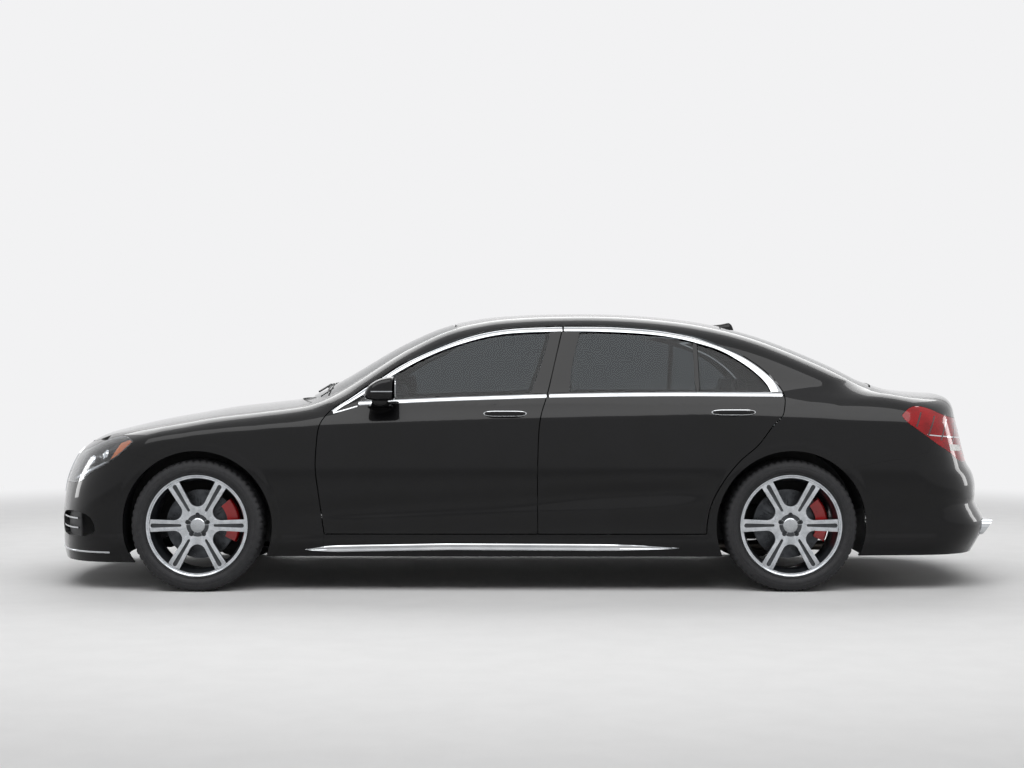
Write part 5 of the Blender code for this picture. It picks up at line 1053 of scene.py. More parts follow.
rimMeshes = {end: wheelRim(wheels[end + "Width"]) for end in ("front", "rear")}
tyreMeshes = {end: wheelTyre(wheels[end + "Width"]) for end in ("front", "rear")}
discMesh = brakeDisc()
for side, hand in hands:
    for end in ("front", "rear"):
        for kind, source, slotName in (("tyre", tyreMeshes[end], "tyre"), ("rim", rimMeshes[end], "alloy"),
                ("disc", discMesh, "disc_iron")):
            piece = bpy.data.objects.new(f"{end}{kind.capitalize()}_{hand}", source.data.copy())
            bpy.context.scene.collection.objects.link(piece)
            wheelPlace(piece, side, end)
            finished(piece, f"{end}_wheel_{hand}", slotName, f"{end}_{kind}_{hand}")
discard(discMesh, *rimMeshes.values(), *tyreMeshes.values())


uprightShape = {"inward": 0.15, "front": (0.19, 0.52), "rear": (0.24, 0.42), "half": 0.014, "armHalf": 0.007,
    "armReach": 0.158, "armTall": 0.045, "spindle": 0.034, "spindleEnd": 0.0424, "bracket": (0.134, 0.156),
    "bracketEnd": 0.064, "bracketTall": 0.04}
beamShape = {"half": 0.05, "reach": 0.6475, "low": 0.24, "high": 0.32, "round": 0.012, "padHalf": 0.03,
    "padY": (0.3, 0.42), "padZ": (0.3, 0.4397), "padRound": 0.006}


def upright(side, end):
    # Post, spindle and arm that carry the wheel and its caliper
    u = uprightShape
    x, centreY = wheels[end + "X"], wheels["outerY"] - wheels[end + "Width"] / 2
    postY, z = centreY - u["inward"], wheels["radius"]
    low, high = u[end]
    half, thin = u["half"], u["armHalf"]
    post = block((x - half, side * (postY - half), low), (x + half, side * (postY + half), high), castAlloy, 0.004)
    spindle = drum(x, z, u["spindle"], side * (postY - thin), side * (centreY - u["spindleEnd"]), 40, castAlloy)
    arm = block((x - thin, side * (postY - thin), z - u["armTall"]),
        (x + u["armReach"], side * (postY + thin), z + u["armTall"]), castAlloy, 0.003)
    bracket = block((x + u["bracket"][0], side * (postY - thin), z - u["bracketTall"]),
        (x + u["bracket"][1], side * (centreY - u["bracketEnd"]), z + u["bracketTall"]), castAlloy, 0.003)
    carve(post, "UNION", spindle, arm, bracket)
    return sharpen(bake(post), 30)


for side, hand in hands:
    knuckle = joined("frontKnuckle_" + hand, [upright(side, "front"), caliper(side, "front")])
    finished(knuckle, "front_knuckle_" + hand, "steel", "front_knuckle_" + hand)
rearX, b = wheels["rearX"], beamShape
beam = block((rearX - b["half"], -b["reach"], b["low"]), (rearX + b["half"], b["reach"], b["high"]), castAlloy,
    b["round"], 3)
for side, hand in hands:
    pad = block((rearX - b["padHalf"], side * b["padY"][0], b["padZ"][0]),
        (rearX + b["padHalf"], side * b["padY"][1], b["padZ"][1]), castAlloy, b["padRound"])
    carve(beam, "UNION", pad)
rearAxle = joined("rearAxle", [bake(beam)] + [upright(s, "rear") for s, h in hands]
    + [caliper(s, "rear") for s, h in hands])
finished(rearAxle, "body", "steel", "rear_axle")
print("wheels and brakes built")


def alongPath(points, count):
    # Even places along a line of (x, z) points
    points = np.array(points, float)
    run = np.concatenate([[0], np.cumsum(np.linalg.norm(np.diff(points, axis=0), axis=1))])
    share = np.linspace(0, run[-1], count)
    return np.stack([np.interp(share, run, points[:, k]) for k in (0, 1)], -1)


crowned = (0.0, 0.75, 0.95, 1.0, 0.95, 0.75, 0.0)
twinRidge = (0.0, 0.9, 1.0, 0.75, 0.12, 0.0, 0.12, 0.75, 1.0, 0.9, 0.0)


def bandFrom(name, base, material, proud=0.0022, lift=0.0008, crown=crowned, sharp=30):
    # A strip that hugs the body: base is a grid of surface points, across the strip in its second axis
    normal = skinNormal(base)
    front = base + normal * (lift + proud * np.array(crown))[None, :, None]
    back = base + normal * (lift - 0.0008)
    rings = [list(f) + list(b[::-1]) for f, b in zip(front, back)]
    return loftSolid(name, rings, material, sharp)


def sideBand(name, side, inner, outer, material, crown=crowned, spacing=0.012, **shape):
    # A strip on the car's side between two lines of (x, z)
    inner, outer = rounded(inner, False), rounded(outer, False)
    length = np.linalg.norm(np.diff(np.array(outer), axis=0), axis=1).sum()
    count = max(6, int(length / spacing))
    a, b = alongPath(inner, count), alongPath(outer, count)
    share = np.linspace(0, 1, len(crown))
    places = a[:, None] + (b - a)[:, None] * share[None, :, None]
    x, z = places[..., 0], places[..., 1]
    base = np.stack([x, skinY(x, z, side), z], -1)
    return bandFrom(name, base, material, crown=crown, **shape)


def lineBand(name, side, path, width, material, crown=crowned, **shape):
    # A strip of even width along one line of (x, z)
    points = np.array(rounded(path, False))
    along = np.gradient(points, axis=0)
    along = along / np.linalg.norm(along, axis=1)[:, None]
    across = np.stack([-along[:, 1], along[:, 0]], -1) * width / 2
    return sideBand(name, side, [tuple(p) for p in points - across], [tuple(p) for p in points + across],
        material, crown, **shape)


def endBand(name, centreX, towards, angles, low, high, material, crown=crowned, **shape):
    # A strip across the nose or the tail, between two heights that may change with the angle
    angles = np.asarray(angles, float)
    share = np.linspace(0, 1, len(crown))
    lows = np.array([low(a) for a in angles])[:, None]
    highs = np.array([high(a) for a in angles])[:, None]
    z = lows + (highs - lows) * share[None, :]
    directions = np.stack([np.broadcast_to(towards * np.cos(angles)[:, None], z.shape),
        np.broadcast_to(np.sin(angles)[:, None], z.shape), np.zeros_like(z)], -1)
    origins = np.stack([np.full_like(z, centreX), np.zeros_like(z), z], -1)
    base = origins + directions * skinReach(origins, directions)[..., None]
    return bandFrom(name, base, material, crown=crown, **shape)


def tube(name, points, radius, material, sides=12):
    # A round bar along a line of points, with flat ends
    points = [Vector(p) for p in points]
    rings = []
    for i, point in enumerate(points):
        ahead = (points[min(i + 1, len(points) - 1)] - points[max(i - 1, 0)]).normalized()
        turn = ahead.to_track_quat("Z", "Y").to_matrix()
        size = radius[i] if isinstance(radius, (list, tuple)) else radius
        rings.append([point + turn @ Vector((size * math.cos(a), size * math.sin(a), 0))
            for a in np.arange(sides) * 2 * math.pi / sides])
    return loftSolid(name, rings, material, 50)


def repeatTree():
    # Geometry Nodes: one small rounded bar at each point of a mesh, turned by the point's own attribute
    tree = bpy.data.node_groups.new("barsAtPoints", "GeometryNodeTree")
    tree.interface.new_socket("Geometry", in_out="INPUT", socket_type="NodeSocketGeometry")
    sizeSocket = tree.interface.new_socket("Bar Size", in_out="INPUT", socket_type="NodeSocketVector")
    sidesSocket = tree.interface.new_socket("Round Sides", in_out="INPUT", socket_type="NodeSocketInt")
    finishSocket = tree.interface.new_socket("Finish", in_out="INPUT", socket_type="NodeSocketMaterial")
    tree.interface.new_socket("Geometry", in_out="OUTPUT", socket_type="NodeSocketGeometry")
    make, link = tree.nodes.new, tree.links.new
    given, result = make("NodeGroupInput"), make("NodeGroupOutput")
    bar = make("GeometryNodeMeshCylinder")
    bar.inputs["Radius"].default_value = 0.5
    bar.inputs["Depth"].default_value = 1.0
    link(given.outputs["Round Sides"], bar.inputs["Vertices"])
    attribute = make("GeometryNodeInputNamedAttribute")
    attribute.data_type = "FLOAT_VECTOR"
    attribute.inputs["Name"].default_value = "turn"
    points = make("GeometryNodeMeshToPoints")
    link(given.outputs["Geometry"], points.inputs["Mesh"])
    place = make("GeometryNodeInstanceOnPoints")
    link(points.outputs["Points"], place.inputs["Points"])
    link(bar.outputs["Mesh"], place.inputs["Instance"])
    turning = make("FunctionNodeEulerToRotation")
    link(attribute.outputs["Attribute"], turning.inputs["Euler"])
    link(turning.outputs["Rotation"], place.inputs["Rotation"])
    link(given.outputs["Bar Size"], place.inputs["Scale"])
    real, finish = make("GeometryNodeRealizeInstances"), make("GeometryNodeSetMaterial")
    link(place.outputs["Instances"], real.inputs["Geometry"])
    link(real.outputs["Geometry"], finish.inputs["Geometry"])
    link(given.outputs["Finish"], finish.inputs["Material"])
    link(finish.outputs["Geometry"], result.inputs["Geometry"])
    return tree, sizeSocket.identifier, sidesSocket.identifier, finishSocket.identifier


barsAtPoints, barSizeInput, roundSidesInput, barFinishInput = repeatTree()


def barsAt(name, points, size, material, turns=None, sides=8):
    # size: width, depth and length of one bar, whose length runs along its own Z
    obj = newObject(name, points, [], None, False)
    attribute = obj.data.attributes.new("turn", "FLOAT_VECTOR", "POINT")
    flat = np.zeros((len(points), 3)) if turns is None else np.array(turns, float)
    attribute.data.foreach_set("vector", flat.ravel())
    step = obj.modifiers.new("bars", "NODES")
    step.node_group = barsAtPoints
    step[barSizeInput] = tuple(float(s) for s in size)
    step[roundSidesInput] = sides
    step[barFinishInput] = material
    bake(obj)
    if not obj.data.materials:
        obj.data.materials.append(material)
    return sharpen(obj, 40)


# Bright trim around the side windows, along the belt and on the sill
frontArcOuter = [(-1.022, 0.962), (-0.995, 0.984), (-0.93, 1.0245), (-0.85, 1.0815), (-0.764, 1.134),
    (-0.664, 1.202), (-0.558, 1.2565), (-0.451, 1.3025), (-0.344, 1.3445), (-0.2365, 1.3768), (-0.1278, 1.397),
    (0.0, 1.4092), (0.2145, 1.4155)]
frontArcInner = [(-1.01, 0.955), (-0.985, 0.972), (-0.924, 1.01), (-0.846, 1.0575), (-0.7715, 1.1085),
    (-0.6665, 1.1765), (-0.561, 1.2342), (-0.454, 1.2822), (-0.3455, 1.3222), (-0.2375, 1.3542),
    (-0.1283, 1.3762), (-0.018, 1.3872), (0.2145, 1.3935)]
rearArcOuter = [(0.2245, 1.4155), (0.422, 1.4155), (0.532, 1.4115), (0.697, 1.3995), (0.807, 1.3835),
    (0.915, 1.3625), (0.968, 1.3477), (1.0742, 1.3058), (1.181, 1.2578), (1.2325, 1.2252), (1.284, 1.1865),
    (1.3325, 1.141), (1.3655, 1.0995), (1.3875, 1.0625)]
rearArcInner = [(0.2245, 1.3935), (0.422, 1.3932), (0.697, 1.3782), (0.8625, 1.3522), (0.9707, 1.3217),
    (1.077, 1.2857), (1.184, 1.2235), (1.2612, 1.1612), (1.3113, 1.105), (1.3268, 1.0635)]
beltFront = [(-0.88, 1.003), (-0.66, 1.0135), (-0.4, 1.0255), (-0.126, 1.0345), (0.1235, 1.0425)]
beltRear = [(0.1395, 1.043), (0.41, 1.0485), (0.7, 1.0515), (0.94, 1.053), (1.385, 1.05)]
trimDesign = {"beltWidth": 0.0205, "proud": 0.0026, "postProud": 0.0012, "sillLow": 0.223, "sillHigh": 0.2575,
    "sillFront": -1.162, "sillRear": 0.831, "divisionX": (0.922, 0.95)}
for side, hand in hands:
    frontBody, rearBody = "front_door_" + hand, "rear_door_" + hand
    t = trimDesign
    triangle = sideBand("tool", side, [(-1.008, 0.953), (-0.9, 0.978), (-0.872, 0.992)],
        [(-1.006, 0.9565), (-0.92, 1.008), (-0.872, 1.038)], glossPlastic, proud=t["postProud"], lift=0.0005)
    arc = sideBand("tool", side, frontArcInner, frontArcOuter, chromePlate, proud=t["proud"])
    belt = lineBand("tool", side, beltFront, t["beltWidth"], chromePlate, proud=t["proud"])
    corner = lineBand("tool", side, [(-1.014, 0.9515), (-0.96, 0.966), (-0.885, 0.988)], 0.008, chromePlate)
    finished(joined("frontWindowChrome_" + hand, [arc, belt, corner]), frontBody, "chrome")
    post = sideBand("tool", side, [(0.0425, 1.056), (0.0975, 1.204), (0.152, 1.389)],
        [(0.1262, 1.056), (0.16, 1.204), (0.2063, 1.389)], glossPlastic, proud=t["postProud"])
    finished(joined("frontWindowPosts_" + hand, [triangle, post]), frontBody, "trim")
    arc = sideBand("tool", side, rearArcInner, rearArcOuter, chromePlate, proud=t["proud"])
    belt = lineBand("tool", side, beltRear, t["beltWidth"], chromePlate, proud=t["proud"])
    finished(joined("rearWindowChrome_" + hand, [arc, belt]), rearBody, "chrome")
    near, far = t["divisionX"]
    post = sideBand("tool", side, [(0.1345, 1.0565), (0.1685, 1.204), (0.215, 1.389)],
        [(0.243, 1.0605), (0.263, 1.204), (0.3078, 1.389)], glossPlastic, proud=t["postProud"])
    division = sideBand("tool", side, [(near, 1.062), (near, 1.345)], [(far, 1.062), (far, 1.336)],
        glossPlastic, proud=0.004, lift=-0.0085)
    finished(joined("rearWindowPosts_" + hand, [post, division]), rearBody, "trim")
    sillXs = np.linspace(t["sillFront"], t["sillRear"], 120)
    share = (sillXs - t["sillFront"]) / (t["sillRear"] - t["sillFront"])
    swell = np.clip(np.minimum(share / 0.1, (1 - share) / 0.22), 0, 1)
    swell = swell * (2 - swell)
    middle = np.interp(sillXs, (t["sillFront"], -0.4, t["sillRear"]), (0.2255, 0.24, 0.234))
    half = 0.0008 + swell * (t["sillHigh"] - t["sillLow"]) / 2
    finished(sideBand("sillTrim_" + hand, side, list(zip(sillXs, middle - half)),
        list(zip(sillXs, middle + half)), chromePlate, crown=twinRidge, spacing=0.016, proud=0.0045), "body",
        "chrome")
print("bright trim built")


# Door handles: a painted pull with a chrome rim, standing off the door over its cup
handleShape = {"halfHeight": 0.0125, "stand": 0.02, "rimDepth": 0.0035, "pullDepth": 0.011}


def handleBar(side, handle, halfHeight, inner, outer, material):
    h = handleShape
    front, rear, z = handle
    rings = []
    for u in np.linspace(0, 1, 40):
        swell = (1 - abs(2 * u - 1) ** 5) ** 0.5
        x = front + (rear - front) * u
        base = float(skinY(x, z, side))
        lift = h["stand"] * (1 - abs(2 * u - 1) ** 4) - 0.002
        tall = max(halfHeight * swell, 0.0004)
        low, high = lift + inner * max(swell, 0.05), lift + outer * max(swell, 0.08)
        middle, deep = (low + high) / 2, (high - low) / 2
        ring = []
        for a in np.arange(16) * math.pi / 8:
            c, s = math.cos(a), math.sin(a)
            ring.append((x, base + side * (middle + deep * math.copysign(abs(c) ** 0.7, c)),
                z + tall * math.copysign(abs(s) ** 0.8, s)))
        rings.append(ring)
    return loftSolid("tool", rings, material, 60)


for side, hand in hands:
    for end in ("front", "rear"):
        h, handle = handleShape, doors[end]["handle"]
        rim = handleBar(side, handle, h["halfHeight"] + 0.0022, 0.0, h["rimDepth"], chromePlate)
        pull = handleBar(side, (handle[0] + 0.004, handle[1] - 0.004, handle[2]), h["halfHeight"] - 0.0008,
            h["rimDepth"] + 0.0001, h["pullDepth"], blackLacquer)
        finished(joined(f"{end}Handle_{hand}", [rim, pull]), f"{end}_door_{hand}", "chrome")


# Wheel-arch liners: a lip behind the wing's edge, then a deeper tunnel where the front wheel swings
linerShape = {"lip": 0.4045, "deep": 0.452, "wall": 0.004, "lipEdge": 0.9, "lipInner": 0.8, "frontInner": 0.462,
    "rearInner": 0.566, "span": (-22, 202)}


def archLiner(side, end):
    s, axleX, axleZ = linerShape, wheels[end + "X"], wheels["radius"]
    rings = []
    for turn in np.radians(np.linspace(*s["span"], 84)):
        reachX, reachZ = axleX + s["lip"] * math.cos(turn), axleZ + s["lip"] * math.sin(turn)
        edge = min(s["lipEdge"], abs(float(skinY(reachX, reachZ, side))) - 0.031)
        wall, lip, deep = s["wall"], s["lip"], s["deep"] if end == "front" else s["lip"]
        if end == "front":
            profile = [(lip, edge), (lip, s["lipInner"]), (deep, s["lipInner"]), (deep, s["frontInner"] + wall),
                (0.16, s["frontInner"] + wall), (0.16, s["frontInner"]), (deep + wall, s["frontInner"]),
                (deep + wall, s["lipInner"] + wall), (lip + wall, s["lipInner"] + wall), (lip + wall, edge)]
        else:
            profile = [(lip, edge), (lip, s["rearInner"]), (lip + wall, s["rearInner"]), (lip + wall, edge)]
        rings.append([(axleX + r * math.cos(turn), side * y, axleZ + r * math.sin(turn)) for r, y in profile])
    return loftSolid("tool", rings, grainedPlastic, 30)


for side, hand in hands:
    liners = joined("archLiners_" + hand, [archLiner(side, "front"), archLiner(side, "rear")])
    finished(liners, "body", "trim")
print("handles and arch liners built")


# Door mirrors: a rounded shell on a short arm, silvered glass behind, a thin bright line over the repeater
mirrorShape = {"outline": [(-0.842, 1.056), (-0.826, 1.086), (-0.806, 1.11), (-0.76, 1.137), (-0.699, 1.149),
    (-0.677, 1.142), (-0.675, 1.09), (-0.677, 1.03), (-0.69, 1.02), (-0.76, 1.017), (-0.826, 1.024),
    (-0.84, 1.036)], "sections": ((0.915, 0.5), (0.918, 0.68), (0.926, 0.83), (0.945, 0.95), (0.975, 1.0),
    (1.005, 0.985), (1.028, 0.93), (1.044, 0.83), (1.054, 0.66), (1.058, 0.42), (1.0585, 0.1)),
    "centre": (-0.752, 1.083), "glassX": -0.6755}


def mirrorShell(side, grow, material):
    m = mirrorShape
    outline = np.array(rounded(m["outline"], True, 2))
    centre = np.array(m["centre"])
    rings = []
    for y, size in m["sections"]:
        ring = centre + (outline - centre) * size * (1 + grow)
        rings.append([(min(x, m["glassX"]), side * (y + grow * 0.05), z) for x, z in ring])
    return loftSolid("tool", rings, material, 50)


for side, hand in hands:
    shell = mirrorShell(side, 0.0, blackLacquer)
    line = mirrorShell(side, 0.012, satinChrome)
    carve(line, "INTERSECT", block((-0.8, side * 0.93, 1.0665), (-0.6835, side * 1.07, 1.0715)))
    bake(line)
    glass = prism(rounded([(side * 0.936, 1.036), (side * 0.944, 1.122), (side * 0.96, 1.129),
        (side * 1.024, 1.124), (side * 1.038, 1.108), (side * 1.04, 1.05), (side * 1.028, 1.034)], True, 2),
        "X", -0.6745, -0.6725, mirrorSilver)
    ledge = prism(rounded([(side * 0.93, 1.028), (side * 0.938, 1.13), (side * 0.96, 1.137),
        (side * 1.028, 1.131), (side * 1.044, 1.112), (side * 1.046, 1.046), (side * 1.034, 1.028)], True, 2),
        "X", -0.6755, -0.6748, glossPlastic)
    rings = []
    for lift, z, halfX, halfZ in ((-0.006, 0.984, 0.072, 0.02), (0.012, 0.987, 0.062, 0.017),
            (0.03, 0.995, 0.05, 0.016), (0.046, 1.008, 0.044, 0.018), (0.058, 1.024, 0.042, 0.02)):
        y = float(skinY(-0.76, 0.985, side)) + side * lift
        rings.append([(-0.76 + halfX * math.cos(a), y, z + halfZ * math.sin(a))
            for a in np.arange(20) * math.pi / 10])
    arm = loftSolid("tool", rings, glossPlastic, 50)
    finished(joined("doorMirror_" + hand, [shell, line, glass, ledge, arm]), "front_door_" + hand, "paint",
        "mirror_" + hand)
print("door mirrors built")


def turnedAt(profile, place, direction, material, count=36):
    # A solid turned from a closed profile of (radius, height), stood along a direction
    vertices, faces = lathe(profile, count)
    obj = newObject("tool", vertices, faces, material)
    turn = Vector(direction).to_track_quat("Z", "Y").to_matrix().to_4x4()
    obj.data.transform(Matrix.Translation(place) @ turn)
    return sharpen(obj, 40)


def skinPatch(rays, outline, side, outerDepth, innerDepth, material, axis="Y", reach=None):
    # A layer of the surface cut out by an outline seen from the side or from an end
    patch = skinSolid("tool", rays, outerDepth, innerDepth, material)
    low, high = reach or oneSide(side)
    carve(patch, "INTERSECT", prism(outline, axis, low, high))
    return bake(patch)


# Headlamps: a clear cover over a dark bowl with two projectors, an amber reflector and a pale light guide
headlampShape = {"cover": 0.003, "bowl": 0.0036, "back": 0.075, "hollow": 0.06, "rim": 0.007,
    "projectorDepth": 0.04, "reflector": [(-2.15, 0.79), (-2.105, 0.806), (-2.084, 0.797), (-2.11, 0.77),
    (-2.165, 0.728), (-2.205, 0.703), (-2.18, 0.745)], "guide": [(-2.43, 0.6), (-2.33, 0.648), (-2.24, 0.688),
    (-2.205, 0.697), (-2.212, 0.688), (-2.33, 0.636), (-2.425, 0.59)],
    "projectors": ((-2.262, 0.742, 0.026), (-2.352, 0.704, 0.028))}


def lampRays(side, centreX, towards, low, high, first, last, columns=72, rows=46):
    return endRays(centreX, towards, side * np.radians(np.linspace(first, last, columns)),
        np.linspace(low, high, rows))


def headlamp(side, hand):
    s = headlampShape
    rays = lampRays(side, -1.9, -1, 0.54, 0.86, 14, 83)
    reach = oneSide(side, lampInnerY)
    face, inner = offsetEdge(headlampLine, -panelGap), offsetEdge(headlampLine, -s["rim"])
    bowl = skinSolid("tool", rays, s["bowl"], s["back"], glossPlastic)
    carve(bowl, "INTERSECT", prism(face, "Y", *reach))
    hollow = skinSolid("tool", rays, -0.01, s["hollow"], glossPlastic)
    carve(hollow, "INTERSECT", prism(inner, "Y", *oneSide(side, lampInnerY + s["rim"])))
    carve(bowl, "DIFFERENCE", hollow)
    pieces = [bake(bowl), skinPatch(rays, s["reflector"], side, 0.01, 0.02, amberAcrylic),
        skinPatch(rays, s["guide"], side, 0.008, 0.016, satinChrome)]
    for x, z, radius in s["projectors"]:
        base = Vector((x, float(skinY(x, z, side)), z))
        out = Vector(skinNormal(np.array(base)))
        place = base - out * s["projectorDepth"]
        aim = (out + Vector((-1.2, 0, 0))).normalized()
        ring = [(radius - 0.002, 0.0), (radius + 0.005, 0.0), (radius + 0.004, 0.012), (radius, 0.014),
            (radius - 0.003, 0.008)]
        dome = [(0.0001, 0.0), (radius - 0.0035, 0.0), (radius * 0.8, 0.011), (radius * 0.45, 0.019),
            (0.0001, 0.022)]
        pieces += [turnedAt(ring, place, aim, chromePlate), turnedAt(dome, place, aim, mirrorSilver)]
    finished(joined("headlampBody_" + hand, pieces), "body", "trim", "headlamp_" + hand)
    cover = skinSolid("headlampCover_" + hand, rays, 0.0, s["cover"], clearLens)
    carve(cover, "INTERSECT", prism(face, "Y", *reach))
    finished(glossNormals(bake(cover), 0.0, 0.001), "body", "clear_lens")


# Tail lamps: a deep red lens with diagonal dark bars, a thin bright line and a pale reversing window
smokedRed = newMaterial("smokedRedAcrylic", "4a050a", 0.07, (60.0, 0.00003, 0.3), "36040a",
    **{"Coat Weight": 0.8, "Coat Roughness": 0.03})
tailLampShape = {"depth": 0.024, "proud": 0.0006, "sink": 0.004, "barWidth": 0.01, "barSlope": 0.45,
    "bars": ((2.105, 0.9), (2.185, 0.88), (2.265, 0.86), (2.345, 0.84)), "barHalf": 0.055,
    "window": [(2.3, 0.748), (2.392, 0.74), (2.386, 0.772), (2.296, 0.782)],
    "line": [(2.06, 0.842), (2.42, 0.806), (2.42, 0.812), (2.06, 0.848)]}


def tailLamp(side, hand):
    s = tailLampShape
    rays = lampRays(side, 1.8, 1, 0.675, 1.01, 16, 82)
    reach = oneSide(side, tailLampInnerY)
    lens = skinSolid("tool", rays, 0.0, s["depth"], redAcrylic)
    carve(lens, "INTERSECT", prism(offsetEdge(tailLampLine, -2 * panelGap), "Y", *reach))
    inside = prism(offsetEdge(tailLampLine, -0.01), "Y", *oneSide(side, tailLampInnerY + 0.01))
    pieces = [glossNormals(bake(lens))]
    shapes = [(s["line"], chromePlate), (s["window"], plateEnamel)]
    for x, z in s["bars"]:
        half, wide = s["barHalf"], s["barWidth"] / 2
        lean = half * s["barSlope"]
        shapes.append(([(x - lean - wide, z - half), (x - lean + wide, z - half), (x + lean + wide, z + half),
            (x + lean - wide, z + half)], smokedRed))
    for outline, material in shapes:
        patch = skinSolid("tool", rays, -s["proud"], s["sink"], material)
        carve(patch, "INTERSECT", prism(outline, "Y", *reach), inside)
        pieces.append(bake(patch))
    pieces = [piece for piece in pieces if len(piece.data.polygons)]
    finished(joined("tailLamp_" + hand, pieces), "body", "red_lens", "tail_lamp_" + hand)


for side, hand in hands:
    headlamp(side, hand)
    tailLamp(side, hand)
print("lamps built")


# Grille: a chrome surround with four bright bars over upright dark slats
grilleShape = {"inset": 0.02, "proud": 0.006, "back": 0.03, "bars": (0.548, 0.592, 0.636, 0.68, 0.72),
    "barHalf": 0.0055, "slatSpacing": 0.0175, "slat": (0.01, 0.005, 0.225), "slatDepth": 0.024,
    "slatReach": 0.35, "slatEnds": (0.515, 0.73)}


def grille():
    g = grilleShape
    rays = endRays(-1.75, -1, np.radians(np.linspace(-31, 31, 90)), np.linspace(0.49, 0.78, 44))
    inside = prism(offsetEdge(grilleFront, -g["inset"]), "X", -3.1, -2.2)
    outside = prism(offsetEdge(grilleFront, -panelGap), "X", -3.1, -2.2)
    surround = skinSolid("tool", rays, -g["proud"], g["back"], chromePlate)
    carve(surround, "INTERSECT", outside)
    carve(surround, "DIFFERENCE", inside)
    bevel = surround.modifiers.new("edges", "BEVEL")
    bevel.width, bevel.segments, bevel.limit_method = 0.003, 2, "ANGLE"
    pieces = [bake(surround)]
    panel = skinSolid("tool", rays, g["back"], g["back"] + 0.005, glossPlastic)
    carve(panel, "INTERSECT", outside)
    pieces.append(bake(panel))
    for z in g["bars"]:
        bar = skinSolid("tool", rays, 0.0005, 0.014, chromePlate)
        carve(bar, "INTERSECT", block((-3.1, -0.5, z - g["barHalf"]), (-2.2, 0.5, z + g["barHalf"])), inside)
        pieces.append(bake(bar))
    ys = steps(-g["slatReach"], g["slatReach"], g["slatSpacing"])
    places, turns = [], []
    for y in ys:
        xs = []
        for z in g["slatEnds"]:
            origin = np.array([[-1.75, y, z]])
            xs.append(-1.75 - float(skinReach(origin, np.array([[-1.0, 0.0, 0.0]]))[0]) + g["slatDepth"])
        places.append((sum(xs) / 2, y, sum(g["slatEnds"]) / 2))
        turns.append((0, math.atan2(xs[1] - xs[0], g["slatEnds"][1] - g["slatEnds"][0]), 0))
    slats = barsAt("tool", places, g["slat"], glossPlastic, turns, 6)
    finished(joined("grille", pieces + [slats]), "body", "chrome", "grille")


frontShape = {"fan": (-50, 50, 120), "reach": (0.2, 0.46, 30), "meshDepth": (0.031, 0.036),
    "stripHeights": (0.33, 0.382), "stripHalf": 0.004, "stripDepth": (0.004, 0.014),
    "stripReach": (0.545, 0.83), "lipFan": (-62, 62, 120), "lip": (0.2, 0.211), "lipProud": 0.004,
    "slatHeights": (0.262, 0.286, 0.31, 0.334, 0.358, 0.382), "slatHalf": 0.003, "slatDepth": (0.016, 0.026),
    "slatReach": 0.445}


def frontDetails():
    # The mesh behind the bumper's openings, the bright strips across them and the low bright lip
    f = frontShape
    rays = endRays(-1.75, -1, np.radians(np.linspace(*f["fan"])), np.linspace(*f["reach"]))
    backing = skinSolid("bumperMesh", rays, *f["meshDepth"], grainedPlastic)
    finished(bake(backing), "body", "trim")
    near, far = f["stripReach"]
    strips = [frontStrip(rays, f["stripDepth"], (side * near, side * far), z, f["stripHalf"], chromePlate)
        for side, hand in hands for z in f["stripHeights"]]
    low, high = f["lip"]
    lip = endBand("tool", -1.75, -1, np.radians(np.linspace(*f["lipFan"])), lambda a: low, lambda a: high,
        chromePlate, proud=f["lipProud"])
    finished(joined("bumperBrightwork", strips + [lip]), "body", "chrome")
    half = f["slatReach"]
    slats = [frontStrip(rays, f["slatDepth"], (-half, half), z, f["slatHalf"], grainedPlastic)
        for z in f["slatHeights"]]
    finished(joined("intakeSlats", slats), "body", "trim")


def frontStrip(rays, depth, reach, z, half, material):
    # A level strip across the nose at a depth below its surface
    strip = skinSolid("tool", rays, *depth, material)
    rear = -1.9 if min(reach) > 0 or max(reach) < 0 else -2.2
    carve(strip, "INTERSECT", block((-3.1, reach[0], z - half), (rear, reach[1], z + half)))
    return bake(strip)


grille()
frontDetails()

# The tail: a grained diffuser, a blank plate in its recess and a bright line between the lamps
plateShape = {"y": 0.262, "low": 0.48, "high": 0.592, "corner": 0.012}
rearRays = endRays(1.57, 1, np.radians(np.linspace(-50, 50, 100)), np.linspace(0.19, 0.66, 60))
plate = skinSolid("blankPlate", rearRays, -0.004, 0.002, plateEnamel)
p = plateShape
carve(plate, "INTERSECT", block((2.0, -p["y"], p["low"]), (3.0, p["y"], p["high"]), None, p["corner"], 4))
finished(bake(plate), "body", "paint")
diffuser = skinSolid("rearDiffuser", rearRays, -0.003, 0.012, grainedPlastic)
carve(diffuser, "INTERSECT", prism([(-0.42, 0.2), (0.42, 0.2), (0.4, 0.33), (-0.4, 0.33)], "X", 2.2, 2.9))
finished(bake(diffuser), "body", "trim")
lidLine = endBand("lidBrightLine", 1.57, 1, np.radians(np.linspace(-25, 25, 80)), lambda a: 0.838,
    lambda a: 0.85, chromePlate, proud=0.004)
finished(lidLine, "trunk_lid", "chrome")


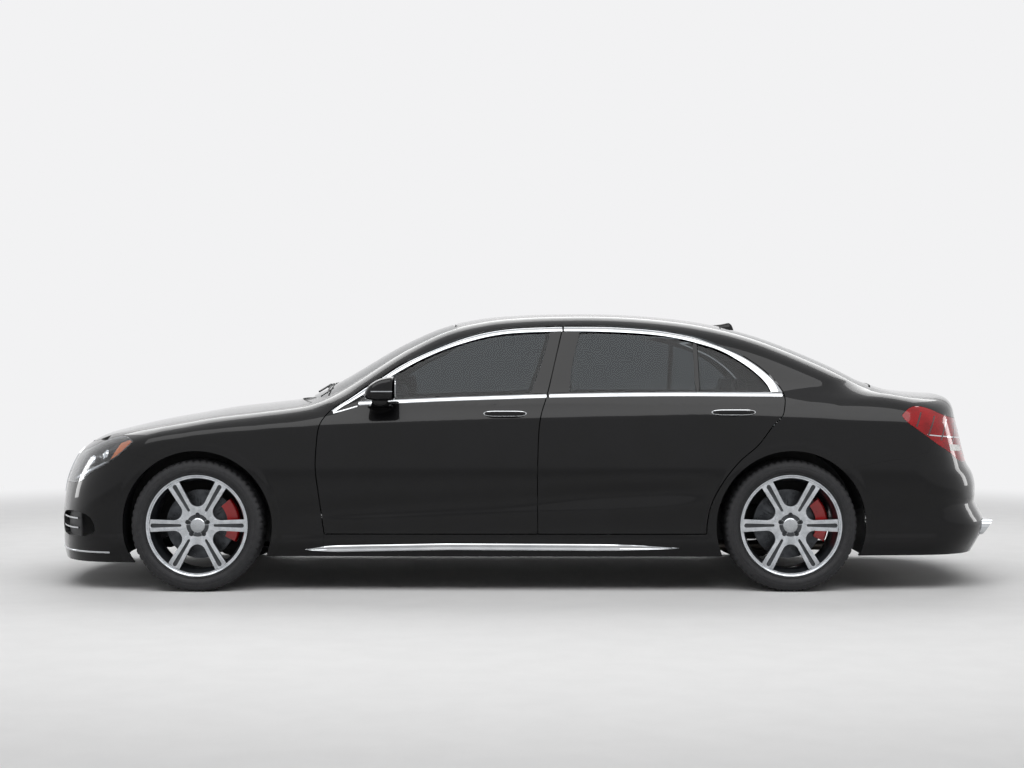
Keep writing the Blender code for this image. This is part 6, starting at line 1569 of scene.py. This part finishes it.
# Exhaust: a pipe along the tunnel, a wide silencer and two hollow tips
def tipShell(side):
    t = exhaustTip
    rings = []
    for wall, end in ((0, 0), (0, 1), (t["wall"], 1), (t["wall"], 0)):
        half, tall = t["width"] / 2 - wall, t["height"] / 2 - wall
        ring = []
        for a in np.arange(48) * math.pi / 24:
            c, s = math.cos(a), math.sin(a)
            y = half * math.copysign(abs(c) ** 0.5, c)
            z = tall * math.copysign(abs(s) ** 0.5, s)
            x = t["end"] + t["slant"] * (z + t["height"] / 2) / t["height"] if end else t["start"]
            ring.append((x, side * t["y"] + y, t["z"] + t["height"] / 2 + z))
        rings.append(ring)
    bm = bmesh.new()
    loops = [[bm.verts.new(point) for point in ring] for ring in rings]
    for low, high in zip(loops, loops[1:] + loops[:1]):
        for i in range(len(low)):
            k = (i + 1) % len(low)
            bm.faces.new((low[i], low[k], high[k], high[i]))
    return fromBmesh("tool", bm, chromePlate, 40)


exhaustShape = {"muffler": ((1.95, -0.5, 0.172), (2.295, 0.5, 0.338)), "mufflerRound": 0.045,
    "pipeRadius": 0.028, "pipe": [(-0.9, -0.16, 0.17), (1.0, -0.16, 0.169), (1.85, -0.16, 0.172),
    (1.93, -0.16, 0.19), (1.955, -0.16, 0.215)], "hangerX": (2.1, 2.12), "hangerY": (0.36, 0.38),
    "hangerZ": (0.335, 0.439), "neckRadius": 0.03, "neckX": (2.29, 2.306), "neckZ": (0.3, 0.316),
    "neckInward": 0.86}
e = exhaustShape
muffler = block(*e["muffler"], agedSteel, e["mufflerRound"], 5)
pipe = tube("tool", e["pipe"], e["pipeRadius"], agedSteel, 24)
hangers = [block((e["hangerX"][0], s * e["hangerY"][0], e["hangerZ"][0]),
    (e["hangerX"][1], s * e["hangerY"][1], e["hangerZ"][1]), boltSteel, 0.003) for s, h in hands]
necks = [tube("tool", [(e["neckX"][0], s * exhaustTip["y"] * e["neckInward"], e["neckZ"][0]),
    (e["neckX"][1], s * exhaustTip["y"], e["neckZ"][1])], e["neckRadius"], agedSteel, 24) for s, h in hands]
finished(joined("exhaust", [muffler, pipe, *hangers, *necks, *[tipShell(s) for s, h in hands]]), "body",
    "steel", "exhaust")
print("grille, bumper details and exhaust built")


# Below and between: tank, spare-wheel well and undertrays, which also close the view through the car
undersideShape = {"tank": ((1.01, -0.55, 0.242), (1.33, 0.55, 0.44)),
    "well": ((1.54, -0.4, 0.35), (1.9, 0.4, 0.452)), "corner": 0.04,
    "trays": (((-2.43, -0.455, 0.19), (-1.96, 0.455, 0.196)), ((-1.54, -0.455, 0.19), (-1.26, 0.455, 0.196))),
    "trayEdge": 0.002}
u = undersideShape
tank = block(*u["tank"], primedSteel, u["corner"], 4)
well = block(*u["well"], primedSteel, u["corner"], 4)
finished(joined("tankAndWell", [tank, well]), "body", "steel")
trays = [block(*box, grainedPlastic, u["trayEdge"]) for box in u["trays"]]
finished(joined("undertrays", trays), "body", "trim")


def finSection(x):
    # One section of the roof's antenna fin
    f = finShape
    u = (x - f["front"]) / (f["rear"] - f["front"])
    origin = np.array([[x, 0.0, 0.5]])
    base = 0.5 + float(skinReach(origin, np.array([[0.0, 0.0, 1.0]]))[0])
    tall = f["height"] * min(1.0, (u / 0.82) ** 1.6) * (1 - max(0.0, (u - 0.82) / 0.18) ** 3 * 0.75)
    wide = f["halfWidth"] * math.sin(math.pi * min(0.97, 0.06 + 0.88 * u)) ** 0.5
    around = np.linspace(0, math.pi, 15)
    ring = [(x, wide * math.cos(a), base - 0.002 + (tall + 0.003) * math.sin(a) ** 0.8) for a in around]
    return ring + [(x, -wide, base - 0.004), (x, wide, base - 0.004)]


finShape = {"front": 1.07, "rear": 1.235, "height": 0.04, "halfWidth": 0.024}
fin = loftSolid("antennaFin", [finSection(x) for x in np.linspace(finShape["front"], finShape["rear"], 30)],
    blackLacquer, 50)
finished(fin, "body", "paint")


def onGlass(x, y, lift):
    origin = np.array([[x, y, 0.5]])
    return (x, y, 0.5 + float(skinReach(origin, np.array([[0.0, 0.0, 1.0]]))[0]) + lift)


wiperShape = {"blades": (((-1.075, -0.6), (-1.1, 0.02), (-1.14, -0.42)),
    ((-1.095, 0.06), (-1.03, 0.64), (-1.15, 0.16))), "bladeLift": 0.008, "armLift": 0.016,
    "bladeRadius": 0.0045, "armRadius": 0.0055}


def glassLine(start, end, lift, count):
    return [onGlass(start[0] + (end[0] - start[0]) * u, start[1] + (end[1] - start[1]) * u, lift)
        for u in np.linspace(0, 1, count)]


wipers = []
for start, end, pivot in wiperShape["blades"]:
    w = wiperShape
    middle = [(start[0] + end[0]) / 2, (start[1] + end[1]) / 2]
    wipers += [tube("tool", glassLine(start, end, w["bladeLift"], 16), w["bladeRadius"], grainedPlastic, 8),
        tube("tool", glassLine(pivot, middle, w["armLift"], 8), w["armRadius"], grainedPlastic, 8)]
finished(joined("wipers", wipers), "body", "trim")
print("underside, fin and wipers built")


# Nodes of the frame that stay as they are get a worked finish
keptFinish = {"underbody": primedSteel, "front_subframe": primedSteel, "engine": castAlloy}
for name, material in keptFinish.items():
    for slot in bpy.data.objects[name].material_slots:
        slot.material = material


def swollen(obj, voxel, limit, pressure=4.0):
    # Cloth under pressure rounds a closed form; no point may move further than the limit
    remesh = obj.modifiers.new("remesh", "REMESH")
    remesh.mode, remesh.voxel_size = "VOXEL", voxel
    bake(obj)
    start = meshRows(obj.data.vertices, "co")
    cloth = obj.modifiers.new("cloth", "CLOTH")
    cloth.settings.use_pressure = True
    cloth.settings.uniform_pressure_force = pressure
    cloth.settings.effector_weights.gravity = 0
    cloth.point_cache.frame_start, cloth.point_cache.frame_end = 1, 20
    for frameNumber in range(1, 21):
        bpy.context.scene.frame_set(frameNumber)
    bake(obj)
    bpy.context.scene.frame_set(1)
    move = meshRows(obj.data.vertices, "co") - start
    length = np.linalg.norm(move, axis=1, keepdims=True)
    move = move * np.minimum(1, limit / np.maximum(length, 1e-9))
    obj.data.vertices.foreach_set("co", (start + move).ravel())
    smooth = obj.modifiers.new("smooth", "SMOOTH")
    smooth.factor, smooth.iterations = 0.5, 4
    finer = obj.modifiers.new("finer", "SUBSURF")
    finer.levels = finer.render_levels = 1
    bake(obj)
    obj.data.shade_smooth()
    return obj


def sewn(obj, facing, across, along, seam, spacing, reach, depth=0.006, width=0.006):
    # Bolster seams on both sides of the middle, and sewn channels between them
    points, normals = meshRows(obj.data.vertices, "co"), meshRows(obj.data.vertices, "normal")
    faces = smoothStep((normals @ np.array(facing) - 0.35) / 0.3)
    v, u = np.abs(across(points)), along(points)
    inReach = (u > reach[0]) & (u < reach[1])
    edge = np.exp(-((v - seam) / width) ** 2)
    nearest = np.abs((u - reach[0]) / spacing - np.round((u - reach[0]) / spacing)) * spacing
    channels = np.exp(-(nearest / width) ** 2) * (v < seam) * inReach
    sink = depth * faces * np.maximum(edge, channels)
    obj.data.vertices.foreach_set("co", (points - normals * sink[:, None]).ravel())
    obj.data.update()
    return obj


def mirroredCopy(obj, name):
    mesh = obj.data.copy()
    mesh.transform(Matrix.Scale(-1, 4, (0, 1, 0)))
    mesh.flip_normals()
    copy = bpy.data.objects.new(name, mesh)
    bpy.context.scene.collection.objects.link(copy)
    return copy


def padRing(front, rear, middle, half, z, bolster, hollow):
    # A backrest's section: bolsters forward at both sides, a hollow between them
    return [(rear, middle - half, z), (rear, middle + half, z), (front - bolster * 0.2, middle + half, z),
        (front - bolster, middle + half * 0.8, z), (front + hollow, middle + half * 0.56, z),
        (front + hollow, middle - half * 0.56, z), (front - bolster, middle - half * 0.8, z),
        (front - bolster * 0.2, middle - half, z)]


def cushionRing(x, middle, half, low, high, bolster):
    return [(x, middle - half, low), (x, middle + half, low), (x, middle + half, high),
        (x, middle + half * 0.82, high + bolster), (x, middle + half * 0.58, high),
        (x, middle - half * 0.58, high), (x, middle - half * 0.82, high + bolster), (x, middle - half, high)]


seatShape = {"middle": 0.385, "voxel": 0.009, "benchVoxel": 0.017, "limit": 0.022, "frontTilt": 0.35,
    "cushion": ((-0.535, 0.205, 0.385, 0.455), (-0.5, 0.225, 0.352, 0.485), (-0.3, 0.23, 0.35, 0.474),
    (-0.13, 0.228, 0.35, 0.462), (-0.06, 0.215, 0.356, 0.456)),
    "back": ((-0.12, -0.02, 0.2, 0.455), (-0.085, 0.02, 0.228, 0.56), (-0.052, 0.062, 0.23, 0.68),
    (0.0, 0.108, 0.226, 0.82), (0.052, 0.146, 0.205, 0.94), (0.092, 0.158, 0.16, 1.015)),
    "rest": ((0.1, 0.15, 0.095, 1.09), (0.088, 0.156, 0.118, 1.12), (0.086, 0.156, 0.118, 1.165),
    (0.1, 0.15, 0.098, 1.198)), "benchCushion": ((0.478, 0.6, 0.3, 0.455), (0.51, 0.64, 0.256, 0.492),
    (0.7, 0.64, 0.256, 0.48), (0.9, 0.63, 0.256, 0.466)), "benchBack": ((0.915, 1.02, 0.5, 0.49),
    (0.945, 1.075, 0.508, 0.6), (1.02, 1.145, 0.508, 0.735), (1.1, 1.225, 0.505, 0.88),
    (1.18, 1.27, 0.49, 0.975)), "benchRest": ((1.195, 1.245, 0.1, 1.0), (1.186, 1.254, 0.116, 1.03),
    (1.19, 1.256, 0.114, 1.09), (1.202, 1.25, 0.096, 1.132)), "benchRestY": 0.33}


def backPad(sections, middle, bolster, hollow):
    rings = [padRing(front, rear, middle, half, z, bolster, hollow) for front, rear, half, z in sections]
    return loftSolid("tool", rings, seatLeather)


def frontSeatPads():
    s = seatShape
    y = -s["middle"]
    rings = [cushionRing(x, y, half, low, high, 0.018) for x, half, low, high in s["cushion"]]
    cushion = loftSolid("tool", rings, seatLeather)
    swollen(cushion, s["voxel"], s["limit"])
    sewn(cushion, (0, 0, 1), lambda p: p[:, 1] - y, lambda p: p[:, 0], 0.15, 0.062, (-0.46, -0.15))
    back = backPad(s["back"], y, 0.022, 0.012)
    swollen(back, s["voxel"], s["limit"])
    sewn(back, (-1, 0, s["frontTilt"]), lambda p: p[:, 1] - y, lambda p: p[:, 2], 0.14, 0.07, (0.54, 0.93))
    rest = backPad(s["rest"], y, 0.004, 0.002)
    swollen(rest, s["voxel"], s["limit"] / 2)
    return [cushion, back, rest]


def benchPads():
    s = seatShape
    cushion = loftSolid("tool", [[(x, -half, low), (x, half, low), (x, half, high), (x, 0.08, high - 0.004),
        (x, -0.08, high - 0.004), (x, -half, high)] for x, half, low, high in s["benchCushion"]], seatLeather)
    swollen(cushion, s["benchVoxel"], s["limit"])
    sewn(cushion, (0, 0, 1), lambda p: np.abs(p[:, 1]) - 0.36, lambda p: p[:, 0], 0.185, 0.085, (0.56, 0.88))
    back = loftSolid("tool", [[(rear, -half, z), (rear, half, z), (front, half, z), (front, -half, z)]
        for front, rear, half, z in s["benchBack"]], seatLeather)
    swollen(back, s["benchVoxel"], s["limit"])
    sewn(back, (-1, 0, s["frontTilt"]), lambda p: np.abs(p[:, 1]) - 0.3, lambda p: p[:, 2], 0.15, 0.085,
        (0.56, 0.93))
    rests = []
    for side in (-1, 1):
        rest = backPad(s["benchRest"], side * s["benchRestY"], 0.004, 0.002)
        rests.append(swollen(rest, s["voxel"], s["limit"] / 2))
    return [cushion, back, *rests]


# Rails, base and head-restraint posts under and above the front pads
seatFrameShape = {"rail": ((-0.47, 0.018, 0.2445), (-0.09, 0.018, 0.262)), "railSpread": 0.165,
    "base": ((-0.465, 0.185, 0.2625), (-0.1, 0.185, 0.336)), "baseRound": 0.016,
    "post": ((0.128, 1.02), (0.124, 1.095)), "postSpread": 0.055, "postRadius": 0.006}
leftPads = frontSeatPads()
rightPads = [mirroredCopy(pad, "tool") for pad in leftPads]
for (side, hand), pads in zip(hands, (leftPads, rightPads)):
    seat = joined("frontSeat_" + hand, pads)
    seat.data.shade_smooth()
    finished(seat, "body", "leather", "front_seat_" + hand)
    y, s = side * seatShape["middle"], seatFrameShape
    (start, half, low), (stop, half, high) = s["rail"]
    rails = [block((start, y + dy - half, low), (stop, y + dy + half, high), boltSteel, 0.004)
        for dy in (-s["railSpread"], s["railSpread"])]
    (start, half, low), (stop, half, high) = s["base"]
    base = block((start, y - half, low), (stop, y + half, high), grainedPlastic, s["baseRound"], 3)
    posts = [tube("tool", [(x, y + dy, z) for x, z in s["post"]], s["postRadius"], chromePlate, 14)
        for dy in (-s["postSpread"], s["postSpread"])]
    finished(joined("seatFrame_" + hand, [*rails, base, *posts]), "body", "trim")
bench = joined("rearBench", benchPads())
bench.data.shade_smooth()
finished(bench, "body", "leather", "rear_bench")
print("seats built")


# Dashboard with pad, wood strip, two displays, vents, centre stack and console
dashShape = {"half": 0.69, "face": -0.865, "ventRadius": 0.031, "consoleTop": 0.532}


def dashboard():
    d = dashShape
    face = d["face"]
    shell = prism(rounded([(-1.193, 0.59), (-1.193, 0.845), (-1.062, 0.952), (-0.905, 0.955), (-0.884, 0.94),
        (-0.884, 0.862), (face, 0.85), (face, 0.7), (-0.905, 0.59)], True, 1), "Y", -d["half"], d["half"],
        softFoil)
    sharpen(shell, 50)
    pieces = [shell, block((face - 0.002, -0.66, 0.775), (face + 0.004, 0.66, 0.812), polishedWood, 0.0015),
        block((-0.8835, -0.56, 0.868), (-0.875, -0.215, 0.944), screenGlass, 0.003),
        block((-0.8835, -0.205, 0.868), (-0.875, 0.15, 0.944), screenGlass, 0.003),
        block((-0.93, -0.122, 0.54), (-0.812, 0.122, 0.718), softFoil, 0.018, 4),
        block((-0.88, -0.122, 0.245), (0.045, 0.122, d["consoleTop"]), softFoil, 0.022, 4),
        block((-0.78, -0.085, d["consoleTop"] + 0.0002), (-0.3, 0.085, d["consoleTop"] + 0.004), polishedWood,
        0.0015), block((-0.255, -0.105, d["consoleTop"] + 0.0002), (0.035, 0.105, d["consoleTop"] + 0.03),
        seatLeather, 0.012, 4)]
    ring = [(d["ventRadius"] - 0.005, 0.0), (d["ventRadius"], 0.0), (d["ventRadius"], 0.006),
        (d["ventRadius"] - 0.002, 0.008), (d["ventRadius"] - 0.005, 0.006)]
    cup = [(0.0001, 0.0), (d["ventRadius"] - 0.006, 0.0), (d["ventRadius"] - 0.006, 0.003), (0.009, 0.004),
        (0.007, 0.009), (0.0001, 0.01)]
    for y in (-0.6, -0.135, -0.045, 0.045, 0.135, 0.6):
        place = (face + 0.0005, y, 0.738)
        pieces.append(turnedAt(ring, place, (1, 0, 0), satinChrome))
        pieces.append(turnedAt(cup, place, (1, 0, 0), glossPlastic))
    w = wheelShape
    hub = Vector(w["centre"])
    axis = Vector(w["axis"])
    pieces.append(tube("tool", [hub - axis * 0.3, hub - axis * 0.06], 0.034, softFoil, 24))
    finished(joined("dashboard", pieces), "body", "trim", "dashboard")


wheelShape = {"centre": (-0.6, -0.385, 0.93), "axis": (0.9135, 0, 0.4067), "radius": 0.1705, "grip": 0.0145}


def steeringWheel():
    w = wheelShape
    turn = np.arange(20) * math.pi / 10
    rim = [(w["radius"] + w["grip"] * math.cos(a), w["grip"] * 1.1 * math.sin(a)) for a in turn]
    hub = [(0.0001, -0.046), (0.044, -0.046), (0.06, -0.02), (0.078, -0.006), (0.08, 0.004), (0.066, 0.015),
        (0.03, 0.02), (0.0001, 0.021)]
    pieces = []
    for profile, material, count in ((rim, seatLeather, 96), (hub, softFoil, 48)):
        vertices, faces = lathe(profile, count)
        pieces.append(sharpen(newObject("tool", vertices, faces, material), 50))
    for low, high in (((-0.02, 0.07, -0.005), (0.02, 0.16, 0.006)),
            ((-0.02, -0.16, -0.005), (0.02, -0.07, 0.006)), ((0.07, -0.026, -0.005), (0.16, -0.01, 0.006)),
            ((0.07, 0.01, -0.005), (0.16, 0.026, 0.006))):
        pieces.append(block(low, high, satinChrome, 0.003, 3))
    axis, across = Vector(w["axis"]), Vector((0, 1, 0))
    down = across.cross(axis)
    turnMatrix = Matrix((down, across, axis)).transposed().to_4x4()
    obj = joined("steeringWheel", pieces)
    obj.data.transform(Matrix.Translation(w["centre"]) @ turnMatrix)
    finished(obj, "steering_wheel", "leather", "steering_wheel")


dashboard()
steeringWheel()

# Door cards with armrest, wood strip and pull; then carpet, roof lining and inner mirror
cardShape = {"outer": 0.7996, "inner": 0.787, "top": 0.955, "low": 0.315, "front": (-1.02, 0.012),
    "rear": (0.15, 0.985)}
for side, hand in hands:
    c = cardShape
    for end in ("front", "rear"):
        start, stop = c[end]
        card = prism(offsetEdge(doors[end]["edge"], -0.045), "Y",
            *sorted((side * c["inner"], side * c["outer"])), softFoil)
        carve(card, "INTERSECT", block((start, side * 0.7, c["low"]), (stop, side * 0.9, c["top"])))
        left, right = start + 0.2 * (stop - start), start + 0.82 * (stop - start)
        rest = block((left, side * 0.742, 0.6), (right, side * c["inner"], 0.65), seatLeather, 0.014, 4)
        strip = block((left - 0.08, side * 0.7835, 0.8), (right + 0.05, side * c["inner"], 0.828),
            polishedWood, 0.0015)
        pull = tube("tool", [(left + 0.02, side * 0.786, 0.72), (left + 0.03, side * 0.768, 0.722),
            (left + 0.15, side * 0.768, 0.728), (left + 0.16, side * 0.786, 0.73)], 0.006, satinChrome, 14)
        card = joined(f"{end}DoorCard_{hand}", [bake(card), rest, strip, pull])
        finished(card, f"{end}_door_{hand}", "trim")
carpet = block((-1.19, -0.73, 0.236), (0.975, 0.73, 0.2442), loopCarpet)
finished(carpet, "body", "trim")
carpet.name = "carpet"
lining = skinSolid("roofLining", roofRays, 0.0235, 0.029, roofCloth)
carve(lining, "INTERSECT", within(roofPlan, 0.03, "Z", 0.5, 2.0))
finished(bake(lining), "body", "trim")
glassPoint = Vector(onGlass(-0.56, 0.0, -0.01))
low = glassPoint - Vector((-0.02, 0, 0.07))
case = block((low.x - 0.01, -0.118, low.z - 0.032), (low.x + 0.012, 0.118, low.z + 0.03), glossPlastic,
    0.008, 4)
silver = block((low.x + 0.0121, -0.108, low.z - 0.025), (low.x + 0.0135, 0.108, low.z + 0.023), mirrorSilver)
stalk = tube("tool", [glassPoint, low + Vector((-0.005, 0, 0.028))], 0.011, glossPlastic, 14)
finished(joined("innerMirror", [case, silver, stalk]), "body", "trim")
print("cabin built")


# A pale floor that runs into an even background without a visible horizon, and keeps the car's shadow
stageShape = {"floorSize": 40.0, "fadeStart": 4.6, "fadeEnd": 8.5, "backdrop": "f2f2f3", "floor": "dcdcdc",
    "ambient": 0.18, "stripPower": 290.0, "endPower": 46.0}


def seenRays(owner):
    # 1 where the background is looked at, straight, in a reflection or through glass
    rays = addNode(owner, "LightPath").outputs
    seen = addNode(owner, "Math", {0: rays["Is Camera Ray"], 1: rays["Is Glossy Ray"]}, operation="MAXIMUM")
    through = {0: seen.outputs[0], 1: rays["Is Transmission Ray"]}
    return addNode(owner, "Math", through, operation="MAXIMUM").outputs[0]


def studioFloor():
    s = stageShape
    floorPaper = newMaterial("paleFloorPaper", s["floor"], 0.85, (30.0, 0.0001, 0.1), "d9d9d9")
    shader = floorPaper.node_tree.nodes["Principled BSDF"]
    output = floorPaper.node_tree.nodes["Material Output"]
    place = addNode(floorPaper, "TexCoord").outputs["Object"]
    distance = addNode(floorPaper, "VectorMath", {0: place}, operation="LENGTH").outputs["Value"]
    fade = addNode(floorPaper, "MapRange", {"Value": distance, "From Min": s["fadeStart"],
        "From Max": s["fadeEnd"]}, interpolation_type="SMOOTHSTEP").outputs["Result"]
    share = addNode(floorPaper, "Math", {0: fade, 1: seenRays(floorPaper)}, operation="MULTIPLY").outputs[0]
    glow = addNode(floorPaper, "Emission", {"Color": linearColour(s["backdrop"]), "Strength": 1.0})
    mix = addNode(floorPaper, "MixShader", {0: share, 1: shader.outputs["BSDF"], 2: glow.outputs["Emission"]})
    floorPaper.node_tree.links.new(mix.outputs["Shader"], output.inputs["Surface"])
    size = s["floorSize"]
    floor = newObject("studioFloor", [(-size, -size, 0), (size, -size, 0), (size, size, 0), (-size, size, 0)],
        [(0, 1, 2, 3)], floorPaper)


def studioWorld():
    s = stageShape
    world = bpy.data.worlds.new("studio")
    bpy.context.scene.world = world
    world.use_nodes = True
    background = world.node_tree.nodes["Background"]
    strength = addNode(world, "MapRange", {"Value": seenRays(world), "To Min": s["ambient"], "To Max": 1.0})
    world.node_tree.links.new(strength.outputs["Result"], background.inputs["Strength"])
    background.inputs["Color"].default_value = linearColour(s["backdrop"])


def softbox(name, place, target, width, height, power):
    light = bpy.data.lights.new(name, "AREA")
    light.shape = "RECTANGLE"
    light.size, light.size_y, light.energy = width, height, power
    obj = bpy.data.objects.new(name, light)
    obj.location = place
    obj.rotation_euler = (Vector(target) - Vector(place)).to_track_quat("-Z", "Y").to_euler()
    bpy.context.scene.collection.objects.link(obj)


studioFloor()
studioWorld()
for side, hand in hands:
    softbox("shoulderStrip_" + hand, (0, side * 3.4, 4.6), (0, side * 0.9, 1.0), 9.5, 3.8,
        stageShape["stripPower"])
for end, place in (("nose", (-7.5, 1.4, 1.6)), ("tail", (7.5, 1.4, 1.6))):
    softbox(end + "Box", place, (math.copysign(2.3, place[0]), -0.6, 0.7), 1.2, 2.2, stageShape["endPower"])

view = {"x": -0.06, "distance": 9.93, "height": 1.192, "pitch": 0.54, "lens": 59.6}
lens = bpy.data.cameras.new("photoCamera")
lens.lens = view["lens"]
lens.sensor_width = 36.0
camera = bpy.data.objects.new("photoCamera", lens)
camera.location = (view["x"], -view["distance"], view["height"])
camera.rotation_euler = (math.radians(90 - view["pitch"]), 0, 0)
bpy.context.scene.collection.objects.link(camera)
bpy.context.scene.camera = camera
bpy.context.scene.view_settings.view_transform = "Standard"

for tool in [o for o in bpy.data.objects if o.name.startswith("tool")]:
    bpy.data.objects.remove(tool, do_unlink=True)

print("scene finished")
